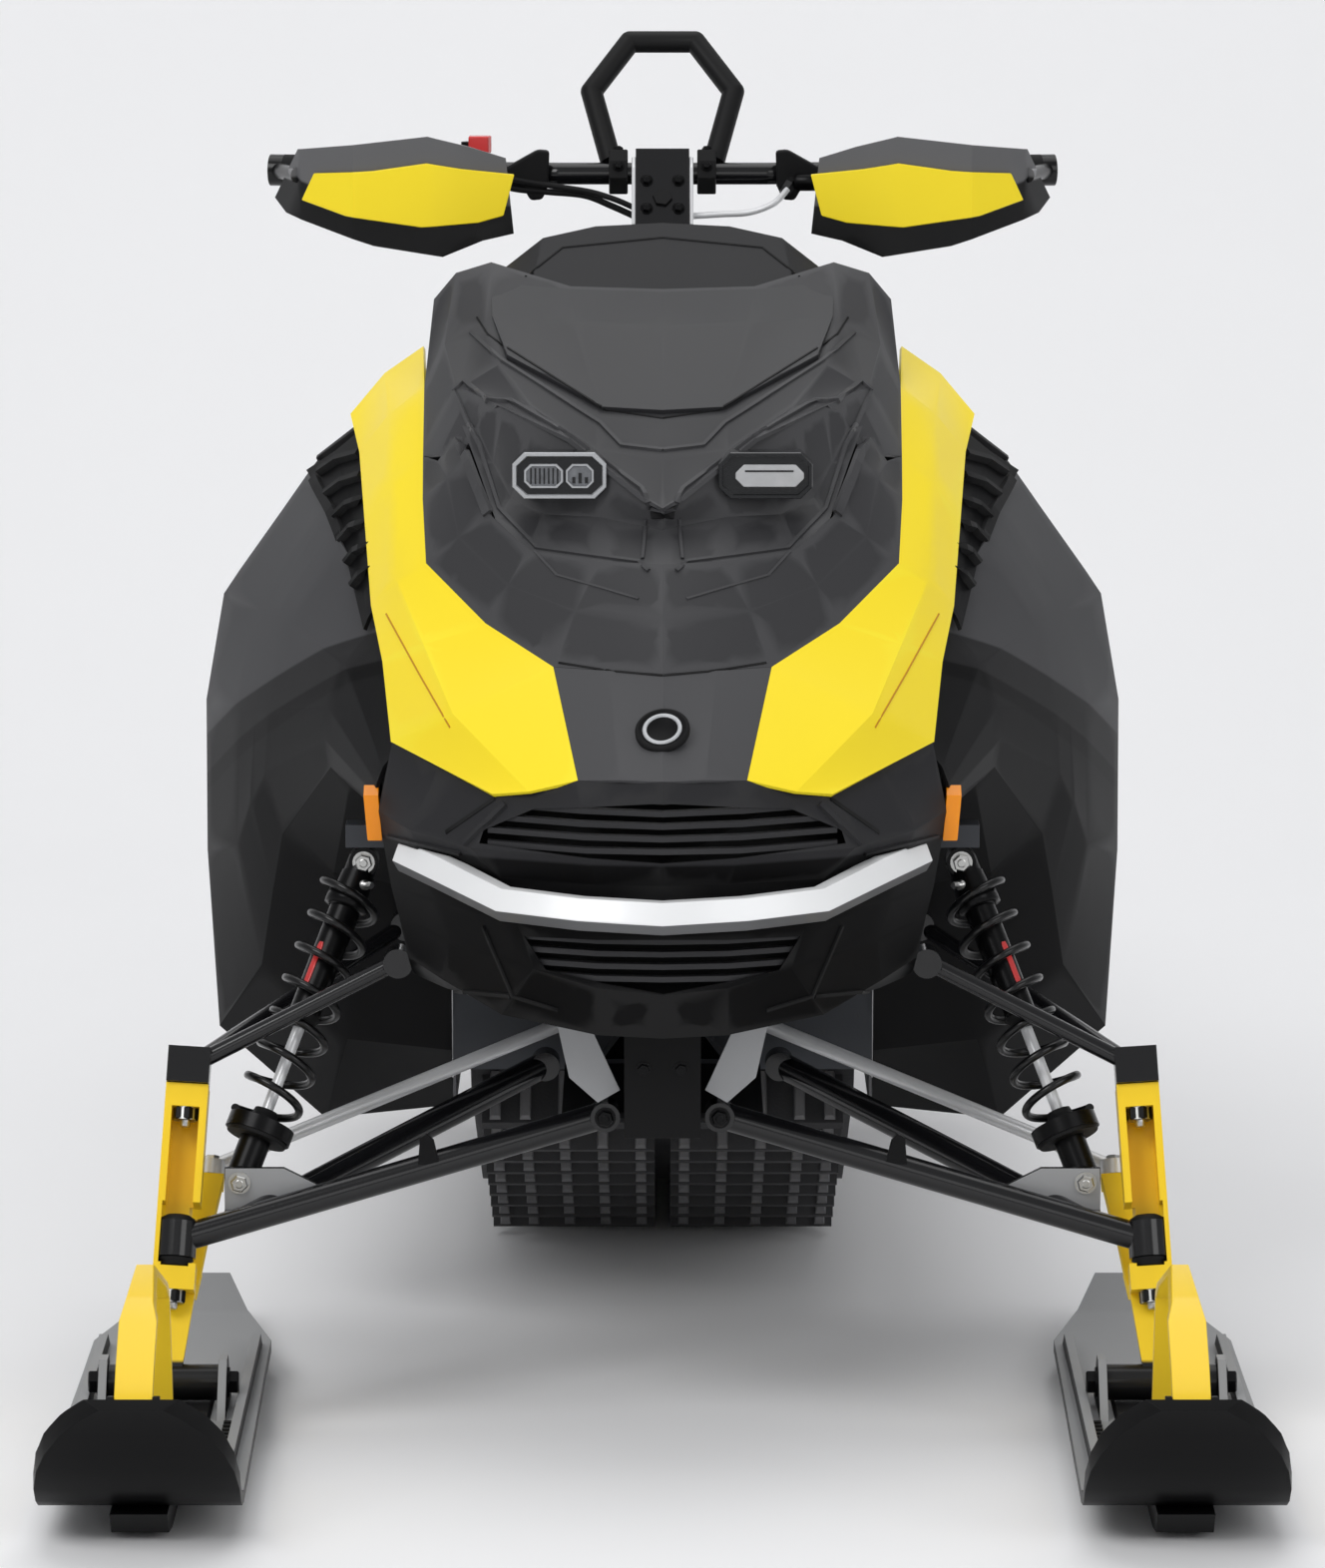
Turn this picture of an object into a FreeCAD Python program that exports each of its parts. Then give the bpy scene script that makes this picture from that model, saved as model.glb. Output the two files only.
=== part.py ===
import FreeCAD, Part
import math
import os

import Sketcher
from FreeCAD import Placement, Rotation, Vector

# Snowmobile with two steered skis, a driven track under a sheet tunnel and a high handlebar.
# Lengths are millimetres. The origin is on the floor at the middle of the length and width,
# the front faces minus Y, plus X is the rider's left side and plus Z is up.

# Driving dimensions: alias, value, what it is.
DIMENSIONS = (
    ("nose_reach", "1100", "middle of the length to the nose tip"),
    ("body_half_width", "452", "centre plane to the widest side panel"),
    ("body_height", "1111", "floor to the top of the gauge pod"),
    ("panel_wall", "4", "moulded body panels"),
    ("windshield_wall", "12", "windshield moulding"),
    ("sheet_wall", "3", "tunnel and running board sheet"),
    ("plate_wall", "6", "bulkhead and rail plates"),
    ("seat_gap", "0.3", "gap between pieces that rest on each other"),
    ("pin_gap", "0.3", "radial gap round pins and shafts"),
    ("swing_gap", "6", "gap beside pieces that move"),
    ("cut_overrun", "5", "how far every cutting tool passes the faces it cuts"),
    ("joint_overlap", "2.5", "how far the parts of one casting reach into each other"),
    ("tunnel_half_width", "206", "centre plane to the tunnel side"),
    ("tunnel_top", "548", "floor to the tunnel top"),
    ("tunnel_side_low", "250", "floor to the lower edge of the tunnel side"),
    ("tunnel_front", "560", "origin forward to the tunnel front"),
    ("tunnel_rear", "1190", "origin back to the tunnel end"),
    ("tunnel_taper_start", "700", "origin back to where the tunnel side starts to rise"),
    ("tunnel_rear_low", "440", "floor to the tunnel side at its end"),
    ("board_half_width", "335", "centre plane to the outer edge of a running board"),
    ("board_top", "246", "floor to the tread of a running board"),
    ("board_front", "344", "origin forward to the board's front end"),
    ("board_rear", "760", "origin back to the board's end"),
    ("board_flange", "34", "height of the board's inner flange"),
    ("board_lip", "18", "height of the board's outer lip"),
    ("board_slot_width", "74", "snow slot across the board"),
    ("board_slot_length", "44", "snow slot along the board"),
    ("board_slot_pitch", "72", "spacing of the snow slots"),
    ("board_slot_count", "13", "snow slots in one board"),
    ("drive_back", "-400", "drive axle along the length"),
    ("drive_height", "330", "floor to the drive axle"),
    ("drive_radius", "90", "inside of the belt round the drive axle"),
    ("nose_bend_back", "150", "front bend of the track along the length"),
    ("nose_bend_radius", "250", "inside of the belt round the rail nose"),
    ("idler_back", "1038", "rear idler axle along the length"),
    ("idler_radius", "89", "inside of the belt round the rear idlers"),
    ("belt_wall", "6", "thickness of the track belt"),
    ("belt_width", "381", "width of the track belt"),
    ("lug_height", "51", "height of the track lugs"),
    ("lug_root", "26", "lug thickness at the belt"),
    ("lug_tip", "12", "lug thickness at the tip"),
    ("lug_span", "171", "width of one lug"),
    ("lug_split", "16", "gap between the two lugs of a row"),
    ("lug_count", "48", "lug rows round the belt"),
    ("rail_spread", "130", "centre plane to the middle of a slide rail"),
    ("rail_height", "84", "height of a slide rail"),
    ("rail_wall", "8", "thickness of a slide rail"),
    ("rail_heel_half_length", "27", "half length of the top of the rail heel"),
    ("rail_heel_rise", "18", "idler axle up to the top of the rail heel"),
    ("runner_gap", "0.5", "gap between the rails and the belt"),
    ("bogie_radius", "65", "radius of the small rail wheels"),
    ("bogie_front_back", "420", "front small wheels along the length"),
    ("bogie_rear_back", "730", "rear small wheels along the length"),
    ("wheel_width", "20", "width of idler and rail wheels"),
    ("wheel_shaft_radius", "9", "shafts of idler and rail wheels"),
    ("wheel_hub_radius", "18", "hubs of idler and rail wheels"),
    ("outer_wheel_spread", "164", "centre plane to an outer wheel"),
    ("axle_radius", "16", "drive axle"),
    ("sprocket_spread", "68", "centre plane to a drive sprocket"),
    ("sprocket_width", "22", "width of a drive sprocket"),
    ("sprocket_teeth", "8", "teeth of a drive sprocket"),
    ("sprocket_gap", "1", "gap between the sprocket tips and the belt"),
    ("arm_tube_radius", "12", "skid arm tubes"),
    ("front_arm_back", "-150", "front skid arm pivot along the length"),
    ("front_arm_height", "340", "floor to the front skid arm pivot"),
    ("front_foot_back", "230", "front skid arm foot along the length"),
    ("rear_arm_back", "500", "rear skid arm pivot along the length"),
    ("rear_arm_height", "272", "floor to the rear skid arm pivot"),
    ("rear_foot_back", "840", "rear skid arm foot along the length"),
    ("foot_height", "112", "floor to the feet of the skid arms"),
    ("arm_spread", "104", "centre plane to the tubes of a skid arm"),
    ("ski_spread", "468", "centre plane to the middle of a ski"),
    ("ski_half_width", "92", "half width of a ski"),
    ("ski_front", "1500", "origin forward to the ski tip"),
    ("ski_length", "1086", "length of a ski"),
    ("ski_wall", "12", "thickness of the ski plate"),
    ("ski_tip_height", "144", "floor to the ski tip"),
    ("ski_keel_height", "27", "height of the keel under the ski"),
    ("ski_keel_half_width", "26", "half width of the keel"),
    ("ski_rib_height", "15", "height of the ski's edge ribs"),
    ("ski_rib_width", "9", "thickness of the ski's edge ribs"),
    ("saddle_spread", "52", "ski middle to the inside of a saddle ear"),
    ("saddle_wall", "8", "thickness of a saddle ear"),
    ("saddle_radius", "24", "rounded top of a saddle ear"),
    ("ski_bolt_reach", "994", "origin forward to the ski bolt"),
    ("ski_bolt_height", "64", "floor to the ski bolt"),
    ("ski_bolt_radius", "7", "ski bolt"),
    ("ski_bolt_half_length", "70", "half length of the ski bolt"),
    ("handle_half_width", "17", "half width of the ski handle"),
    ("handle_wall", "10", "thickness of the ski handle"),
    ("lower_joint_spread", "457", "centre plane to the lower ball joint"),
    ("lower_joint_reach", "960", "origin forward to the lower ball joint"),
    ("lower_joint_height", "193", "floor to the lower ball joint"),
    ("upper_joint_spread", "447", "centre plane to the upper ball joint"),
    ("upper_joint_reach", "903", "origin forward to the upper ball joint"),
    ("upper_joint_height", "350", "floor to the upper ball joint"),
    ("leg_half_width", "20", "half width of the ski leg's channel"),
    ("leg_wall", "7", "walls of the ski leg's channel"),
    ("leg_web_back", "30", "kingpin to the back of the channel"),
    ("leg_flange_front", "12", "kingpin to the front of the channel's flanges"),
    ("leg_boss_height", "22", "height of the ski leg's bosses"),
    ("leg_boss_drop", "26", "lower ball joint down to the lower boss"),
    ("leg_top_rise", "148", "lower ball joint up to the top of the ski leg"),
    ("leg_shank_half_width", "15", "half width of the leg below the lower boss"),
    ("leg_foot_radius", "17", "barrel round the ski bolt"),
    ("notch_reach", "80", "reach of the notch in the ski leg"),
    ("notch_headroom", "18", "room above the ball joint housing in the notch"),
    ("foot_gap", "0.5", "gap beside the barrel in the saddle"),
    ("steer_angle", "32", "degrees of steering each way"),
    ("notch_angle", "38", "degrees the notch in the ski leg passes the steering angle"),
    ("joint_stud_radius", "7", "ball joint studs"),
    ("joint_nut_radius", "11", "ball joint nuts"),
    ("joint_nut_height", "12", "height of the ball joint nuts"),
    ("joint_barrel_radius", "19", "lower ball joint housing"),
    ("joint_barrel_height", "34", "height of the ball joint housings"),
    ("lower_tube_radius", "13", "lower suspension arm tubes"),
    ("upper_tube_radius", "8", "upper suspension arm tubes"),
    ("bush_radius", "14", "pivot bushes of the suspension arms"),
    ("bush_length", "36", "length of the pivot bushes"),
    ("lower_front_spread", "54", "centre plane to the front bush of the lower arm"),
    ("lower_front_reach", "900", "origin forward to the front bush of the lower arm"),
    ("lower_front_height", "302", "floor to the front bush of the lower arm"),
    ("lower_rear_spread", "114", "centre plane to the rear bush of the lower arm"),
    ("lower_rear_reach", "640", "origin forward to the rear bush of the lower arm"),
    ("lower_rear_height", "306", "floor to the rear bush of the lower arm"),
    ("gusset_reach", "42", "lower shock eye inward to the top corner of the gusset"),
    ("gusset_length", "84", "lower shock eye inward to the tip of the gusset"),
    ("gusset_depth", "18", "length of the foot of the gusset"),
    ("upper_inner_spread", "250", "centre plane to the inner bushes of the upper arm"),
    ("upper_front_reach", "869", "origin forward to the front bush of the upper arm"),
    ("upper_rear_reach", "640", "origin forward to the rear bush of the upper arm"),
    ("upper_inner_height", "444", "floor to the inner bushes of the upper arm"),
    ("shock_foot_spread", "399", "centre plane to the lower shock eye"),
    ("shock_foot_reach", "908", "origin forward to the lower shock eye"),
    ("shock_foot_height", "242", "floor to the lower shock eye"),
    ("shock_head_spread", "285", "centre plane to the upper shock eye"),
    ("shock_head_reach", "783", "origin forward to the upper shock eye"),
    ("shock_head_height", "528", "floor to the upper shock eye"),
    ("shock_eye_radius", "14", "shock eyes"),
    ("shock_eye_length", "29", "length of the shock eyes"),
    ("shock_rod_radius", "5", "shock rod"),
    ("shock_body_radius", "15", "shock body"),
    ("shock_perch_radius", "32", "lower spring perch"),
    ("shock_perch_height", "14", "height of the lower spring perch"),
    ("shock_perch_rise", "44", "lower shock eye up to the spring perch"),
    ("spring_radius", "29", "middle of the spring wire"),
    ("spring_wire_radius", "4", "spring wire"),
    ("spring_turns", "7", "turns of the spring"),
    ("bulkhead_half_width", "235.5", "centre plane to the bulkhead side"),
    ("bulkhead_front", "880", "origin forward to the front of the bulkhead"),
    ("bulkhead_floor", "404", "floor to the underside of the bulkhead"),
    ("bulkhead_chine_half_width", "166", "half width of the bulkhead's flat floor"),
    ("bulkhead_chine_height", "438", "floor to the lower edge of the bulkhead side"),
    ("tower_half_width", "302", "half width of the shock tower"),
    ("tower_depth", "36", "length of the shock tower"),
    ("tower_height", "22", "height of the shock tower"),
    ("post_half_width", "36", "half width of the front post"),
    ("post_front", "950", "origin forward to the front post"),
    ("post_rear", "840", "origin forward to the back of the front post"),
    ("keel_pan_low", "288", "floor to the underside of the keel pan"),
    ("keel_pan_half_width", "96", "half width of the keel pan"),
    ("engine_half_width", "160", "half width of the engine block"),
    ("engine_front", "872", "origin forward to the front of the engine"),
    ("engine_rear", "746", "origin forward to the back of the engine"),
    ("engine_height", "262", "height of the engine block"),
    ("tank_half_width", "150", "half width of the fuel tank"),
    ("tank_front", "262", "origin forward to the front of the tank"),
    ("tank_rear", "56", "origin back to the back of the tank"),
    ("tank_top", "930", "floor to the top of the tank"),
    ("cap_radius", "38", "fuel cap"),
    ("cap_height", "22", "height of the fuel cap"),
    ("seat_front", "58", "origin back to the front of the seat"),
    ("seat_length", "640", "length of the seat"),
    ("seat_half_width", "118", "half width of the seat"),
    ("seat_top", "800", "floor to the top of the seat"),
    ("flap_end", "1500", "origin back to the end of the snow flap"),
    ("flap_half_width", "190", "half width of the snow flap"),
    ("flap_wall", "5", "thickness of the snow flap"),
    ("flap_root_height", "15", "height of the snow flap at the tunnel"),
    ("flap_low", "250", "floor to the end of the snow flap"),
    ("rear_tube_radius", "12.5", "rear bumper tube"),
    ("rear_tube_reach", "1262", "origin back to the rear bumper"),
    ("rear_tube_half_width", "168", "half width of the rear bumper"),
    ("rear_tube_overlap", "37.5", "how far the rear bumper lies on the tunnel"),
    ("taillight_half_width", "70", "half width of the tail lamp"),
    ("taillight_height", "34", "height of the tail lamp"),
    ("taillight_depth", "36", "length of the tail lamp"),
    ("bumper_height", "30", "height of the front bumper's section"),
    ("bumper_depth", "24", "depth of the front bumper's section"),
    ("bar_radius", "11.1", "handlebar tube"),
    ("bar_height", "1145", "floor to the handlebar"),
    ("bar_reach", "220", "origin forward to the middle of the handlebar"),
    ("bar_half_length", "378", "half length of the handlebar"),
    ("bar_sweep", "50", "how far the grips lie behind the middle of the bar"),
    ("bar_straight", "105", "half length of the bar's straight middle"),
    ("grip_radius", "16", "handgrips"),
    ("grip_length", "118", "length of a handgrip"),
    ("grip_overhang", "5", "grip past the end of the bar"),
    ("guard_wall", "5", "thickness of the handguards"),
    ("guard_reach", "84", "bar forward to the front of the handguards"),
    ("guard_stay_radius", "8", "stays of the handguards"),
    ("guard_cap_length", "15", "cap of the handguard past the grip"),
    ("strap_radius", "11", "tube of the mountain strap"),
    ("strap_half_width", "72", "half width of the mountain strap"),
    ("strap_height", "153", "bar up to the middle of the strap's top"),
    ("column_radius", "16", "steering column"),
    ("column_foot_reach", "726", "origin forward to the foot of the column"),
    ("column_foot_height", "372", "floor to the foot of the column"),
    ("riser_half_width", "27", "half width of the riser block"),
    ("riser_height", "72", "bar down to the foot of the riser block"),
    ("riser_depth", "42", "depth of the riser block"),
    ("column_clearance_drop", "32", "foot of the column down to the end of its bore"),
    ("crank_arm", "90", "column to the tie rod eyes on the pitman arm"),
    ("crank_spread", "45", "centre plane to an eye of the pitman arm"),
    ("crank_wall", "10", "thickness of the pitman arm"),
    ("crank_hub_radius", "26", "hub of the pitman arm"),
    ("rod_outer_spread", "430", "centre plane to the outer tie rod eye"),
    ("rod_outer_reach", "838", "origin forward to the outer tie rod eye"),
    ("rod_outer_height", "240", "floor to the outer tie rod eye"),
    ("rod_rise", "47", "pitman arm up to the inner tie rod eye"),
    ("rod_radius", "7", "tie rod"),
    ("rod_eye_radius", "13", "tie rod eyes"),
    ("rod_eye_height", "14", "height of the tie rod eyes"),
    ("bore_radius", "8", "hitch bore in the plate on the rear bumper"),
    ("hitch_half_width", "30", "half width of the hitch plate"),
    ("hitch_length", "46", "length of the hitch plate behind the bumper tube"),
    ("lamp_height", "44", "height of a headlight"),
    ("lamp_depth", "30", "depth of a headlight"),
    ("lamp_corner", "11", "cut corners of a headlight"),
    ("marker_depth", "14", "thickness of the marker lamps"),
    ("grille_bar_height", "5", "height of a grille bar"),
    ("grille_bar_depth", "12", "depth of a grille bar"),
    ("grille_pitch", "11.5", "spacing of the grille bars"),
    ("upper_grille_half_width", "162", "half width of the upper grille bars"),
    ("lower_grille_half_width", "132", "half width of the lower grille bars"),
    ("upper_grille_bars", "5", "bars in the upper grille"),
    ("lower_grille_bars", "4", "bars in the lower grille"),
    ("upper_grille_low", "578", "floor to the lowest bar of the upper grille"),
    ("lower_grille_low", "458", "floor to the lowest bar of the lower grille"),
    ("switch_radius", "9", "engine stop switch"),
    ("switch_height", "16", "height of the stop switch"),
    ("block_half_length", "26", "half length of a handlebar control block"),
    ("block_depth", "36", "depth of a control block"),
    ("block_height", "30", "height of a control block"),
    ("block_spread", "196", "centre of the bar to a control block"),
    ("lever_length", "150", "brake and throttle levers"),
    ("lever_radius", "5", "thickness of the levers"),
    ("lever_throw", "15", "lever tip forward of the lever foot"),
    ("rack_hole_radius", "4.2", "accessory holes in the tunnel top"),
    ("rack_hole_across", "240", "spacing of the accessory holes across"),
    ("rack_hole_along", "260", "spacing of the accessory holes along"),
    ("rack_middle_back", "960", "origin back to the middle of the accessory holes"),
)

os.makedirs("parts", exist_ok=True)
doc = FreeCAD.newDocument("snowmobile")
sheet = doc.addObject("Spreadsheet::Sheet", "Sizes")
for row, (alias, value, meaning) in enumerate(DIMENSIONS, start=1):
    sheet.set("A" + str(row), meaning)
    sheet.set("B" + str(row), value)
    sheet.setAlias("B" + str(row), alias)
doc.recompute()

AXIS_X = Vector(1, 0, 0)
AXIS_Y = Vector(0, 1, 0)
AXIS_Z = Vector(0, 0, 1)
LEFT = 1
RIGHT = -1


def size(alias):
    """Value of one driving dimension in millimetres."""
    return float(sheet.get(alias))


def evaluate(expression):
    """Value of an expression over the sheet."""
    return float(sheet.evalExpression(expression))


# Helpers for sketches and features

def origin_plane(body, role):
    """One of the body's own origin planes."""
    return [item for item in body.Origin.OriginFeatures if item.Role == role][0]


def outline_sketch(body, name, role, corners):
    """Closed outline through corners, each a pair of expressions over the sheet."""
    sketch = body.newObject("Sketcher::SketchObject", name)
    sketch.AttachmentSupport = (origin_plane(body, role), [""])
    sketch.MapMode = "FlatFace"
    places = [Vector(evaluate(across), evaluate(up), 0) for across, up in corners]
    count = len(places)
    for index in range(count):
        sketch.addGeometry(Part.LineSegment(places[index], places[(index + 1) % count]))
    for index in range(count):
        sketch.addConstraint(Sketcher.Constraint("Coincident", index, 2, (index + 1) % count, 1))
    for index, (across, up) in enumerate(corners):
        for kind, expression, value in (("DistanceX", across, places[index].x),
                                        ("DistanceY", up, places[index].y)):
            number = sketch.addConstraint(Sketcher.Constraint(kind, index, 1, value))
            if expression != "0":
                sketch.setExpression("Constraints[" + str(number) + "]", expression)
    return sketch


def pad(body, name, sketch, length, symmetric=False, reverse=False):
    """Pad of a sketch by a bound length."""
    feature = body.newObject("PartDesign::Pad", name)
    feature.Profile = sketch
    if symmetric:
        feature.SideType = "Symmetric"
    feature.Reversed = reverse
    feature.setExpression("Length", length)
    doc.recompute()
    return feature


def pocket_through(body, name, sketch):
    """Pocket through the whole body on both sides of its sketch."""
    before = body.Shape.Volume
    feature = body.newObject("PartDesign::Pocket", name)
    feature.Profile = sketch
    feature.Type = "ThroughAll"
    feature.SideType = "Symmetric"
    doc.recompute()
    if body.Shape.Volume >= before:
        raise RuntimeError(name + " cuts nothing")
    return feature


def new_body(name):
    """Empty PartDesign body with its own label."""
    return doc.addObject("PartDesign::Body", name)


def feature_shape(name, shape, place):
    """Document object that carries a shape made with Part functions, at its own place."""
    feature = doc.addObject("Part::Feature", name)
    feature.Shape = shape
    feature.Placement = place
    return feature


def with_mirror(shape):
    """The shape and its mirror image in the centre plane, as one compound."""
    return Part.Compound(shape.Solids + mirrored(shape).Solids)


def mirrored(shape):
    """Mirror image in the centre plane."""
    return shape.mirror(Vector(), AXIS_X)


FLAT_TOLERANCE = 1e-7


def patch(first, second, third, fourth):
    """Flat or ruled face through four corners in order."""
    normal = (second - first).cross(fourth - first)
    if third.distanceToPoint(first) < FLAT_TOLERANCE:
        return None
    if normal.Length > FLAT_TOLERANCE:
        lift = abs((third - first).dot(normal) / normal.Length)
        if lift < FLAT_TOLERANCE:
            return Part.Face(Part.makePolygon([first, second, third, fourth, first]))
    return Part.makeRuledSurface(Part.makeLine(first, second), Part.makeLine(fourth, third))


def solid_from(faces):
    """Solid inside a closed set of faces."""
    shell = Part.makeShell([face for face in faces if face is not None])
    shell.sewShape()
    solid = Part.makeSolid(shell)
    if solid.Volume < 0:
        solid.reverse()
    return solid


def skin(rows, wall, inside):
    """Shell of one wall thickness whose outer face runs through rows of points.

    The inner face lies a wall away, on the side where the point inside is.
    """
    last_row = len(rows) - 1
    last_column = len(rows[0]) - 1
    inner = []
    for r, row in enumerate(rows):
        inner_row = []
        for c, point in enumerate(row):
            along = rows[min(r + 1, last_row)][c] - rows[max(r - 1, 0)][c]
            across = row[min(c + 1, last_column)] - row[max(c - 1, 0)]
            normal = along.cross(across).normalize()
            if normal.dot(inside - point) < 0:
                normal = -normal
            inner_row.append(point + normal * wall)
        inner.append(inner_row)
    faces = []
    for r in range(last_row):
        for c in range(last_column):
            for grid in (rows, inner):
                faces.append(patch(grid[r][c], grid[r][c + 1], grid[r + 1][c + 1], grid[r + 1][c]))
    for r in range(last_row):
        for c in (0, last_column):
            faces.append(patch(rows[r][c], rows[r + 1][c], inner[r + 1][c], inner[r][c]))
    for c in range(last_column):
        for r in (0, last_row):
            faces.append(patch(rows[r][c], rows[r][c + 1], inner[r][c + 1], inner[r][c]))
    return solid_from(faces)


def sections_solid(sections):
    """Solid through closed polygons that have the same number of corners."""
    faces = []
    count = len(sections[0])
    for first, second in zip(sections, sections[1:]):
        for c in range(count):
            following = (c + 1) % count
            faces.append(patch(first[c], first[following], second[following], second[c]))
    for section in (sections[0], sections[-1]):
        faces.append(Part.Face(Part.makePolygon(list(section) + [section[0]])))
    return solid_from(faces)


def tube(start, end, radius):
    """Round bar between two points."""
    return Part.makeCylinder(radius, start.distanceToPoint(end), start, end - start)


def bent_tube(points, radius):
    """Round bar through points, with a ball at every bend."""
    shape = tube(points[0], points[1], radius)
    for start, end in zip(points[1:], points[2:]):
        shape = shape.fuse([Part.makeSphere(radius, start), tube(start, end, radius)])
    return shape.removeSplitter()


def prism(points, direction):
    """Solid swept from a flat polygon along a direction."""
    return Part.Face(Part.makePolygon(list(points) + [points[0]])).extrude(direction)


def box(low, high):
    """Box between two corners."""
    span = high - low
    return Part.makeBox(span.x, span.y, span.z, low)


def body_point(shares):
    """Point of the bodywork from its shares of half width, nose reach and height."""
    across, back, up = shares
    return Vector(across * size("body_half_width"), back * size("nose_reach"),
                  up * size("body_height"))


def body_rows(table):
    """Rows of bodywork points from a table of shares."""
    return [[body_point(shares) for shares in row] for row in table]


def full_rows(table):
    """Rows that start on the centre plane, completed with their mirror images."""
    rows = []
    for row in body_rows(table):
        far_side = [Vector(-point.x, point.y, point.z) for point in reversed(row[1:])]
        rows.append(far_side + row)
    return rows


panel_wall = size("panel_wall")
sheet_wall = size("sheet_wall")
plate_wall = size("plate_wall")
seat_gap = size("seat_gap")
pin_gap = size("pin_gap")
swing_gap = size("swing_gap")
overrun = size("cut_overrun")
overlap = size("joint_overlap")

# Outer panel shapes: rows of shares across, back and up
BODY_MIDDLE_SHARES = (0, -0.545, 0.54)

HOOD_SHARES = (
    ((0, -0.465, 0.947), (0.199, -0.46, 0.949), (0.372, -0.431, 0.968), (0.449, -0.425, 0.958),
     (0.496, -0.441, 0.936)),
    ((0, -0.545, 0.916), (0.186, -0.544, 0.918), (0.381, -0.515, 0.92), (0.469, -0.509, 0.902),
     (0.513, -0.514, 0.864)),
    ((0, -0.673, 0.85), (0.137, -0.662, 0.853), (0.35, -0.582, 0.891), (0.438, -0.582, 0.869),
     (0.511, -0.591, 0.812)),
    ((0, -0.718, 0.823), (0.137, -0.698, 0.828), (0.279, -0.642, 0.86), (0.412, -0.6, 0.869),
     (0.478, -0.611, 0.815)),
    ((0, -0.769, 0.785), (0.04, -0.762, 0.794), (0.195, -0.712, 0.839), (0.35, -0.651, 0.862),
     (0.447, -0.635, 0.808)),
)
FLANK_SHARES = (
    ((0.442, -0.627, 0.832), (0.478, -0.613, 0.81), (0.511, -0.591, 0.812)),
    ((0.407, -0.664, 0.817), (0.456, -0.651, 0.799), (0.509, -0.636, 0.779)),
    ((0.363, -0.715, 0.774), (0.429, -0.707, 0.754), (0.498, -0.704, 0.731)),
    ((0.279, -0.762, 0.749), (0.323, -0.773, 0.72), (0.369, -0.787, 0.689)),
    ((0.133, -0.795, 0.743), (0.181, -0.823, 0.704), (0.226, -0.853, 0.66)),
    ((0, -0.811, 0.742), (0, -0.855, 0.702), (0, -0.9, 0.66)),
)
POCKET_SHARES = (
    ((0.425, -0.629, 0.842), (0.394, -0.65, 0.842), (0.381, -0.647, 0.855)),
    ((0.394, -0.668, 0.814), (0.358, -0.677, 0.815), (0.341, -0.653, 0.861)),
    ((0.35, -0.718, 0.77), (0.319, -0.698, 0.787), (0.274, -0.678, 0.851)),
    ((0.27, -0.762, 0.745), (0.248, -0.713, 0.774), (0.195, -0.708, 0.839)),
    ((0.133, -0.793, 0.74), (0.137, -0.731, 0.774), (0.102, -0.738, 0.812)),
    ((0, -0.807, 0.738), (0, -0.755, 0.765), (0, -0.761, 0.786)),
)
WINDSHIELD_SHARES = (
    ((0, -0.482, 0.946), (0.204, -0.475, 0.948), (0.372, -0.455, 0.952)),
    ((0, -0.545, 0.922), (0.186, -0.542, 0.923), (0.367, -0.509, 0.927)),
    ((0, -0.665, 0.859), (0.128, -0.656, 0.861), (0.332, -0.576, 0.899)),
)
CONSOLE_SHARES = (
    ((0, -0.46, 0.936), (0.155, -0.456, 0.938), (0.288, -0.445, 0.94), (0.345, -0.433, 0.938)),
    ((0, -0.38, 0.999), (0.146, -0.38, 0.996), (0.261, -0.385, 0.986), (0.341, -0.391, 0.961)),
    ((0, -0.324, 0.983), (0.146, -0.325, 0.981), (0.265, -0.333, 0.97), (0.358, -0.342, 0.941)),
    ((0, -0.338, 0.9), (0.146, -0.338, 0.9), (0.288, -0.342, 0.896), (0.427, -0.355, 0.888)),
)
FENDER_SHARES = (
    ((0.522, -0.4, 0.891), (0.606, -0.411, 0.868), (0.679, -0.436, 0.834)),
    ((0.513, -0.514, 0.864), (0.588, -0.507, 0.841), (0.655, -0.495, 0.806)),
    ((0.511, -0.591, 0.812), (0.58, -0.591, 0.79), (0.637, -0.587, 0.756)),
    ((0.498, -0.704, 0.731), (0.562, -0.693, 0.716), (0.617, -0.673, 0.691)),
    ((0.369, -0.787, 0.689), (0.5, -0.773, 0.67), (0.588, -0.738, 0.65)),
    ((0.226, -0.853, 0.66), (0.434, -0.859, 0.621), (0.566, -0.804, 0.59)),
    ((0.173, -0.958, 0.578), (0.274, -0.947, 0.567), (0.35, -0.925, 0.562)),
)
NOSE_PANEL_SHARES = (
    ((0, -0.9, 0.66), (0.111, -0.878, 0.66), (0.226, -0.853, 0.66)),
    ((0, -0.989, 0.581), (0.088, -0.978, 0.581), (0.173, -0.958, 0.578)),
)
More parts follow.
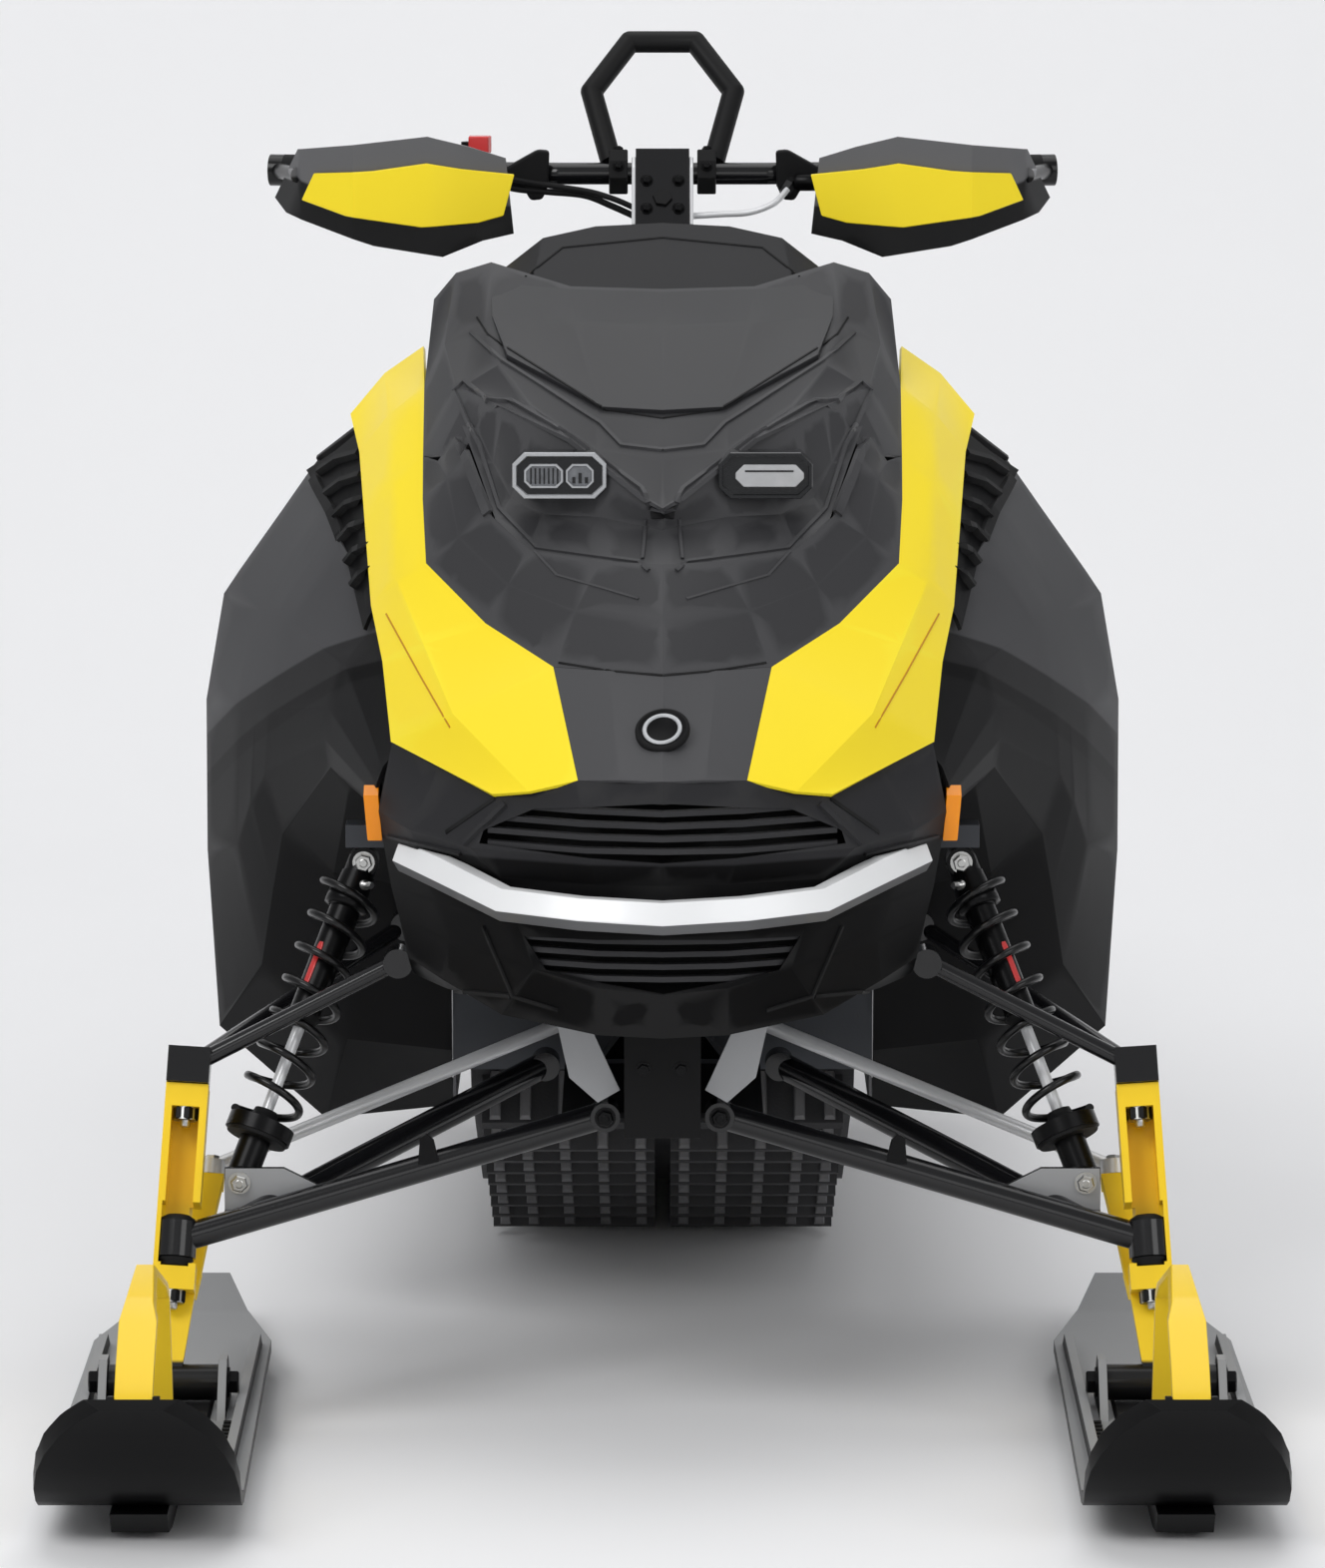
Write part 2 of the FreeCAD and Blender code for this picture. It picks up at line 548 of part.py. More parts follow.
NOSE_SHELL_SHARES = (
    ((0, -0.8, 0.36), (0.133, -0.8, 0.36), (0.332, -0.8, 0.362), (0.454, -0.8, 0.378),
     (0.522, -0.809, 0.392)),
    ((0, -0.955, 0.36), (0.133, -0.949, 0.362), (0.332, -0.916, 0.374), (0.454, -0.859, 0.394),
     (0.531, -0.815, 0.407)),
    ((0, -0.989, 0.402), (0.133, -0.982, 0.407), (0.265, -0.956, 0.419), (0.442, -0.882, 0.432),
     (0.549, -0.815, 0.441)),
    ((0, -0.984, 0.455), (0.133, -0.978, 0.455), (0.299, -0.949, 0.457), (0.469, -0.875, 0.464),
     (0.566, -0.814, 0.468)),
    ((0, -0.982, 0.493), (0.133, -0.976, 0.493), (0.332, -0.94, 0.493), (0.498, -0.871, 0.497),
     (0.58, -0.811, 0.5)),
    ((0, -0.996, 0.518), (0.155, -0.988, 0.518), (0.394, -0.936, 0.518), (0.522, -0.871, 0.524),
     (0.593, -0.805, 0.531)),
    ((0, -0.989, 0.581), (0.173, -0.958, 0.578), (0.323, -0.927, 0.563), (0.451, -0.86, 0.577),
     (0.562, -0.802, 0.592)),
)
SIDE_PANEL_SHARES = (
    ((0.553, -0.795, 0.583), (0.584, -0.793, 0.567), (0.597, -0.793, 0.553), (0.6, -0.793, 0.542),
     (0.597, -0.793, 0.535),
     (0.593, -0.793, 0.529), (0.58, -0.793, 0.526)),
    ((0.58, -0.675, 0.679), (0.673, -0.677, 0.641), (0.708, -0.677, 0.603), (0.717, -0.677, 0.576),
     (0.704, -0.677, 0.551),
     (0.664, -0.677, 0.535), (0.597, -0.677, 0.527)),
    ((0.69, -0.564, 0.734), (0.801, -0.564, 0.662), (0.847, -0.564, 0.585), (0.854, -0.564, 0.531),
     (0.819, -0.564, 0.477),
     (0.708, -0.564, 0.443), (0.544, -0.564, 0.43)),
    ((0.706, -0.536, 0.745), (0.832, -0.536, 0.664), (0.878, -0.536, 0.583), (0.889, -0.536, 0.5),
     (0.843, -0.536, 0.423),
     (0.699, -0.536, 0.376), (0.458, -0.536, 0.353)),
    ((0.726, -0.5, 0.758), (0.867, -0.5, 0.666), (0.918, -0.5, 0.581), (0.925, -0.5, 0.459),
     (0.872, -0.5, 0.351),
     (0.686, -0.5, 0.284), (0.459, -0.5, 0.274)),
    ((0.774, -0.409, 0.779), (0.96, -0.409, 0.671), (1, -0.409, 0.576), (1, -0.409, 0.441),
     (0.976, -0.409, 0.281),
     (0.743, -0.409, 0.197), (0.462, -0.409, 0.209)),
    ((0.761, -0.3, 0.781), (0.938, -0.3, 0.68), (0.982, -0.3, 0.576), (0.982, -0.3, 0.432),
     (0.96, -0.3, 0.27),
     (0.743, -0.3, 0.2), (0.462, -0.3, 0.212)),
)
KNEE_PANEL_SHARES = (
    ((0.42, -0.356, 0.889), (0.597, -0.364, 0.841), (0.765, -0.304, 0.784)),
    ((0.372, -0.164, 0.815), (0.491, -0.182, 0.743), (0.628, -0.202, 0.634)),
    ((0.336, 0.045, 0.668), (0.398, 0.018, 0.585), (0.46, -0.009, 0.497)),
)
VENT_SHARES = (
    ((0.655, -0.44, 0.821), (0.712, -0.429, 0.801), (0.779, -0.405, 0.781)),
    ((0.646, -0.5, 0.796), (0.686, -0.5, 0.778), (0.721, -0.5, 0.76)),
    ((0.633, -0.591, 0.749), (0.655, -0.582, 0.734), (0.681, -0.573, 0.727)),
    ((0.611, -0.675, 0.689), (0.624, -0.676, 0.68), (0.633, -0.678, 0.671)),
)

# Shares of the marker lamp, the bumper path and the grille openings
MARKER_SHARES = ((0.593, -0.789, 0.551), (0.593, -0.804, 0.544), (0.584, -0.811, 0.506))
BUMPER_PATH_SHARES = ((0.538, -0.835, 0.498), (0.454, -0.909, 0.493), (0.325, -0.965, 0.475),
                      (0.166, -0.998, 0.472),
                      (0, -1.011, 0.47))
UPPER_GRILLE_SHARES = ((0, 0, 0.563), (0.261, 0, 0.553), (0.367, 0, 0.533), (0.376, 0, 0.522),
                       (0, 0, 0.513))
LOWER_GRILLE_SHARES = ((0, 0, 0.448), (0.283, 0, 0.446), (0.239, 0, 0.419), (0, 0, 0.403))
BUMPER_SECTION_SHARES = ((-1, 1), (0.33, 1), (1, -0.33), (0.5, -1), (-1, -1))
LAMP_INNER_SHARES = (0.117, -0.738, 0.81)
LAMP_OUTER_SHARES = (0.314, -0.738, 0.81)


body_middle = body_point(BODY_MIDDLE_SHARES)


def wrap_rows(table):
    """Rows that run from the left side through the centre plane to the right side."""
    near = body_rows(table)
    far = [[Vector(-point.x, point.y, point.z) for point in row] for row in reversed(near[:-1])]
    return near + far


def largest(shape):
    """Largest solid of a shape."""
    return max(shape.Solids, key=lambda solid: solid.Volume)


# Bodywork
hood_top = skin(full_rows(HOOD_SHARES), panel_wall, body_middle)
flank = skin(wrap_rows(FLANK_SHARES), panel_wall, body_middle)
pocket = skin(wrap_rows(POCKET_SHARES), panel_wall, body_middle)
hood = hood_top.fuse([flank, pocket])
windshield = largest(skin(full_rows(WINDSHIELD_SHARES), size("windshield_wall"), body_middle).cut(hood))
console = largest(skin(full_rows(CONSOLE_SHARES), panel_wall, body_middle).cut([hood, windshield]))
fender_left = largest(skin(body_rows(FENDER_SHARES), panel_wall, body_middle).cut(hood))
fender_right = mirrored(fender_left)
nose_panel = largest(skin(full_rows(NOSE_PANEL_SHARES), panel_wall, body_middle).cut(
    [hood, fender_left, fender_right]))
nose_shell = skin(full_rows(NOSE_SHELL_SHARES), panel_wall, body_middle).cut(
    [nose_panel, fender_left, fender_right])
side_panel_left = largest(skin(body_rows(SIDE_PANEL_SHARES), panel_wall, body_middle).cut(
    [fender_left, nose_shell]))
knee_panel = largest(skin(body_rows(KNEE_PANEL_SHARES), panel_wall, body_middle).cut(
    [side_panel_left, console]))
vent = largest(skin(body_rows(VENT_SHARES), panel_wall, body_middle).cut([side_panel_left, fender_left]))


def opening_prism(shares):
    """Prism along the length through the nose, from a half outline and its mirror."""
    half = [body_point(item) for item in shares]
    outline = half + [Vector(-point.x, point.y, point.z) for point in reversed(half[1:-1])]
    front = Vector(0, -size("nose_reach") - overrun, 0)
    depth = size("nose_reach") - size("bulkhead_front")
    return prism([point + front for point in outline], Vector(0, depth, 0))


upper_opening = opening_prism(UPPER_GRILLE_SHARES)
lower_opening = opening_prism(LOWER_GRILLE_SHARES)
belly_pan = largest(nose_shell.cut([upper_opening, lower_opening]))

pieces = {}


def keep(name, item, place=Placement()):
    """Register a sub-part: a document object, or a shape that becomes one at a place."""
    if isinstance(item, Part.Shape):
        item = feature_shape(name, item, place)
    item.Label = name
    pieces[name] = item
    return item


def paired_body(name, body):
    """A body and its mirror image in the centre plane as one sub-part."""
    body.Label = name + "_one_side"
    other = doc.addObject("Part::Mirroring", name + "_other_side")
    other.Source = body
    other.Normal = AXIS_X
    pair = doc.addObject("Part::Compound", name)
    pair.Links = [body, other]
    doc.recompute()
    return keep(name, pair)


# Tunnel and running boards
tunnel = new_body("tunnel")
tunnel_profile = outline_sketch(tunnel, "tunnel_profile", "XZ_Plane", (
    ("-Sizes.tunnel_half_width", "Sizes.tunnel_side_low"),
    ("-Sizes.tunnel_half_width", "Sizes.tunnel_top"),
    ("Sizes.tunnel_half_width", "Sizes.tunnel_top"),
    ("Sizes.tunnel_half_width", "Sizes.tunnel_side_low"),
    ("Sizes.tunnel_half_width - Sizes.sheet_wall", "Sizes.tunnel_side_low"),
    ("Sizes.tunnel_half_width - Sizes.sheet_wall", "Sizes.tunnel_top - Sizes.sheet_wall"),
    ("Sizes.sheet_wall - Sizes.tunnel_half_width", "Sizes.tunnel_top - Sizes.sheet_wall"),
    ("Sizes.sheet_wall - Sizes.tunnel_half_width", "Sizes.tunnel_side_low"),
))
tunnel_sheet = tunnel.newObject("PartDesign::Pad", "tunnel_sheet")
tunnel_sheet.Profile = tunnel_profile
tunnel_sheet.SideType = "Two sides"
tunnel_sheet.setExpression("Length", "Sizes.tunnel_front")
tunnel_sheet.setExpression("Length2", "Sizes.tunnel_rear")
doc.recompute()
tunnel_taper = outline_sketch(tunnel, "tunnel_taper", "YZ_Plane", (
    ("Sizes.tunnel_taper_start", "Sizes.tunnel_side_low"),
    ("Sizes.tunnel_rear", "Sizes.tunnel_rear_low"),
    ("Sizes.tunnel_rear + Sizes.cut_overrun", "Sizes.tunnel_side_low - Sizes.cut_overrun"),
    ("Sizes.tunnel_taper_start", "Sizes.tunnel_side_low - Sizes.cut_overrun"),
))
pocket_through(tunnel, "tunnel_taper_cut", tunnel_taper)
rack_holes = tunnel.newObject("Sketcher::SketchObject", "rack_holes")
rack_holes.AttachmentSupport = (origin_plane(tunnel, "XY_Plane"), [""])
rack_holes.MapMode = "FlatFace"
for across_sign in (LEFT, RIGHT):
    for along_sign in (LEFT, RIGHT):
        place = Vector(across_sign * size("rack_hole_across") / 2,
                       size("rack_middle_back") + along_sign * size("rack_hole_along") / 2, 0)
        rack_holes.addGeometry(Part.Circle(place, AXIS_Z, size("rack_hole_radius")))
        number = rack_holes.GeometryCount - 1
        rack_holes.addConstraint(Sketcher.Constraint("Radius", number, size("rack_hole_radius")))
        rack_holes.setExpression("Constraints[" + str(rack_holes.ConstraintCount - 1) + "]",
                                 "Sizes.rack_hole_radius")
pocket_through(tunnel, "rack_hole_cut", rack_holes)
keep("tunnel", tunnel)

board = new_body("running_board")
board_profile = outline_sketch(board, "board_profile", "XZ_Plane", (
    ("Sizes.tunnel_half_width", "Sizes.board_top - Sizes.sheet_wall"),
    ("Sizes.tunnel_half_width", "Sizes.board_top + Sizes.board_flange"),
    ("Sizes.tunnel_half_width + Sizes.sheet_wall", "Sizes.board_top + Sizes.board_flange"),
    ("Sizes.tunnel_half_width + Sizes.sheet_wall", "Sizes.board_top"),
    ("Sizes.board_half_width - Sizes.sheet_wall", "Sizes.board_top"),
    ("Sizes.board_half_width - Sizes.sheet_wall", "Sizes.board_top + Sizes.board_lip"),
    ("Sizes.board_half_width", "Sizes.board_top + Sizes.board_lip"),
    ("Sizes.board_half_width", "Sizes.board_top - Sizes.sheet_wall"),
))
board_sheet = board.newObject("PartDesign::Pad", "board_sheet")
board_sheet.Profile = board_profile
board_sheet.SideType = "Two sides"
board_sheet.setExpression("Length", "Sizes.board_front")
board_sheet.setExpression("Length2", "Sizes.board_rear")
doc.recompute()
slot_middle = "(Sizes.tunnel_half_width + Sizes.board_half_width) / 2"
slot_sketch = outline_sketch(board, "board_slot", "XY_Plane", (
    (slot_middle + " - Sizes.board_slot_width / 2", "Sizes.board_slot_length - Sizes.board_front"),
    (slot_middle + " + Sizes.board_slot_width / 2", "Sizes.board_slot_length - Sizes.board_front"),
    (slot_middle + " + Sizes.board_slot_width / 2", "2 * Sizes.board_slot_length - Sizes.board_front"),
    (slot_middle + " - Sizes.board_slot_width / 2", "2 * Sizes.board_slot_length - Sizes.board_front"),
))
slot_cut = pocket_through(board, "board_slot_cut", slot_sketch)
slot_row = board.newObject("PartDesign::LinearPattern", "board_slot_row")
slot_row.Originals = [slot_cut]
slot_row.Direction = (origin_plane(board, "Y_Axis"), [""])
slot_row.setExpression("Length", "Sizes.board_slot_pitch * (Sizes.board_slot_count - 1)")
slot_row.setExpression("Occurrences", "Sizes.board_slot_count")
board.Tip = slot_row
doc.recompute()
paired_body("running_boards", board)

# Bulkhead: open tub behind the nose with the shock towers and a front wall of the tunnel
chine = (Vector(size("bulkhead_chine_half_width"), 0, size("bulkhead_floor")),
         Vector(size("bulkhead_half_width"), 0, size("bulkhead_chine_height")),
         Vector(size("bulkhead_half_width"), 0, size("tunnel_top")))
wall_across = Vector(plate_wall, 0, 0)
wall_up = Vector(0, 0, plate_wall)
tub_inner = [chine[2] - wall_across, chine[1] - wall_across + wall_up / 2, chine[0] + wall_up]
tub_outline = ([Vector(-point.x, 0, point.z) for point in reversed(chine)] + list(chine)
               + tub_inner + [Vector(-point.x, 0, point.z) for point in reversed(tub_inner)])
tub_front = Vector(0, -size("bulkhead_front"), 0)
tub_length = size("bulkhead_front") - size("tunnel_front")
tub = prism([point + tub_front for point in tub_outline], Vector(0, tub_length, 0))
rear_wall = box(Vector(-size("tunnel_half_width"), -size("tunnel_front") - plate_wall, size("keel_pan_low")),
                Vector(size("tunnel_half_width"), -size("tunnel_front"), size("tunnel_top")))
tower_low = size("shock_head_height") + size("shock_eye_radius") + seat_gap
tower = box(Vector(size("engine_half_width") + 2 * plate_wall,
                   -size("shock_head_reach") - size("tower_depth") / 2, tower_low),
            Vector(size("tower_half_width"), -size("shock_head_reach") + size("tower_depth") / 2,
                   tower_low + size("tower_height")))
column_foot = Vector(0, -size("column_foot_reach"), size("column_foot_height"))
bar_middle = Vector(0, -size("bar_reach"), size("bar_height"))
column_line = (bar_middle - column_foot).normalize()
column_bore = tube(column_foot - column_line * size("column_clearance_drop"),
                   bar_middle, size("column_radius") + pin_gap)
bulkhead = tub.fuse([rear_wall, tower, mirrored(tower)]).removeSplitter().cut(column_bore)
keep("bulkhead", bulkhead)

# Front post and keel pan that carry the lower suspension arms
post = box(Vector(-size("post_half_width"), -size("post_front"), size("keel_pan_low")),
           Vector(size("post_half_width"), -size("post_rear"), size("bulkhead_floor")))
pan = box(Vector(-size("keel_pan_half_width"), -size("post_rear") - overlap, size("keel_pan_low")),
          Vector(size("keel_pan_half_width"), -size("tunnel_front") - plate_wall,
                 size("keel_pan_low") + plate_wall))
subframe = post.fuse(pan).removeSplitter()
belly_pan = largest(belly_pan.cut([subframe, bulkhead]))
side_panel_left = largest(side_panel_left.cut(bulkhead))
side_panel_right = mirrored(side_panel_left)
keep("front_subframe", subframe)

# Engine, tank and seat
engine_floor = size("bulkhead_floor") + plate_wall
engine = box(Vector(-size("engine_half_width"), -size("engine_front"), engine_floor),
             Vector(size("engine_half_width"), -size("engine_rear"), engine_floor + size("engine_height")))
keep("engine_block", engine)

TANK_SECTION_SHARES = ((0.62, 0), (1.0, 0.3), (0.94, 0.72), (0.6, 1.0))
TANK_STATION_SHARES = ((0.0, 0.90, 0.86), (0.3, 1.0, 1.0), (0.65, 1.0, 0.92), (1.0, 0.9, 0.66))
TANK_CAP_SHARE = 0.3
tank_floor = size("tunnel_top") + seat_gap
tank_length = size("tank_front") + size("tank_rear")
tank_sections = []
for along, wide, tall in TANK_STATION_SHARES:
    half = [Vector(wide * across * size("tank_half_width"), along * tank_length - size("tank_front"),
                   tank_floor + up * tall * (size("tank_top") - tank_floor))
            for across, up in TANK_SECTION_SHARES]
    tank_sections.append(half + [Vector(-point.x, point.y, point.z) for point in reversed(half)])
tank_body = sections_solid(tank_sections)
cap_base = Vector(0, -size("tank_front") + TANK_CAP_SHARE * tank_length,
                  size("tank_top") - size("cap_height") / 2)
tank = tank_body.fuse(Part.makeCylinder(size("cap_radius"), size("cap_height"), cap_base, AXIS_Z))
keep("fuel_tank", tank)

SEAT_SECTION_SHARES = ((0.72, 0), (1.0, 0.45), (0.92, 0.86), (0.66, 1.0))
SEAT_STATION_SHARES = ((0.0, 0.86, 0.72), (0.12, 0.88, 0.90), (0.3, 1.0, 0.98), (0.8, 0.98, 1.0),
                       (0.95, 0.86, 0.94), (1.0, 0.72, 0.72))
seat_sections = []
for along, wide, tall in SEAT_STATION_SHARES:
    half = [Vector(wide * across * size("seat_half_width"), size("seat_front") + along * size("seat_length"),
                   tank_floor + up * tall * (size("seat_top") - tank_floor))
            for across, up in SEAT_SECTION_SHARES]
    seat_sections.append(half + [Vector(-point.x, point.y, point.z) for point in reversed(half)])
keep("seat", sections_solid(seat_sections))

# Snow flap, rear bumper and tail lamp
flap = new_body("snow_flap")
flap_profile = outline_sketch(flap, "flap_profile", "YZ_Plane", (
    ("Sizes.tunnel_rear + Sizes.seat_gap", "Sizes.tunnel_top"),
    ("Sizes.flap_end", "Sizes.flap_low"),
    ("Sizes.flap_end - Sizes.flap_wall", "Sizes.flap_low"),
    ("Sizes.tunnel_rear + Sizes.seat_gap", "Sizes.tunnel_top - Sizes.flap_root_height"),
))
pad(flap, "flap_sheet", flap_profile, "2 * Sizes.flap_half_width", symmetric=True)
keep("snow_flap", flap)

rear_half = size("rear_tube_half_width")
rear_inner = size("tunnel_rear") - size("rear_tube_overlap")
rear_lift = size("tunnel_top") + size("rear_tube_radius")
rear_loop = bent_tube([
    Vector(-rear_half, rear_inner, rear_lift + seat_gap),
    Vector(-rear_half, size("rear_tube_reach"), rear_lift + seat_gap),
    Vector(rear_half, size("rear_tube_reach"), rear_lift + seat_gap),
    Vector(rear_half, rear_inner, rear_lift + seat_gap),
], size("rear_tube_radius"))
hitch_middle = Vector(0, size("rear_tube_reach"), rear_lift + seat_gap)
hitch = box(hitch_middle - Vector(size("hitch_half_width"), 0, plate_wall / 2),
            hitch_middle + Vector(size("hitch_half_width"), size("hitch_length"), plate_wall / 2))
hitch_bore = hitch_middle + AXIS_Y * (size("rear_tube_radius") + size("hitch_length")) / 2
rear_loop = rear_loop.fuse(hitch).cut(tube(hitch_bore - AXIS_Z * plate_wall, hitch_bore + AXIS_Z * plate_wall,
                                           size("bore_radius")))
keep("rear_bumper", rear_loop)
lamp_front = rear_inner
taillight = box(Vector(-size("taillight_half_width"), lamp_front, size("tunnel_top") + seat_gap),
                Vector(size("taillight_half_width"), lamp_front + size("taillight_depth"),
                       size("tunnel_top") + seat_gap + size("taillight_height")))
keep("taillight", taillight)

# Track: belt loop over the drive axle, the rail nose and the rear idlers
ground_belt = size("lug_height") + size("belt_wall")
drive_axle_place = Vector(0, size("drive_back"), size("drive_height"))
nose_bend_place = Vector(0, size("nose_bend_back"), ground_belt + size("nose_bend_radius"))
idler_place = Vector(0, size("idler_back"), ground_belt + size("idler_radius"))


def outer_tangent(first, first_radius, second, second_radius):
    """Tangent points of the line that touches two circles on its right-hand side."""
    span = second - first
    along = span.normalize()
    distance = second.distanceToPoint(first)
    across = along.cross(AXIS_X)
    sine = (second_radius - first_radius) / distance
    direction = across * math.sqrt(1 - sine * sine) - along * sine
    return first + direction * first_radius, second + direction * second_radius


def track_path(lift):
    """Pieces of the loop, lifted off its inside: (start, end, centre or None), seen from plus X."""
    rounds = ((drive_axle_place, size("drive_radius") + lift),
              (nose_bend_place, size("nose_bend_radius") + lift),
              (idler_place, size("idler_radius") + lift))
    lower_start, lower_end = outer_tangent(*rounds[0], *rounds[1])
    flat_start = nose_bend_place - AXIS_Z * rounds[1][1]
    flat_end = idler_place - AXIS_Z * rounds[2][1]
    upper_start, upper_end = outer_tangent(*rounds[2], *rounds[0])
    return ((lower_start, lower_end, None), (lower_end, flat_start, nose_bend_place),
            (flat_start, flat_end, None), (flat_end, upper_start, idler_place),
            (upper_start, upper_end, None), (upper_end, lower_start, drive_axle_place))


def arc_span(start, end, centre):
    """Angle of a piece of the loop round its centre, in the loop's direction."""
    first = math.atan2(start.z - centre.z, start.y - centre.y)
    second = math.atan2(end.z - centre.z, end.y - centre.y)
    return (second - first) % (2 * math.pi)


def piece_length(piece):
    """Length of a straight or round piece of the loop."""
    start, end, centre = piece
    if centre is None:
        return start.distanceToPoint(end)
    return arc_span(start, end, centre) * start.distanceToPoint(centre)


def path_place(path, distance):
    """Point and outward direction at a distance round the loop."""
    rest = distance % sum(piece_length(piece) for piece in path)
    for piece in path:
        length = piece_length(piece)
        start, end, centre = piece
        if rest <= length:
            if centre is None:
                along = (end - start).normalize()
                return start + along * rest, along.cross(AXIS_X)
            angle = rest / start.distanceToPoint(centre)
            spoke = Rotation(AXIS_X, math.degrees(angle)).multVec(start - centre)
            return centre + spoke, spoke.normalize()
        rest -= length
    return path_place(path, 0)


def loop_outline(path, breaks):
    """Closed list of points round the loop at the given distances."""
    return [path_place(path, distance)[0] for distance in breaks]


ROUND_STEP_SHARE = 0.11
LUG_PLACE_SHARE = 0.5
outer_path = track_path(size("belt_wall"))
inner_path = track_path(0)


def smooth_breaks(path):
    """Distances that follow the loop's round pieces in short steps."""
    breaks = []
    travelled = 0
    for piece in path:
        length = piece_length(piece)
        breaks.append(travelled)
        if piece[2] is not None:
            steps = max(2, math.ceil(arc_span(*piece) / ROUND_STEP_SHARE))
            breaks.extend(travelled + length * step / steps for step in range(1, steps))
        travelled += length
    return breaks


def lugged_outline(path):
    """Outline of the belt's outside with every lug in it."""
    total = sum(piece_length(piece) for piece in path)
    pitch = total / size("lug_count")
    half_root = size("lug_root") / 2
    half_tip = size("lug_tip") / 2
    lug_places = [(index + LUG_PLACE_SHARE) * pitch for index in range(int(size("lug_count")))]
    breaks = [distance for distance in smooth_breaks(path)
              if min(abs(distance - place) for place in lug_places) > half_root]
    events = [(distance, None) for distance in breaks] + [(place, "lug") for place in lug_places]
    points = []
    for distance, kind in sorted(events, key=lambda event: event[0]):
        if kind is None:
            points.append(path_place(path, distance)[0])
            continue
        middle, outward = path_place(path, distance)
        along = AXIS_X.cross(outward)
        points.append(path_place(path, distance - half_root)[0])
        points.append(middle + outward * size("lug_height") - along * half_tip)
        points.append(middle + outward * size("lug_height") + along * half_tip)
        points.append(path_place(path, distance + half_root)[0])
    return points


def slab(points, low, high):
    """Outline in the length plane made solid between two places across."""
    return prism([point + AXIS_X * low for point in points], AXIS_X * (high - low))


belt_half = size("belt_width") / 2
split_half = size("lug_split") / 2
lug_end = split_half + size("lug_span")
belt_loop = slab(loop_outline(outer_path, smooth_breaks(outer_path)), -belt_half, belt_half)
inner_loop = slab(loop_outline(inner_path, smooth_breaks(inner_path)), -belt_half - overrun,
                  belt_half + overrun)
lug_outline = lugged_outline(outer_path)
track = belt_loop.fuse([slab(lug_outline, split_half, lug_end), slab(lug_outline, -lug_end, -split_half)])
track = track.cut(inner_loop)
keep("track", track)

# Drive axle with two toothed sprockets
teeth = int(size("sprocket_teeth"))
tip_radius = size("drive_radius") - size("sprocket_gap")
root_radius = tip_radius - size("wheel_width") / 2
SPROCKET_TOOTH_SHARES = (0.0, 0.3, 0.5, 0.8)
sprocket_points = []
for tooth in range(teeth):
    for share, radius in zip(SPROCKET_TOOTH_SHARES, (tip_radius, tip_radius, root_radius, root_radius)):
        angle = 2 * math.pi * (tooth + share) / teeth
        sprocket_points.append(drive_axle_place + Vector(0, math.cos(angle), math.sin(angle)) * radius)
axle_reach = size("tunnel_half_width") - sheet_wall - seat_gap
drive_parts = []
for side in (LEFT, RIGHT):
    middle = side * size("sprocket_spread")
    half = size("sprocket_width") / 2
    drive_parts.append(slab(sprocket_points, middle - half, middle + half))
drive_axle = tube(drive_axle_place - AXIS_X * axle_reach, drive_axle_place + AXIS_X * axle_reach,
                  size("axle_radius")).fuse(drive_parts)
keep("drive_axle", drive_axle)

# Slide rails with the holes for every shaft of the skid
rail_low = ground_belt + size("runner_gap")
bogie_height = rail_low + size("bogie_radius")
RAIL_LOW = "Sizes.lug_height + Sizes.belt_wall + Sizes.runner_gap"
IDLER_HEIGHT = "Sizes.lug_height + Sizes.belt_wall + Sizes.idler_radius"
RAIL_NOSE_SHARES = ((0.36, 1.2), (0.46, 1.02), (0.33, 0.19))
rail = new_body("slide_rail")
rail_sketch = outline_sketch(rail, "rail_outline", "YZ_Plane", (
    ("Sizes.nose_bend_back", RAIL_LOW),
    ("Sizes.idler_back", RAIL_LOW),
    ("Sizes.idler_back + Sizes.rail_heel_half_length", IDLER_HEIGHT + " + Sizes.rail_heel_rise"),
    ("Sizes.idler_back - Sizes.rail_heel_half_length", IDLER_HEIGHT + " + Sizes.rail_heel_rise"),
    ("Sizes.rear_foot_back", RAIL_LOW + " + Sizes.rail_height"),
    ("Sizes.nose_bend_back", RAIL_LOW + " + Sizes.rail_height"),
) + tuple(("Sizes.nose_bend_back - " + str(reach) + " * Sizes.nose_bend_radius",
           RAIL_LOW + " + " + str(rise) + " * Sizes.rail_height") for reach, rise in RAIL_NOSE_SHARES))
pad(rail, "rail_plate", rail_sketch, "Sizes.rail_wall", symmetric=True)
SHAFTS = (("Sizes.bogie_front_back", RAIL_LOW + " + Sizes.bogie_radius", "Sizes.wheel_shaft_radius"),
          ("Sizes.bogie_rear_back", RAIL_LOW + " + Sizes.bogie_radius", "Sizes.wheel_shaft_radius"),
          ("Sizes.idler_back", IDLER_HEIGHT, "Sizes.wheel_shaft_radius"))
hole_sketch = rail.newObject("Sketcher::SketchObject", "shaft_holes")
hole_sketch.AttachmentSupport = (origin_plane(rail, "YZ_Plane"), [""])
hole_sketch.MapMode = "FlatFace"
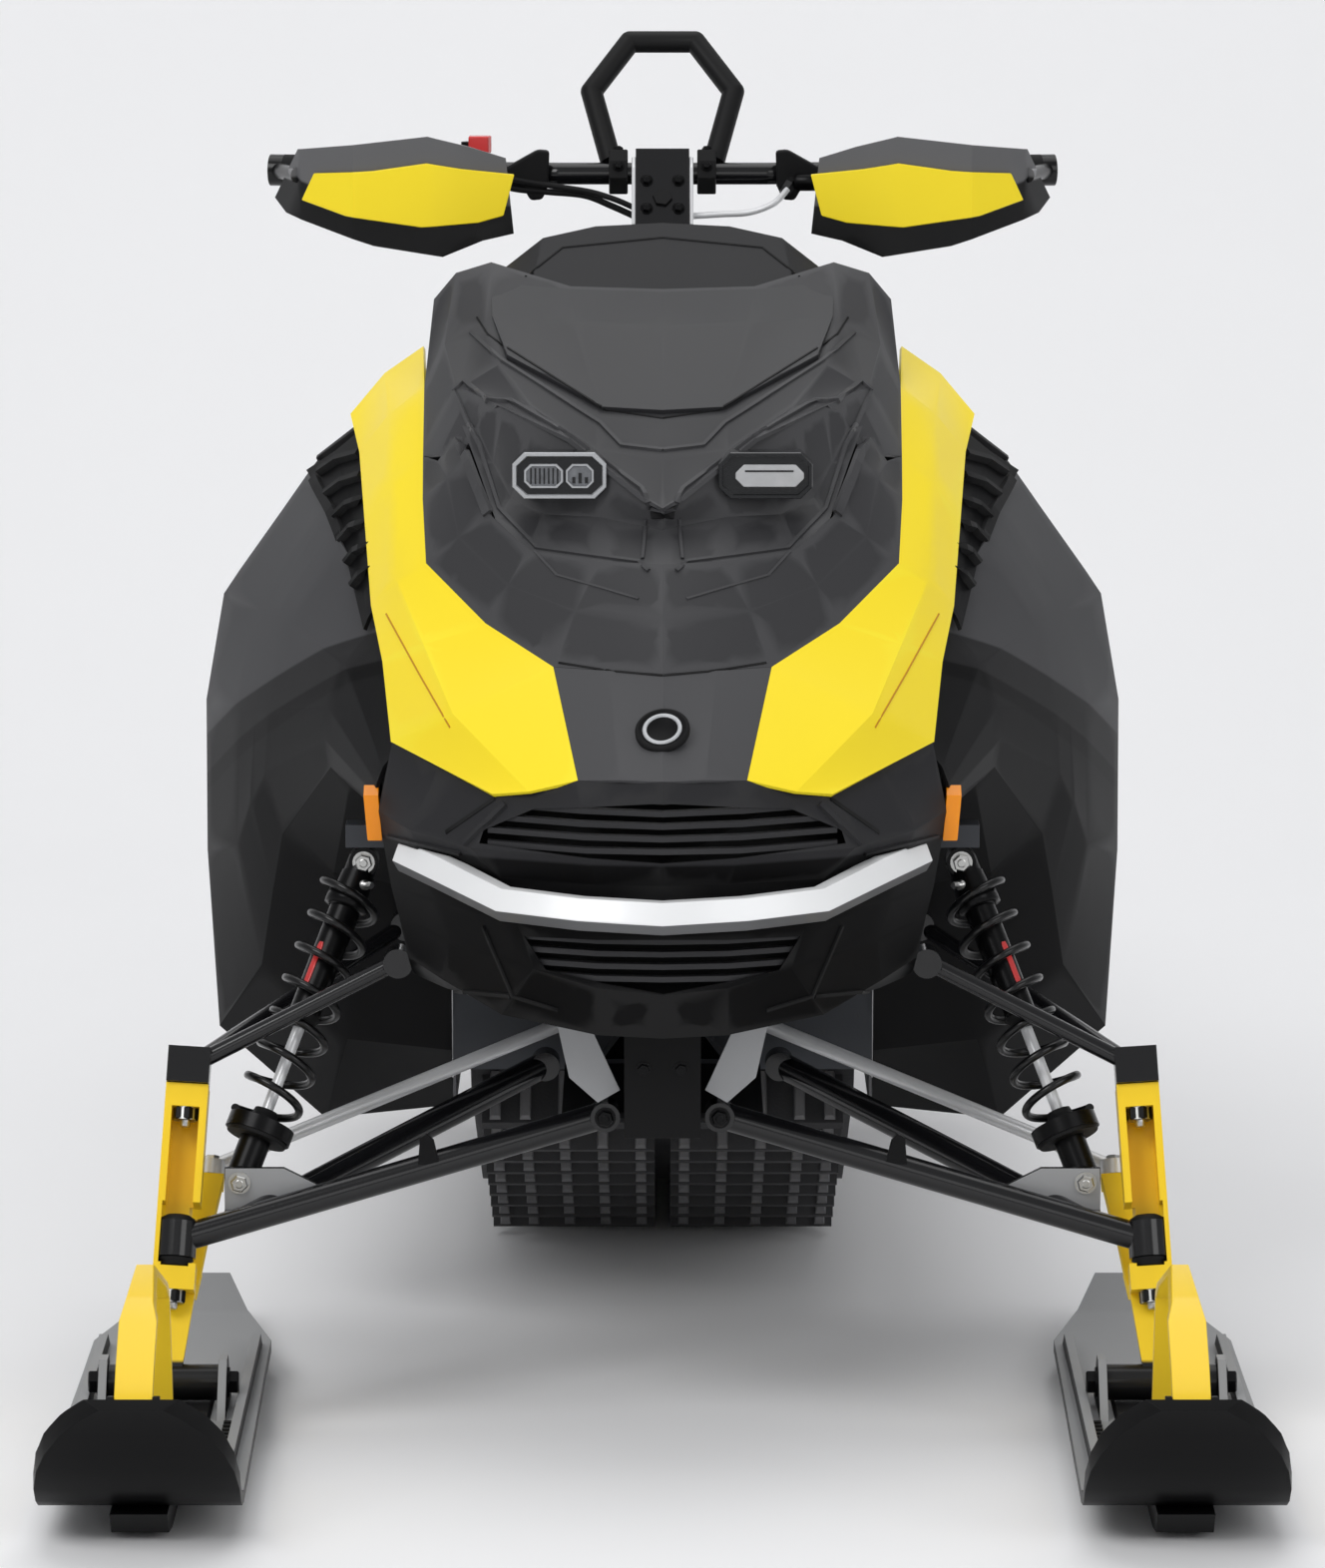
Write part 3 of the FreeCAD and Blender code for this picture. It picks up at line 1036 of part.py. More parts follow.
for number, (back, up, radius) in enumerate(SHAFTS):
    hole_sketch.addGeometry(Part.Circle(Vector(evaluate(back), evaluate(up), 0), AXIS_Z,
                                        evaluate(radius) + pin_gap))
    for kind, expression, value in (("DistanceX", back, evaluate(back)), ("DistanceY", up, evaluate(up))):
        constraint = hole_sketch.addConstraint(Sketcher.Constraint(kind, number, 3, value))
        hole_sketch.setExpression("Constraints[" + str(constraint) + "]", expression)
    constraint = hole_sketch.addConstraint(Sketcher.Constraint("Radius", number, evaluate(radius) + pin_gap))
    hole_sketch.setExpression("Constraints[" + str(constraint) + "]", radius + " + Sizes.pin_gap")
pocket_through(rail, "shaft_hole_cut", hole_sketch)
rail_pair = doc.addObject("Part::Compound", "slide_rails")
rails = []
for side, label in ((LEFT, "rail_left"), (RIGHT, "rail_right")):
    copy = doc.addObject("Part::Feature", label)
    copy.Shape = rail.Shape
    copy.setExpression("Placement.Base.x", str(side) + " * Sizes.rail_spread")
    rails.append(copy)
rail_pair.Links = rails
doc.recompute()
keep("slide_rails", rail_pair)


WHEEL_GROOVE_SHARE = 0.7
WHEEL_GROOVE_DEPTH_SHARE = 0.25


def wheel_set(place, radius, shaft_reach, spreads):
    """Wheels on one shaft across the skid."""
    across = AXIS_X * shaft_reach
    parts = []
    for spread in spreads:
        for side in (LEFT, RIGHT):
            inner = place + AXIS_X * (side * spread - size("wheel_width") / 2)
            wheel = tube(inner, inner + AXIS_X * size("wheel_width"), radius)
            groove_end = inner + AXIS_X * size("wheel_width") * WHEEL_GROOVE_DEPTH_SHARE
            groove = tube(inner - AXIS_X * overrun, groove_end, radius * WHEEL_GROOVE_SHARE)
            hub = tube(inner - AXIS_X * overrun, groove_end, size("wheel_hub_radius"))
            parts.append(wheel.cut(groove.cut(hub)))
    return tube(place - across, place + across, size("wheel_shaft_radius")).fuse(parts)


shaft_reach = size("outer_wheel_spread") + size("wheel_width") / 2
idler_clear = size("idler_radius") - size("runner_gap")
inner_spread = size("rail_spread") - size("rail_wall") / 2 - size("wheel_width") / 2 - size("runner_gap")
rear_idlers = wheel_set(idler_place, idler_clear, shaft_reach, (size("outer_wheel_spread"), inner_spread))
bogies = []
for back in ("bogie_front_back", "bogie_rear_back"):
    place = Vector(0, size(back), bogie_height)
    bogies.append(wheel_set(place, size("bogie_radius"), shaft_reach, (size("outer_wheel_spread"),)))
keep("skid_wheels", Part.Compound(bogies + [rear_idlers]))

# Skid arms and skid shocks inside the track
tube_reach = size("tunnel_half_width") - sheet_wall - seat_gap
foot_reach = size("rail_spread") - size("rail_wall") / 2 - seat_gap
arm_radius = size("arm_tube_radius")


def skid_arm(top, foot):
    """One skid arm: two cross tubes joined by two legs."""
    aside = AXIS_X * size("arm_spread")
    legs = [tube(top + aside * side, foot + aside * side, arm_radius) for side in (LEFT, RIGHT)]
    upper = tube(top - AXIS_X * tube_reach, top + AXIS_X * tube_reach, arm_radius)
    lower = tube(foot - AXIS_X * foot_reach, foot + AXIS_X * foot_reach, arm_radius)
    return upper.fuse([lower] + legs)


front_top = Vector(0, size("front_arm_back"), size("front_arm_height"))
front_foot = Vector(0, size("front_foot_back"), size("foot_height"))
rear_top = Vector(0, size("rear_arm_back"), size("rear_arm_height"))
rear_foot = Vector(0, size("rear_foot_back"), size("foot_height"))
keep("skid_arms", Part.Compound([skid_arm(front_top, front_foot), skid_arm(rear_top, rear_foot)]))


STRUT_ROD_SHARE = 0.5


def strut(foot, head, foot_axis, head_axis, eye_bore):
    """Shock absorber between two eyes, the rod at its foot."""
    eye_outer = size("shock_eye_radius") + eye_bore
    half_eye = size("shock_eye_length") / 2
    middle = foot + (head - foot) * STRUT_ROD_SHARE
    parts = [tube(foot - foot_axis * half_eye, foot + foot_axis * half_eye, eye_outer),
             tube(head - head_axis * half_eye, head + head_axis * half_eye, eye_outer),
             tube(foot, middle, size("shock_rod_radius")),
             tube(middle, head, size("shock_body_radius"))]
    shape = parts[0].fuse(parts[1:])
    if eye_bore:
        for place, axis in ((foot, foot_axis), (head, head_axis)):
            reach = axis * (half_eye + overrun)
            shape = shape.cut(tube(place - reach, place + reach, eye_bore + pin_gap))
    return shape


shock_aside = AXIS_X * size("shock_eye_length")
keep("skid_shocks", Part.Compound([
    strut(front_foot - shock_aside, front_top - shock_aside, AXIS_X, AXIS_X, arm_radius),
    strut(front_foot + shock_aside, rear_top + shock_aside, AXIS_X, AXIS_X, arm_radius)]))

# Front suspension, made for the left side and mirrored
lower_joint = Vector(size("lower_joint_spread"), -size("lower_joint_reach"), size("lower_joint_height"))
upper_joint = Vector(size("upper_joint_spread"), -size("upper_joint_reach"), size("upper_joint_height"))
kingpin = (upper_joint - lower_joint).normalize()
leg_front = (-AXIS_Y + kingpin * kingpin.y).normalize()
leg_side = kingpin.cross(-leg_front).normalize()
if leg_side.x < 0:
    leg_side = -leg_side


def leg_place(aside, forward, up):
    """Point of the left ski leg in its own kingpin frame."""
    return lower_joint + leg_side * aside + leg_front * forward + kingpin * up


def leg_block(aside, forward, up):
    """Block of the ski leg between pairs of places in its kingpin frame."""
    corner = [leg_place(x, y, up[0]) for x, y in
              ((aside[0], forward[0]), (aside[1], forward[0]), (aside[1], forward[1]),
               (aside[0], forward[1]))]
    return prism(corner, kingpin * (up[1] - up[0]))


def eye(place, axis, radius, length):
    """Round eye centred on a place."""
    return tube(place - axis * length / 2, place + axis * length / 2, radius)


lower_front = Vector(size("lower_front_spread"), -size("lower_front_reach"), size("lower_front_height"))
lower_rear = Vector(size("lower_rear_spread"), -size("lower_rear_reach"), size("lower_rear_height"))
BRANCH_SHARE = 0.16
branch = lower_joint + (lower_front - lower_joint) * BRANCH_SHARE
shock_foot = Vector(size("shock_foot_spread"), -size("shock_foot_reach"), size("shock_foot_height"))
shock_head = Vector(size("shock_head_spread"), -size("shock_head_reach"), size("shock_head_height"))
stud_bore = size("joint_stud_radius") + pin_gap
lower_barrel = eye(lower_joint, kingpin, size("joint_barrel_radius"), size("joint_barrel_height"))
lower_arm = lower_barrel.fuse([
    tube(lower_joint, lower_front, size("lower_tube_radius")),
    eye(lower_front, AXIS_Y, size("bush_radius"), size("bush_length")),
    tube(branch, lower_rear, size("lower_tube_radius")),
    eye(lower_rear, AXIS_Y, size("bush_radius"), size("bush_length"))])
gusset_back = -size("shock_foot_reach") - size("shock_eye_length") / 2 - seat_gap
gusset_outer = shock_foot.x + size("shock_eye_radius")
gusset_top = shock_foot.z + size("shock_eye_radius")
gusset = prism([Vector(gusset_outer, gusset_back, gusset_top),
                Vector(shock_foot.x - size("gusset_reach"), gusset_back, gusset_top),
                Vector(shock_foot.x - size("gusset_length"), gusset_back,
                       shock_foot.z - size("shock_eye_radius") / 2),
                Vector(gusset_outer, gusset_back, branch.z)],
               -AXIS_Y * plate_wall)
gusset_foot = box(Vector(shock_foot.x - size("gusset_reach"), gusset_back - size("gusset_depth"), branch.z),
                  Vector(gusset_outer, gusset_back, branch.z + plate_wall))
lower_arm = lower_arm.fuse([gusset, gusset_foot])
lower_arm = lower_arm.cut(eye(lower_joint, kingpin, stud_bore, size("joint_barrel_height") + overrun))
keep("lower_arms", with_mirror(lower_arm))

upper_block_low = size("leg_top_rise") + seat_gap * 2
upper_block_high = upper_block_low + size("joint_barrel_height")
upper_block_middle = lower_joint + kingpin * (upper_block_low + upper_block_high) / 2
upper_front = Vector(size("upper_inner_spread"), -size("upper_front_reach"), size("upper_inner_height"))
upper_rear = Vector(size("upper_inner_spread"), -size("upper_rear_reach"), size("upper_inner_height"))
upper_arm = leg_block((-size("leg_half_width"), size("leg_half_width")),
                      (-size("joint_nut_radius") - plate_wall, size("joint_nut_radius") + plate_wall),
                      (upper_block_low, upper_block_high))
upper_arm = upper_arm.fuse([
    tube(upper_block_middle, upper_front, size("upper_tube_radius")),
    eye(upper_front, AXIS_Y, size("bush_radius"), size("bush_length")),
    tube(upper_block_middle, upper_rear, size("upper_tube_radius")),
    eye(upper_rear, AXIS_Y, size("bush_radius"), size("bush_length"))])
upper_arm = upper_arm.cut(tube(leg_place(0, 0, 0), leg_place(0, 0, upper_block_high + overrun), stud_bore))
keep("upper_arms", with_mirror(upper_arm))

# Shocks and springs
shock_line = (shock_head - shock_foot).normalize()
shock_length = shock_head.distanceToPoint(shock_foot)
perch_low = shock_foot + shock_line * size("shock_perch_rise")
perch_top = perch_low + shock_line * size("shock_perch_height")
perch = tube(perch_low, perch_top, size("shock_perch_radius"))
perch_neck = tube(shock_foot, perch_low, size("shock_body_radius"))
shock = strut(shock_foot, shock_head, AXIS_Y, AXIS_Y, 0).fuse([perch, perch_neck])
keep("shocks", with_mirror(shock))
perch_reach = size("shock_perch_rise") + 2 * size("shock_perch_height") + size("shock_eye_radius")
spring_length = shock_length - perch_reach - 2 * (size("spring_wire_radius") + seat_gap)
helix = Part.makeHelix(spring_length / size("spring_turns"), spring_length, size("spring_radius"))
wire_section = Part.Wire(Part.Circle(Vector(size("spring_radius"), 0, 0), AXIS_Y,
                                     size("spring_wire_radius")).toShape())
spring = Part.Wire(helix).makePipeShell([wire_section], True, True)
spring.Placement = Placement(perch_top + shock_line * (size("spring_wire_radius") + seat_gap),
                             Rotation(AXIS_Z, shock_line))
keep("springs", with_mirror(spring))

# Ski legs: forged channel, open to the front, with the two joint bosses and the steering arm
half = size("leg_half_width")
wall = size("leg_wall")
web_back = -size("leg_web_back")
boss_low = -size("leg_boss_drop") - size("leg_boss_height")
boss_top = -size("leg_boss_drop")
leg_top = size("leg_top_rise")
web = leg_block((-half, half), (web_back, web_back + wall), (boss_low, leg_top))
flanges = [leg_block((side * half - wall if side > 0 else -half, half if side > 0 else wall - half),
                     (web_back, size("leg_flange_front")), (boss_low, leg_top)) for side in (LEFT, RIGHT)]
top_boss = leg_block((-half, half), (web_back, size("leg_flange_front")),
                     (leg_top - size("leg_boss_height"), leg_top))
low_boss = leg_block((-half, half), (web_back, size("leg_flange_front")), (boss_low, boss_top))
ski_bolt = Vector(size("ski_spread"), -size("ski_bolt_reach"), size("ski_bolt_height"))
shank_half = size("leg_shank_half_width")
shank_front = -size("joint_nut_radius") - swing_gap / 2
shank_top = [leg_place(x, y, boss_low) for x, y in
             ((-half, web_back), (half, web_back), (half, shank_front), (-half, shank_front))]
shank_foot = [ski_bolt + Vector(x, y, 0) for x, y in
              ((-shank_half, shank_half), (shank_half, shank_half),
               (shank_half, -shank_half), (-shank_half, -shank_half))]
shank = sections_solid([shank_top, shank_foot])
foot_half = size("saddle_spread") - size("foot_gap")
foot = tube(ski_bolt - AXIS_X * foot_half, ski_bolt + AXIS_X * foot_half, size("leg_foot_radius"))
rod_outer = Vector(size("rod_outer_spread"), -size("rod_outer_reach"), size("rod_outer_height"))
arm_end_up = (rod_outer - lower_joint).dot(kingpin) - size("rod_eye_height") / 2 - seat_gap
arm_end_forward = (rod_outer - lower_joint).dot(leg_front)
arm_end_aside = (rod_outer - lower_joint).dot(leg_side)


def arm_section(aside, forward, up, half_wide, half_tall):
    """Section of the steering arm across its run."""
    return [leg_place(aside + x, forward, up + z) for x, z in
            ((-half_wide, -half_tall), (half_wide, -half_tall),
             (half_wide, half_tall), (-half_wide, half_tall))]


ARM_BEND_SHARE = 0.33
arm_half = size("rod_eye_radius") - seat_gap
arm_tall = size("leg_wall")
steering_arm = sections_solid([
    arm_section(0, web_back + wall / 2, boss_low + arm_tall, arm_half, arm_tall),
    arm_section(arm_end_aside * ARM_BEND_SHARE, web_back + (arm_end_forward - web_back) * ARM_BEND_SHARE,
                boss_low + arm_tall, arm_half, arm_tall),
    arm_section(arm_end_aside, arm_end_forward + arm_half, arm_end_up - arm_tall, arm_half, arm_tall),
    arm_section(arm_end_aside, arm_end_forward - arm_half, arm_end_up - arm_tall, arm_half, arm_tall)])
leg = web.fuse(flanges + [top_boss, low_boss, shank, foot, steering_arm])
notch_low = -size("joint_barrel_height") / 2 - swing_gap
notch_high = size("joint_barrel_height") / 2 + size("notch_headroom")
arm_run = lower_front - lower_joint
arm_angle = math.degrees(math.atan2(arm_run.dot(leg_front), -arm_run.dot(leg_side)))
sector_half = size("steer_angle") + size("notch_angle")
sector = Part.makeCylinder(size("notch_reach"), notch_high - notch_low, Vector(), AXIS_Z, 2 * sector_half)
turn = Rotation(leg_side, leg_front, kingpin, "ZXY")
sector.Placement = Placement(leg_place(0, 0, notch_low), turn).multiply(
    Placement(Vector(), Rotation(AXIS_Z, 180 - sector_half - arm_angle)))
barrel_clear = tube(leg_place(0, 0, notch_low), leg_place(0, 0, notch_high),
                    size("joint_barrel_radius") + pin_gap + seat_gap)
leg = leg.cut([sector, barrel_clear])
stud_radius = size("joint_stud_radius")
bolt_reach = AXIS_X * (foot_half + overrun)
leg = leg.cut([tube(leg_place(0, 0, boss_low - overrun), leg_place(0, 0, boss_top + overrun), stud_radius),
               tube(leg_place(0, 0, leg_top - size("leg_boss_height") - overrun),
                    leg_place(0, 0, leg_top + overrun), stud_radius),
               tube(ski_bolt - bolt_reach, ski_bolt + bolt_reach, size("ski_bolt_radius") + pin_gap)])
leg_main = largest(leg)
keep("ski_leg_left", leg_main)
keep("ski_leg_right", mirrored(leg_main))

# Ball joint studs with their nuts
top_nut_low = leg_top - size("leg_boss_height") - size("joint_nut_height")
low_nut_low = boss_low - size("joint_nut_height")


def joint_stud(low, high):
    """Stud of a ball joint with its nut at the low end, at heights in the leg's frame."""
    nut_top = leg_place(0, 0, low + size("joint_nut_height"))
    return tube(leg_place(0, 0, low), leg_place(0, 0, high), stud_radius - seat_gap).fuse(
        tube(leg_place(0, 0, low), nut_top, size("joint_nut_radius")))


studs = Part.Compound([joint_stud(top_nut_low, upper_block_high),
                       joint_stud(low_nut_low, size("joint_barrel_height") / 2)])
keep("joint_studs_left", studs)
keep("joint_studs_right", mirrored(studs))

# Tie rods
forward_dir = Vector(0, -column_line.z, column_line.y)
crank_eye = AXIS_X * size("crank_spread") + column_foot - forward_dir * size("crank_arm")
rod_inner = crank_eye + AXIS_Z * size("rod_rise")
tie_rod = tube(rod_outer, rod_inner, size("rod_radius")).fuse([
    eye(rod_outer, kingpin, size("rod_eye_radius"), size("rod_eye_height")),
    eye(rod_inner, kingpin, size("rod_eye_radius"), size("rod_eye_height"))])
keep("tie_rod_left", tie_rod)
keep("tie_rod_right", mirrored(tie_rod))

# Skis: shares of the length back from the tip and of the tip's rise or the half width
SKI_SIDE_SHARES = ((0.000, 1.00), (0.010, 0.90), (0.022, 0.76), (0.036, 0.58), (0.050, 0.42), (0.068, 0.25),
                   (0.088, 0.12), (0.112, 0.04), (0.140, 0.0), (0.90, 0.0), (1.0, 0.14))
SKI_PLAN_SHARES = ((-0.002, 0.27), (0.010, 0.50), (0.022, 0.70), (0.036, 0.87), (0.050, 0.96), (0.068, 1.0),
                   (0.088, 1.0), (0.60, 0.95), (0.76, 0.94), (0.88, 0.66), (1.002, 0.36))
KEEL_SIDE_SHARES = ((0.086, 1.0), (0.11, 0.25), (0.16, 0.0), (0.80, 0.0), (0.92, 1.0))
RIB_SIDE_SHARES = ((0.14, 0.0), (0.17, 1.0), (0.72, 1.0), (0.75, 0.0))
SADDLE_SIDE_SHARES = ((-1.0, 0.6), (-0.5, 1.0), (0.5, 1.0), (1.0, 0.6))
SADDLE_FOOT_SHARE = 2.6
HANDLE_LINE_SHARES = ((0.016, 0.90), (0.060, 1.20), (0.125, 1.50), (0.21, 1.60), (0.285, 1.34),
                      (0.34, 0.27))
HANDLE_FACE_SHARES = ((1.0, 0.0), (1.0, 1.40), (0.3, 1.66), (-0.3, 1.66), (-1.0, 1.40), (-1.0, 0.0))
ski_run = size("ski_length")
front = -size("ski_front")
plate_low = size("ski_keel_height")
tip_z = size("ski_tip_height")
ski_middle = Vector(size("ski_spread"), 0, 0)


def thick_line(line, wall):
    """Outline of a bent plate in the length plane, on the upper side of its lower line."""
    upper = []
    for index, point in enumerate(line):
        before = line[max(index - 1, 0)]
        after = line[min(index + 1, len(line) - 1)]
        upper.append(point + AXIS_X.cross((after - before).normalize()) * wall)
    return line + list(reversed(upper))


def ski_slab(outline, half_width):
    """Outline in the length plane made solid on both sides of the left ski's middle."""
    return slab(outline, ski_middle.x - half_width, ski_middle.x + half_width)


ski_plate = ski_slab(thick_line([Vector(0, front + share * ski_run, plate_low + rise * (tip_z - plate_low))
                                 for share, rise in SKI_SIDE_SHARES], size("ski_wall")), size("ski_half_width"))
plan_half = [Vector(wide * size("ski_half_width"), front + share * ski_run, 0)
             for share, wide in SKI_PLAN_SHARES]
plan = ([point + ski_middle for point in plan_half]
        + [Vector(-point.x, point.y, 0) + ski_middle for point in reversed(plan_half)])
keel = ski_slab([Vector(0, front + share * ski_run, rise * (plate_low + overlap))
                 for share, rise in KEEL_SIDE_SHARES], size("ski_keel_half_width"))
deck_low = plate_low + size("ski_wall") - overlap
rib_side = [Vector(0, front + share * ski_run, deck_low + rise * (size("ski_rib_height") + overlap))
            for share, rise in RIB_SIDE_SHARES]
saddle_side = [Vector(0, ski_bolt.y + along * size("saddle_radius"), ski_bolt.z + up * size("saddle_radius"))
               for along, up in SADDLE_SIDE_SHARES]
saddle_foot = AXIS_Y * SADDLE_FOOT_SHARE * size("saddle_radius")
saddle_base = Vector(0, ski_bolt.y, deck_low)
saddle_side = [saddle_base - saddle_foot] + saddle_side + [saddle_base + saddle_foot]
rib_spread = size("ski_half_width") - 2 * size("ski_rib_width")
ear_spread = size("saddle_spread") + size("saddle_wall") / 2
ski_parts = [keel]
for side in (LEFT, RIGHT):
    for outline, spread, wall in ((rib_side, rib_spread, size("ski_rib_width")),
                                  (saddle_side, ear_spread, size("saddle_wall"))):
        middle = ski_middle.x + side * spread
        ski_parts.append(slab(outline, middle - wall / 2, middle + wall / 2))
ski = ski_plate.common(prism(plan, AXIS_Z * 2 * tip_z)).fuse(ski_parts).removeSplitter()
ski = ski.cut(eye(ski_bolt, AXIS_X, size("ski_bolt_radius"), 2 * size("ski_bolt_half_length")))
ski_bolt_bar = eye(ski_bolt, AXIS_X, size("ski_bolt_radius") - seat_gap, 2 * size("ski_bolt_half_length"))
handle = ski_slab(thick_line([Vector(0, front + share * ski_run, rise * tip_z - size("handle_wall"))
                              for share, rise in HANDLE_LINE_SHARES], size("handle_wall")),
                  size("handle_half_width"))
handle_face = [Vector(ski_middle.x + aside * size("handle_half_width"), front - overrun, rise * tip_z)
               for aside, rise in HANDLE_FACE_SHARES]
handle = largest(handle.common(prism(handle_face, AXIS_Y * ski_run)).cut(ski))
to_right = Placement(AXIS_X * -2 * size("ski_spread"), Rotation())
for name, shape in (("ski", ski), ("ski_handle", handle), ("ski_bolt", ski_bolt_bar)):
    keep(name + "_left", shape)
    keep(name + "_right", shape, to_right)

# Steering
bar_end = Vector(size("bar_half_length"), size("bar_sweep"), 0) + bar_middle
bar_bend = Vector(size("bar_straight"), 0, 0) + bar_middle
handlebar = bent_tube([Vector(-bar_end.x, bar_end.y, bar_end.z), Vector(-bar_bend.x, bar_bend.y, bar_bend.z),
                       bar_bend, bar_end], size("bar_radius"))
keep("handlebar", handlebar)
grip_line = (bar_end - bar_bend).normalize()
grip_start = bar_end - grip_line * size("grip_length")
grip_end = bar_end + grip_line * size("grip_overhang")
grip = tube(grip_start, grip_end, size("grip_radius")).cut(
    tube(bar_bend, bar_end, size("bar_radius") + seat_gap))
keep("grips", with_mirror(grip))
riser_top = bar_middle + column_line * (size("bar_radius") + plate_wall)
riser_low = bar_middle - column_line * size("riser_height")
riser_wide, riser_deep = size("riser_half_width"), size("riser_depth") / 2
riser_face = [riser_low + AXIS_X * x + forward_dir * y for x, y in (
    (-riser_wide, -riser_deep), (riser_wide, -riser_deep), (riser_wide, riser_deep), (-riser_wide, riser_deep))]
riser = prism(riser_face, riser_top - riser_low)
crank_end = column_foot - forward_dir * (size("crank_arm") + size("rod_eye_radius"))
crank_half = AXIS_X * (size("crank_spread") + size("rod_eye_radius"))
crank_hub = AXIS_X * size("crank_hub_radius")
crank_foot = column_line * -size("crank_wall") / 2
crank = prism([point + crank_foot for point in (column_foot + crank_hub, crank_end + crank_half,
                                                crank_end - crank_half, column_foot - crank_hub)],
              column_line * size("crank_wall"))
hub = eye(column_foot, column_line, size("crank_hub_radius"), size("crank_wall"))
column = tube(column_foot, riser_low, size("column_radius")).fuse([riser, crank, hub])
column = column.cut(handlebar)
keep("steering_column", column)
STRAP_SHARES = ((-0.72, 0.087), (-1.0, 0.62), (-0.46, 1.0), (0.46, 1.0), (1.0, 0.62), (0.72, 0.087))
strap_points = [bar_middle + AXIS_X * x * size("strap_half_width") + column_line * z * size("strap_height")
                for x, z in STRAP_SHARES]
keep("grab_strap", largest(bent_tube(strap_points, size("strap_radius")).cut([handlebar, column])))

# Handguards: shares of the bar's half length and height, and of the reach forward
GUARD_OUTLINE_SHARES = (
    ((0.394, 0.952), (0.415, 1.018), (0.511, 1.028), (0.622, 1.037), (0.971, 1.023))
    + ((1.037, 0.978), (1.005, 0.966), (0.765, 0.941), (0.582, 0.932), (0.476, 0.946)))
TRIM_OUTLINE_SHARES = (
    ((0.392, 1.004), (0.532, 1.009), (0.624, 1.014), (0.765, 1.007), (0.926, 1.003))
    + ((0.96, 0.979), (0.841, 0.967), (0.638, 0.958), (0.487, 0.962), (0.421, 0.968)))
GUARD_REST_SHARES = (0.97, 0.29)
STAY_SHARE = 0.55
STAY_END_SHARE = 0.96
CAP_ARM_SHARE = 0.66
GUARD_PLAN_SHARES = ((0.37, 0.90), (0.60, 1.0), (0.82, 0.86), (0.96, 0.40), (1.04, -0.20))


def guard_plate(outline, lift, wall):
    """Curved handguard plate cut to its front outline, lifted forward of the inner plate."""
    front_edge = [Vector(across * size("bar_half_length"),
                         -size("bar_reach") - along * size("guard_reach") - lift, 0)
                  for across, along in GUARD_PLAN_SHARES]
    back_edge = [point + Vector(0, wall, 0) for point in front_edge]
    strip = prism(front_edge + list(reversed(back_edge)), AXIS_Z * 2 * size("bar_height"))
    face = [Vector(across * size("bar_half_length"), -size("nose_reach"), up * size("bar_height"))
            for across, up in outline]
    return largest(strip.common(prism(face, AXIS_Y * size("nose_reach"))))


guard = guard_plate(GUARD_OUTLINE_SHARES, 0, size("guard_wall"))
trim = guard_plate(TRIM_OUTLINE_SHARES, size("guard_wall") + seat_gap, size("guard_wall"))
stay_start = bar_bend + grip_line * (size("block_spread") - size("bar_straight")) * STAY_SHARE
stay_end = stay_start - AXIS_Y * (size("guard_reach") + size("guard_wall"))
stay_front = stay_start - AXIS_Y * size("guard_reach") * STAY_END_SHARE
stay = tube(stay_start, stay_end, size("guard_stay_radius")).cut(
    tube(stay_front, stay_end - AXIS_Y * overrun, size("grip_radius")))
cap_start = grip_end + grip_line * seat_gap
cap_end = grip_end + grip_line * size("guard_cap_length")
end_rest = Vector(GUARD_REST_SHARES[0] * size("bar_half_length"),
                  -size("bar_reach") - GUARD_REST_SHARES[1] * size("guard_reach"), size("bar_height"))
end_arm = tube(grip_end + grip_line * size("guard_cap_length") * CAP_ARM_SHARE, end_rest,
               size("guard_stay_radius"))
end_arm = end_arm.cut(tube(grip_start, cap_start, size("grip_radius") + seat_gap))
guard = guard.fuse([stay, tube(cap_start, cap_end, size("grip_radius")), end_arm])
guard = largest(guard.cut([handlebar, trim]))
keep("handguards", with_mirror(guard))
keep("handguard_trims", with_mirror(trim))

# Bodywork sub-parts
keep("hood", hood)
keep("windshield", windshield)
keep("console", console)
keep("nose_fenders", Part.Compound([fender_left, fender_right]))
keep("nose_panel", nose_panel)
keep("belly_pan", belly_pan)
keep("side_panels", Part.Compound([side_panel_left, side_panel_right]))
keep("knee_panels", with_mirror(knee_panel))
keep("side_vents", with_mirror(vent))


def nose_edge(rows, height):
    """Line across the nose at one height, on the outer face of its rows."""
    line = []
    for column in range(len(rows[0])):
        for lower, upper in zip(rows, rows[1:]):
            if lower[column].z <= height <= upper[column].z:
                share = (height - lower[column].z) / (upper[column].z - lower[column].z)
                line.append(lower[column] + (upper[column] - lower[column]) * share)
                break
    return line


def grille_bar(height, half_width):
    """Bar that follows the bow of the nose behind its outer face."""
    line = [point + AXIS_Y * panel_wall for point in nose_edge(full_rows(NOSE_SHELL_SHARES), height)]
    strip = prism([Vector(point.x, point.y, height) for point in line]
                  + [Vector(point.x, point.y + size("grille_bar_depth"), height) for point in reversed(line)],
                  AXIS_Z * size("grille_bar_height"))
    window = box(Vector(-half_width, -size("nose_reach"), height - overrun),
                 Vector(half_width, 0, height + size("grille_bar_height") + overrun))
    return strip.common(window).cut(belly_pan)


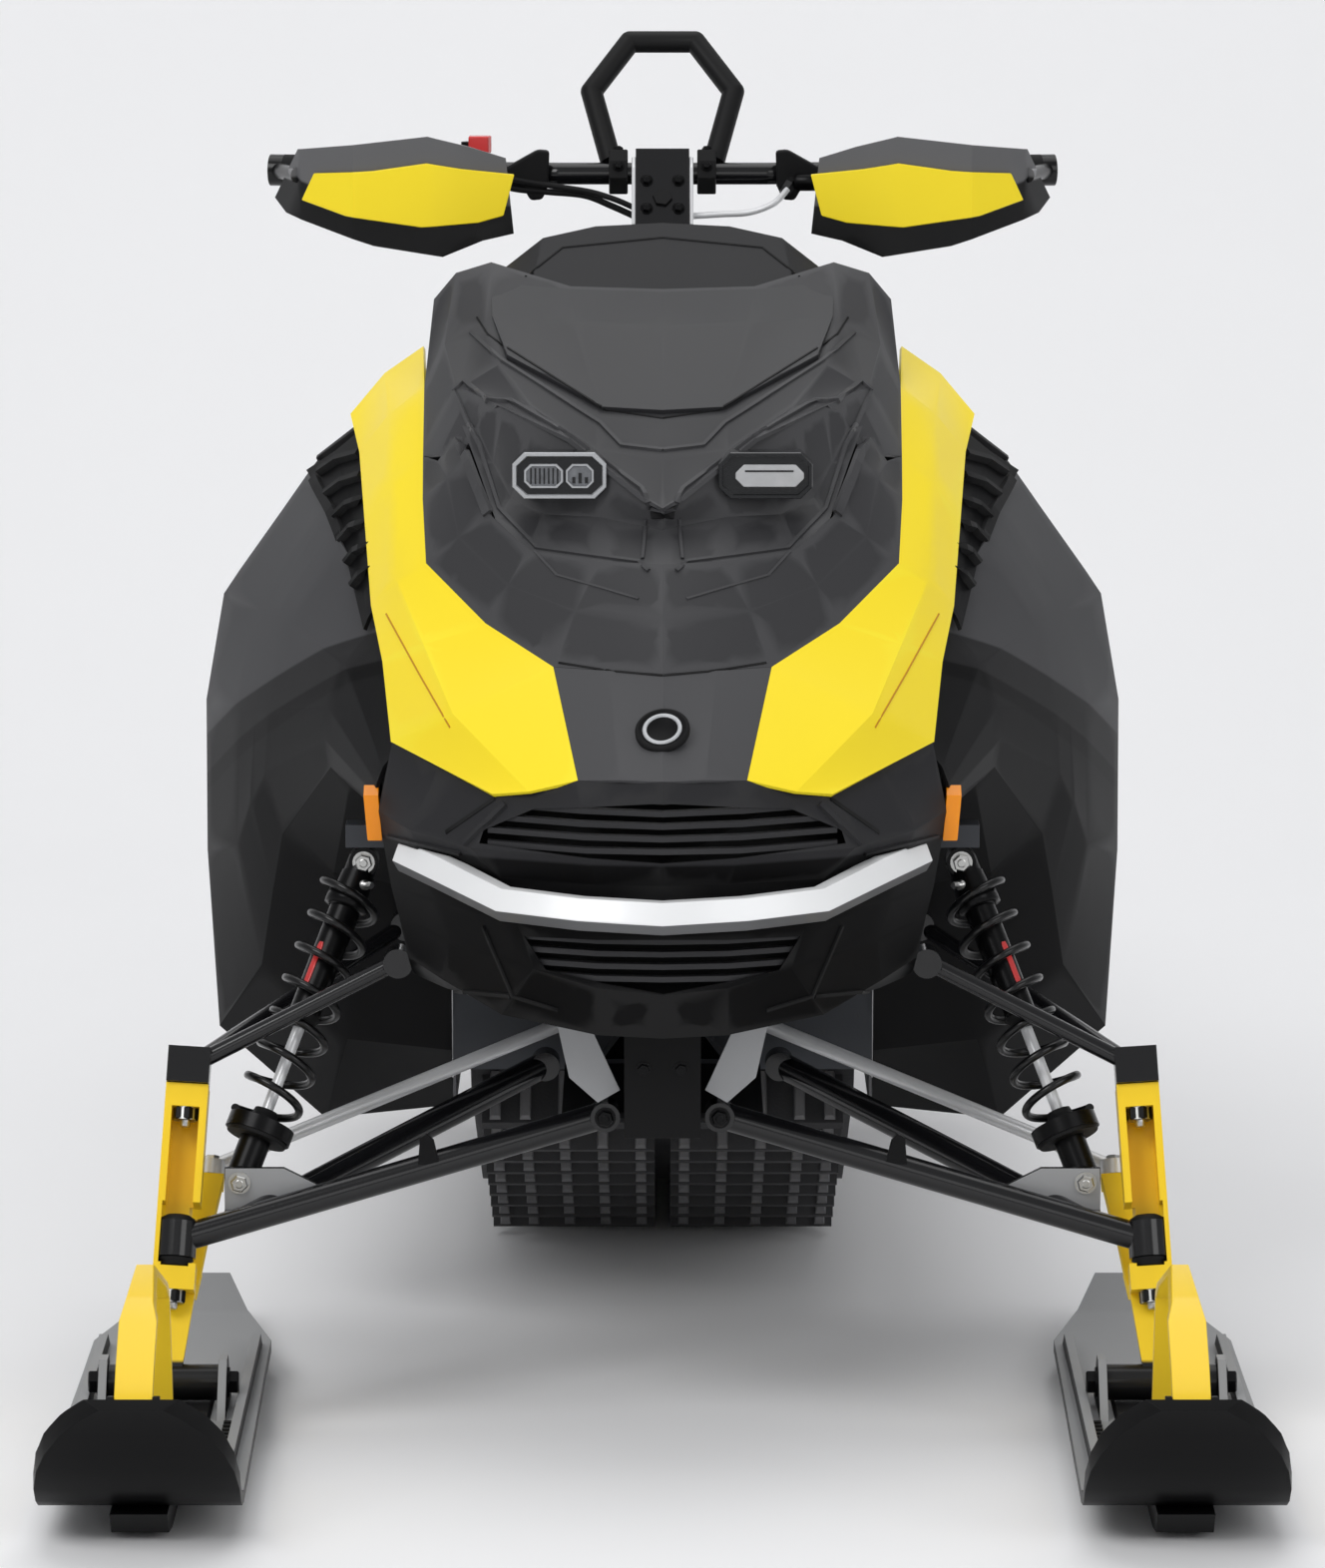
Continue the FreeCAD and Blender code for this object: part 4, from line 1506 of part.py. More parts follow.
bars = []
for index in range(int(size("upper_grille_bars"))):
    level = size("upper_grille_low") + index * size("grille_pitch")
    bars.append(grille_bar(level, size("upper_grille_half_width")))
for index in range(int(size("lower_grille_bars"))):
    level = size("lower_grille_low") + index * size("grille_pitch")
    bars.append(grille_bar(level, size("lower_grille_half_width")))
keep("grilles", Part.Compound([solid for bar in bars for solid in bar.Solids]))

# Front bumper along its bowed path
bumper_half = [body_point(shares) for shares in BUMPER_PATH_SHARES]
bumper_path = bumper_half + [Vector(-point.x, point.y, point.z) for point in reversed(bumper_half[:-1])]
bumper_sections = []
for index, point in enumerate(bumper_path):
    before = bumper_path[max(index - 1, 0)]
    after = bumper_path[min(index + 1, len(bumper_path) - 1)]
    outward = (after - before).cross(AXIS_Z).normalize()
    if outward.y > 0:
        outward = -outward
    forward, upward = outward * size("bumper_depth") / 2, AXIS_Z * size("bumper_height") / 2
    bumper_sections.append([point + forward * deep + upward * tall for deep, tall in BUMPER_SECTION_SHARES])
keep("front_bumper", largest(sections_solid(bumper_sections).cut(belly_pan)))

# Lamps
corner = size("lamp_corner")
lamp_inner = body_point(LAMP_INNER_SHARES)
inner, outer = lamp_inner.x, body_point(LAMP_OUTER_SHARES).x
low = lamp_inner.z - size("lamp_height") / 2
high = lamp_inner.z + size("lamp_height") / 2
lamp_face = [Vector(x, lamp_inner.y, z) for x, z in (
    (inner, low + corner), (inner + corner, low), (outer - corner, low), (outer, low + corner),
    (outer, high - corner), (outer - corner, high), (inner + corner, high), (inner, high - corner))]
keep("headlights", with_mirror(largest(prism(lamp_face, AXIS_Y * size("lamp_depth")).cut(hood))))
marker = prism([body_point(shares) for shares in MARKER_SHARES], AXIS_X * size("marker_depth"))
keep("marker_lamps", with_mirror(largest(marker.cut([side_panel_left, fender_left, belly_pan]))))

# Controls on the handlebar
control_parts = []
for side in (LEFT, RIGHT):
    along = grip_line if side == LEFT else Vector(-grip_line.x, grip_line.y, grip_line.z)
    bend = Vector(side * bar_bend.x, bar_bend.y, bar_bend.z)
    middle = bend + along * (size("block_spread") - size("bar_straight"))
    turn = Rotation(AXIS_X, Vector(abs(along.x), side * along.y, along.z))
    reach = Vector(size("block_half_length"), size("block_depth") / 2, size("block_height") / 2)
    block = box(-reach, reach)
    block.Placement = Placement(middle, turn)
    block = block.cut(handlebar)
    lever_start = middle - AXIS_Y * size("block_depth") / 2
    lever_end = lever_start + along * size("lever_length") - AXIS_Y * size("lever_throw")
    block = block.fuse(tube(lever_start, lever_end, size("lever_radius")))
    if side == RIGHT:
        switch_foot = middle + AXIS_Z * (size("block_height") / 2 - sheet_wall)
        block = block.fuse(tube(switch_foot, switch_foot + AXIS_Z * (sheet_wall + size("switch_height")),
                                size("switch_radius")))
    control_parts.append(block)
keep("controls", Part.Compound(control_parts))

doc.recompute()
for item in doc.Objects:
    if "Invalid" in item.State or "Error" in item.State:
        raise RuntimeError(item.Name + " is " + ", ".join(item.State))
for name, item in pieces.items():
    shape = item.Shape
    if shape.isNull() or not shape.isValid() or not shape.Solids:
        raise RuntimeError(name + " has no valid solid")
    shape.exportStep("parts/" + name + ".step")
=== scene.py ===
"""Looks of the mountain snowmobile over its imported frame: panels, lamps, suspension, skis, track and studio."""
import logging
import math
from dataclasses import dataclass
from enum import Enum
from typing import Dict, List, Optional, Sequence, Tuple, Union

import bmesh
import bpy
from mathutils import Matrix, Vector
from mathutils.bvhtree import BVHTree


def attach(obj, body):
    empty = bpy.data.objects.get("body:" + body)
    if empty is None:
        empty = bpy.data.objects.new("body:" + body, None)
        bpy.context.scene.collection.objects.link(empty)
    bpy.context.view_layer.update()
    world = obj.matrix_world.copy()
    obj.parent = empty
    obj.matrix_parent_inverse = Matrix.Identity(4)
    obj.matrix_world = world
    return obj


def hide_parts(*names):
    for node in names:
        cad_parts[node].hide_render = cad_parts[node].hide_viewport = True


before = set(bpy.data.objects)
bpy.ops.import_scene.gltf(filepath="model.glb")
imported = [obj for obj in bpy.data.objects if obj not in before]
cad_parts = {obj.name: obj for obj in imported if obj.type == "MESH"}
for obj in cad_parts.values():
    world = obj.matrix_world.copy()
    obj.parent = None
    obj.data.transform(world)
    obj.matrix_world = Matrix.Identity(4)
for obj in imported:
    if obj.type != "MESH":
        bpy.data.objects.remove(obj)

logging.basicConfig(level=logging.INFO, format="%(message)s")
LOG = logging.getLogger("snowmobile")

Colour = Tuple[float, float, float]
Point = Tuple[float, float, float]
Pixel = Tuple[float, float]
Flat = Sequence[Tuple[float, float]]
Hit = Tuple[Vector, Vector]
Socket = bpy.types.NodeSocket
Value = Union[float, str, Sequence[float], Socket]

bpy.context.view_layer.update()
FORWARD = Vector((0, -1, 0))
UP = Vector((0, 0, 1))


class Body(Enum):
    """Rigid bodies of the frame that pieces ride on."""

    CHASSIS = "chassis"
    STEERING = "steering"
    LEG_LEFT = "leg_left"
    LEG_RIGHT = "leg_right"
    ROD_LEFT = "rod_left"
    ROD_RIGHT = "rod_right"
    SKI_LEFT = "ski_and_bolt_left"
    SKI_RIGHT = "ski_and_bolt_right"


class Side(Enum):
    """Rider's left, which is plus X, and rider's right."""

    LEFT = 1
    RIGHT = -1

    @property
    def word(self) -> str:
        """Plain word used in node and body names."""
        return "left" if self is Side.LEFT else "right"

    def at(self, point: Point) -> Vector:
        """Place of a left-hand point on this side."""
        return Vector((self.value * point[0], point[1], point[2]))

    def out(self, reach: float) -> Vector:
        """Step of a length away from the centre plane."""
        return Vector((self.value * reach, 0, 0))

    def body(self, stem: str) -> Body:
        """Moving body of this side."""
        return Body(f"{stem}_{self.word}")


def srgb(red: int, green: int, blue: int) -> Colour:
    """Linear colour of an eight-bit screen colour.

    Args:
        red: red level from 0 to 255.
        green: green level from 0 to 255.
        blue: blue level from 0 to 255.

    Returns:
        The three linear levels.
    """
    shares = (level / 255 for level in (red, green, blue))
    return tuple(share / 12.92 if share <= 0.04045 else ((share + 0.055) / 1.055) ** 2.4 for share in shares)


class Nodes:
    """Node tree under construction."""

    def __init__(self, tree: bpy.types.NodeTree) -> None:
        """Starts on a tree."""
        self.tree = tree

    def feed(self, socket: Socket, value: Value) -> None:
        """Links a socket to an input, or sets its value.

        Args:
            socket: the input.
            value: what it is given.
        """
        if isinstance(value, Socket):
            self.tree.links.new(value, socket)
        else:
            socket.default_value = value

    def add(self, kind: str, inputs: Dict[Union[str, int], Value], output: str, **options: str) -> Socket:
        """Adds a node with its options, values and links.

        Args:
            kind: Blender's name of the node.
            inputs: value or feeding socket of each input used.
            output: name of the output wanted.
            options: settings of the node, made before its inputs.

        Returns:
            The output.
        """
        node = self.tree.nodes.new(kind)
        for option, setting in options.items():
            setattr(node, option, setting)
        for key, value in inputs.items():
            self.feed(node.inputs[key], value)
        return node.outputs[output]

    def where(self, output: str) -> Socket:
        """Texture coordinates of one kind."""
        return self.add("ShaderNodeTexCoord", {}, output)

    def part(self, vector: Socket, axis: str) -> Socket:
        """One axis of a vector."""
        return self.add("ShaderNodeSeparateXYZ", {"Vector": vector}, axis)

    def ramp(self, value: Socket, low: float, high: float, end: float = 1.0, start: float = 0.0) -> Socket:
        """Value stretched from one range to another.

        Args:
            value: what is stretched.
            low: value that gives the start.
            high: value that gives the end.
            end: result at the high value.
            start: result at the low value.

        Returns:
            The stretched value.
        """
        return self.add("ShaderNodeMapRange", {"Value": value, "From Min": low, "From Max": high, "To Min": start,
                                               "To Max": end}, "Result")

    def blend(self, share: Socket, first: Value, second: Value) -> Socket:
        """Colour between two colours by a share."""
        return self.add("ShaderNodeMix", {"Factor": share, "A": first, "B": second}, "Result", data_type="RGBA")

    def bump(self, height: Socket, distance: float, under: Optional[Socket] = None) -> Socket:
        """Normal bumped by a height, on top of another bump if there is one."""
        inputs = {"Distance": distance, "Height": height}
        return self.add("ShaderNodeBump", inputs if under is None else {**inputs, "Normal": under}, "Normal")


@dataclass(frozen=True)
class Finish:
    """Surface finish with a slow change of tone, a fine grain and paler edges, partly scuffs and partly painted
    highlight.

    Lengths are metres, and scales are repeats in a metre.
    """

    name: str
    colour: Colour
    roughness: float
    metallic: float = 0.0
    coat: float = 0.0
    coat_roughness: float = 0.08
    specular: float = 0.22
    tone_share: float = 0.12
    tone_scale: float = 3.0
    grain_scale: float = 900.0
    grain_height: float = 0.00004
    rough_share: float = 0.15
    edge_share: float = 0.0
    edge_range: Tuple[float, float] = (0.53, 0.62)
    edge_gain: float = 1.6
    edge_lift: float = 0.04
    stretch: Point = (1.0, 1.0, 1.0)

    def material(self) -> bpy.types.Material:
        """Blender material of this finish, made once.

        Returns:
            The material with its nodes.
        """
        found = bpy.data.materials.get(self.name)
        if found is not None:
            return found
        made = bpy.data.materials.new(self.name)
        made.use_nodes = True
        made.diffuse_color = (*self.colour, 1.0)
        self.build(Nodes(made.node_tree))
        return made

    def build(self, nodes: Nodes) -> None:
        """Makes the nodes of the finish.

        Args:
            nodes: the material's tree.
        """
        place = nodes.add("ShaderNodeMapping", {"Vector": nodes.where("Object"), "Scale": self.stretch}, "Vector")
        tone = self.noise(nodes, place, self.tone_scale, 3.0)
        grain = self.noise(nodes, place, self.grain_scale, 2.0)
        colour = self.tint(nodes, tone)
        # Paler edges: partly scuffs, partly painted highlight.
        if self.edge_share > 0:
            colour = self.worn(nodes, colour)
        rough = nodes.ramp(tone, 0.0, 1.0, min(1.0, self.roughness * (1 + self.rough_share)),
                           self.roughness * (1 - self.rough_share))
        self.shader(nodes, {"Metallic": self.metallic, "Coat Weight": self.coat, "Roughness": rough,
                            "Coat Roughness": self.coat_roughness, "Specular IOR Level": self.specular,
                            "Base Color": colour, "Normal": self.relief(nodes, place, grain)})

    def shader(self, nodes: Nodes, inputs: Dict[str, Value]) -> None:
        """Sets or links inputs of the material's shader."""
        for key, value in inputs.items():
            nodes.feed(nodes.tree.nodes["Principled BSDF"].inputs[key], value)

    def noise(self, nodes: Nodes, place: Socket, scale: float, detail: float) -> Socket:
        """Noise from 0 to 1 with so many repeats in a metre and so many octaves."""
        return nodes.add("ShaderNodeTexNoise", {"Vector": place, "Scale": scale, "Detail": detail}, "Fac")

    def tint(self, nodes: Nodes, tone: Socket) -> Socket:
        """Base colour that changes slowly over the surface."""
        return self.shades(nodes, tone, self.colour)

    def shades(self, nodes: Nodes, tone: Socket, colour: Colour) -> Socket:
        """One colour with the slow change of tone.

        Args:
            nodes: the material's tree.
            tone: the slow noise.
            colour: the colour in its middle.

        Returns:
            The changing colour.
        """
        low = [level * (1 - self.tone_share) for level in colour]
        high = [min(1.0, level * (1 + self.tone_share)) for level in colour]
        return nodes.blend(tone, (*low, 1.0), (*high, 1.0))

    def worn(self, nodes: Nodes, colour: Socket) -> Socket:
        """Colour with paler edges, partly handling wear and partly painted highlight.

        Args:
            nodes: the material's tree.
            colour: the colour away from edges.

        Returns:
            The colour with its edges.
        """
        edge = nodes.ramp(nodes.add("ShaderNodeNewGeometry", {}, "Pointiness"), *self.edge_range, self.edge_share)
        pale = [min(1.0, level * self.edge_gain + self.edge_lift) for level in self.colour]
        return nodes.blend(edge, colour, (*pale, 1.0))

    def relief(self, nodes: Nodes, place: Socket, grain: Socket) -> Socket:
        """Normal bumped by the grain."""
        return nodes.bump(grain, self.grain_height)


@dataclass(frozen=True)
class TwoToneAndShadeFinish(Finish):
    """Faces that look up get a second colour: a ski's deck over its dark base, the bumper's silver over painted shade.
    """

    upper: Colour = (0.1, 0.1, 0.1)
    turn_low: float = 0.35
    turn_high: float = 0.5
    front: float = -1.352
    fade: float = 0.004

    def tint(self, nodes: Nodes, tone: Socket) -> Socket:
        """Base colour by the way the face looks, with the slow change of tone.

        Args:
            nodes: the material's tree.
            tone: the slow noise.

        Returns:
            The colour.
        """
        upward = nodes.ramp(nodes.part(nodes.where("Normal"), "Z"), self.turn_low, self.turn_high)
        behind = nodes.ramp(nodes.part(nodes.where("Object"), "Y"), self.front, self.front + self.fade)
        both = nodes.add("ShaderNodeMath", {0: upward, 1: behind}, "Value", operation="MULTIPLY")
        return nodes.blend(both, super().tint(nodes, tone), self.shades(nodes, tone, self.upper))


@dataclass(frozen=True)
class BandedFinish(Finish):
    """Finish with other colours above planes, such as a panel over its dark skirt; some bands are painted light and
    shade.
    """

    along: Point = (0.0, 0.0, 1.0)
    bands: Tuple[Tuple[float, Colour], ...] = ()
    width: float = 0.003

    def tint(self, nodes: Nodes, tone: Socket) -> Socket:
        """Base colour by the place along the direction, with the slow change of tone.

        Args:
            nodes: the material's tree.
            tone: the slow noise.

        Returns:
            The colour.
        """
        colour = super().tint(nodes, tone)
        reach = nodes.add("ShaderNodeVectorMath", {0: nodes.where("Object"), 1: self.along}, "Value",
                          operation="DOT_PRODUCT")
        for level, band in self.bands:
            colour = nodes.blend(nodes.ramp(reach, level, level + self.width), colour, self.shades(nodes, tone, band))
        return colour


@dataclass(frozen=True)
class PebbledFinish(Finish):
    """Moulded finish with a pebbled texture, for rubber, vinyl and textured plastic."""

    pebble_scale: float = 400.0
    pebble_height: float = 0.00018

    def relief(self, nodes: Nodes, place: Socket, grain: Socket) -> Socket:
        """Normal bumped by pebbles and then by the grain.

        Args:
            nodes: the material's tree.
            place: the coordinates.
            grain: the fine noise.

        Returns:
            The normal.
        """
        cells = nodes.add("ShaderNodeTexVoronoi", {"Vector": place, "Scale": self.pebble_scale}, "Distance")
        return nodes.bump(grain, self.grain_height, nodes.bump(cells, self.pebble_height))


@dataclass(frozen=True)
class LensFinish(Finish):
    """Clear moulded lamp lens."""

    clear_share: float = 0.85
    index: float = 1.49

    def build(self, nodes: Nodes) -> None:
        """Makes the nodes of the finish, with light passing through."""
        super().build(nodes)
        self.shader(nodes, {"Transmission Weight": self.clear_share, "IOR": self.index})


class Shade:
    """Finishes of the snowmobile, one for each real surface."""

    SHELL = Finish("charcoal_shell", srgb(54, 54, 56), 0.46, coat=0.03, coat_roughness=0.3, tone_share=0.06,
                   grain_scale=1500, grain_height=0.00003, edge_share=0.35)
    SHIELD = Finish("gloss_shield", srgb(48, 48, 50), 0.36, coat=0.06,
                    coat_roughness=0.25, tone_share=0.05, grain_height=0.00001)
    DARK = Finish("black_moulding", srgb(14, 14, 15), 0.5, specular=0.09, tone_share=0.1, edge_share=0.3)
    TEXTURED = PebbledFinish("textured_moulding", srgb(19, 19, 20), 0.6, tone_share=0.12,
                             pebble_scale=700, pebble_height=0.00008)
    YELLOW = Finish("yellow_shell", srgb(255, 226, 40), 0.34, coat=0.2, coat_roughness=0.15, tone_share=0.035,
                    grain_height=0.00001, edge_share=0.15)
    YELLOW_PAINT = Finish("yellow_paint", srgb(252, 210, 38), 0.36, coat=0.4, tone_share=0.06,
                          grain_scale=260, grain_height=0.00008, edge_share=0.25)
    # Bumper: the grey is painted shade on faces that look down; the pale silver is on faces that look up.
    SILVER = TwoToneAndShadeFinish("silver_bumper", srgb(92, 93, 95), 0.4, metallic=0.1, coat=0.2, specular=0.5,
                           tone_share=0.04, grain_height=0.00001, upper=srgb(236, 237, 238), turn_low=-0.3,
                           turn_high=-0.12, front=-9.0)
    ROD = Finish("brushed_rod", srgb(222, 223, 225), 0.32, metallic=0.25, tone_share=0.05, specular=0.5,
                 stretch=(1.0, 8.0, 8.0), grain_scale=300, grain_height=0.00002)
    STEEL = Finish("zinc_steel", srgb(190, 190, 188), 0.3, metallic=1.0, tone_share=0.12, grain_scale=600,
                   grain_height=0.00004)
    GUSSET = Finish("pressed_gusset", srgb(158, 159, 161), 0.42, metallic=0.3, tone_share=0.1, grain_scale=400,
                    grain_height=0.00004)
    TUBE = Finish("gloss_black_tube", srgb(18, 18, 20), 0.22, coat=0.5, tone_share=0.1, grain_scale=500,
                  grain_height=0.00003)
    SPRING = Finish("black_spring", srgb(13, 13, 14), 0.3, coat=0.3, tone_share=0.1, grain_height=0.00003)
    DAMPER = Finish("black_anodised", srgb(18, 18, 19), 0.28, metallic=0.5, tone_share=0.1, grain_height=0.00002)
    TUNNEL = Finish("tunnel_sheet", srgb(38, 39, 41), 0.4, metallic=0.3, tone_share=0.1, grain_scale=420,
                    grain_height=0.00005, edge_share=0.3)
    FRAME = Finish("cast_frame", srgb(70, 72, 76), 0.46, metallic=0.6, tone_share=0.14, grain_scale=300,
                   grain_height=0.0001)
    ENGINE = Finish("engine_casting", srgb(88, 90, 94), 0.5, metallic=0.6, tone_share=0.16, grain_scale=240,
                    grain_height=0.00015)
    TRACK = PebbledFinish("track_rubber", srgb(58, 58, 60), 0.55, tone_share=0.22, tone_scale=12,
                          pebble_scale=260, pebble_height=0.0002)
    RUBBER = PebbledFinish("moulded_rubber", srgb(17, 17, 18), 0.62, tone_share=0.15, pebble_scale=900,
                           pebble_height=0.00006)
    STRAP = PebbledFinish("strap_rubber", srgb(14, 14, 15), 0.5, tone_share=0.12, pebble_scale=700,
                          pebble_height=0.00006)
    VINYL = PebbledFinish("seat_vinyl", srgb(36, 36, 38), 0.5, tone_share=0.12, pebble_scale=520,
                          pebble_height=0.00012)
    SKI = TwoToneAndShadeFinish("ski_plastic", srgb(13, 13, 14), 0.42, specular=0.12, tone_share=0.12, edge_share=0.3,
                        grain_scale=500, grain_height=0.00005, upper=srgb(148, 149, 150))
    RED = Finish("red_plastic", srgb(214, 20, 24), 0.3, coat=0.4, tone_share=0.06, grain_height=0.00002)
    TAIL = LensFinish("red_lens", srgb(196, 16, 18), 0.12, tone_share=0.06, clear_share=0.25)
    AMBER = LensFinish("amber_lens", srgb(255, 150, 18), 0.16, tone_share=0.08, clear_share=0.12)


class LampShade:
    """Finishes of the headlights."""

    SMOKED = Finish("smoked_lamp", srgb(26, 27, 29), 0.14, coat=0.7, tone_share=0.15, tone_scale=60,
                    grain_scale=500, grain_height=0.00006)
    RIM = Finish("lamp_rim", srgb(176, 178, 181), 0.3, metallic=0.25, coat=0.4, tone_share=0.08, grain_height=0.00002)
    MIRROR = Finish("lamp_mirror", srgb(120, 122, 126), 0.2, metallic=0.6, coat=0.8, tone_share=0.5,
                    tone_scale=160, grain_scale=240, grain_height=0.0002)
    PALE_LENS = Finish("pale_lens", srgb(176, 177, 179), 0.2, coat=0.8, tone_share=0.16, tone_scale=70,
                       grain_height=0.00004)


class PanelShade:
    """Finishes of single panels, guards, ski legs and track lugs, some with painted light and shade."""

    # Side panels: the narrow darkest band is painted shade on a facet turned from the light; the upper bands are
    # painted light, lighter toward the top.
    SIDE = BandedFinish("side_panel", srgb(22, 22, 23), 0.46, specular=0.1, tone_share=0.08, grain_scale=1500,
                        grain_height=0.00003, edge_share=0.3, along=(0.0, 0.47, 1.0),
                        bands=((0.335, srgb(12, 12, 13)), (0.3535, srgb(36, 36, 37)), (0.3915, srgb(70, 70, 72))))
    # Handguards: the pale upper band is painted light on their tops, which face the light.
    GUARD = BandedFinish("handguard", srgb(9, 9, 10), 0.24, coat=0.2, tone_share=0.1, grain_scale=1400,
                         grain_height=0.00005, edge_share=0.25, along=(0.0, -0.5, 1.0),
                         bands=((1.265, srgb(98, 98, 100)),))
    BELLY = BandedFinish("belly_moulding", srgb(10, 10, 11), 0.5, specular=0.08, tone_share=0.1, edge_share=0.3,
                         bands=((0.566, srgb(44, 44, 46)),))
    # Nose panel: the hood's charcoal made lighter, painted light on the panel that faces the front.
    NOSE_LIT = Finish("nose_shell", srgb(72, 72, 74), 0.46, coat=0.03, coat_roughness=0.3, tone_share=0.06,
                  grain_scale=1500, grain_height=0.00003, edge_share=0.3)
    BARS = Finish("grille_bars", srgb(44, 44, 46), 0.42, tone_share=0.08, grain_height=0.00002, edge_share=0.3)
    LEG = BandedFinish("leg_paint", srgb(16, 16, 17), 0.4, coat=0.2, tone_share=0.06, grain_scale=260,
                       grain_height=0.00008, edge_share=0.25, bands=((0.083, srgb(252, 210, 38)),))
    # Pale rubber of the lug ribs: painted highlight on their flutes.
    LUG_HIGHLIGHT = PebbledFinish("worn_lug", srgb(112, 112, 114), 0.5, tone_share=0.3, tone_scale=20, pebble_scale=260,
                        pebble_height=0.0002)
    # Darker yellow line along the fender's crease: painted shade in the crease.
    CREASE = Finish("fender_crease_shade", srgb(196, 140, 34), 0.5, tone_share=0.1, grain_height=0.00001)
    POD = Finish("gauge_pod", srgb(36, 36, 38), 0.46, tone_share=0.06, grain_scale=1500,
                 grain_height=0.00003, edge_share=0.3)


def node_of(name: str) -> bpy.types.Object:
    """CAD node of the frame by name."""
    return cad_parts[name]


def placed(name: str, data: bpy.types.ID) -> bpy.types.Object:
    """New object with some data, linked into the scene.

    Args:
        name: its name.
        data: its mesh, light or camera.

    Returns:
        The object.
    """
    made = bpy.data.objects.new(name, data)
    bpy.context.scene.collection.objects.link(made)
    return made


def dress(finish: Finish, *names: str) -> None:
    """Gives CAD nodes a finish.

    Args:
        finish: the surface.
        names: the nodes.
    """
    for name in names:
        mesh = node_of(name).data
        mesh.materials.clear()
        mesh.materials.append(finish.material())


def soften(width: float, *names: str, smooth: float = 26.0) -> None:
    """Joins the faces of CAD nodes and rounds their edges with a bevel.

    Args:
        width: how far the bevel reaches from the edge, in metres.
        names: the nodes.
        smooth: edges up to this angle in degrees are shaded smooth and keep no bevel.
    """
    for name in names:
        Joiner.join(node_of(name), smooth)
        bevel(node_of(name), width, angle=math.radians(smooth))


def bevel(piece: bpy.types.Object, width: float, segments: int = 2, angle: float = 0.5) -> None:
    """Adds a bevel with even shading to a piece.

    Args:
        piece: the piece.
        width: how far the bevel reaches, in metres.
        segments: strips across the bevel.
        angle: smallest angle between faces that is bevelled, in radians.
    """
    step = piece.modifiers.new("edge", "BEVEL")
    step.width = width
    step.segments = segments
    step.limit_method = "ANGLE"
    step.angle_limit = angle
    step.harden_normals = True
    step.use_clamp_overlap = True


class Joiner:
    """Node group that joins a node's split faces and shades shallow edges smooth."""

    NAME = "joined_faces"
    REACH = 0.00002

    @classmethod
    def group(cls) -> bpy.types.NodeTree:
        """The node group, made once.

        Returns:
            The group.
        """
        found = bpy.data.node_groups.get(cls.NAME)
        if found is not None:
            return found
        tree = bpy.data.node_groups.new(cls.NAME, "GeometryNodeTree")
        for name, way, kind in (("Geometry", "INPUT", "Geometry"), ("Angle", "INPUT", "Float"),
                                ("Geometry", "OUTPUT", "Geometry")):
            tree.interface.new_socket(name, in_out=way, socket_type=f"NodeSocket{kind}")
        nodes = Nodes(tree)
        start = tree.nodes.new("NodeGroupInput")
        plain = nodes.add("GeometryNodeRemoveAttribute", {"Geometry": start.outputs["Geometry"],
                                                          "Name": "custom_normal"}, "Geometry")
        merged = nodes.add("GeometryNodeMergeByDistance", {"Geometry": plain, "Distance": cls.REACH}, "Geometry")
        angle = nodes.add("GeometryNodeInputMeshEdgeAngle", {}, "Unsigned Angle")
        shallow = nodes.add("FunctionNodeCompare", {"A": angle, "B": start.outputs["Angle"]}, "Result",
                            data_type="FLOAT", operation="LESS_EQUAL")
        edges = nodes.add("GeometryNodeSetShadeSmooth", {"Geometry": merged, "Shade Smooth": shallow}, "Geometry",
                          domain="EDGE")
        faces = nodes.add("GeometryNodeSetShadeSmooth", {"Geometry": edges}, "Geometry", domain="FACE")
        nodes.feed(tree.nodes.new("NodeGroupOutput").inputs["Geometry"], faces)
        return tree

    @classmethod
    def join(cls, piece: bpy.types.Object, degrees: float) -> None:
        """Adds the group to a piece.

        Args:
            piece: the piece.
            degrees: edges up to this angle are shaded smooth.
        """
        step = piece.modifiers.new("joined", "NODES")
        step.node_group = cls.group()
        socket = next(item for item in step.node_group.interface.items_tree
                      if item.name == "Angle" and item.in_out == "INPUT")
        step[socket.identifier] = math.radians(degrees)


def circle(centre: Vector, across: Vector, up: Vector, radius: float, sides: int) -> List[Vector]:
    """Evenly spaced points round a centre.

    Args:
        centre: the middle.
        across: direction of the first point.
        up: direction square to it.
        radius: distance from the middle.
        sides: how many points.

    Returns:
        The points.
    """
    return [centre + (across * math.cos(turn) + up * math.sin(turn)) * radius
            for turn in [math.tau * side / sides for side in range(sides)]]


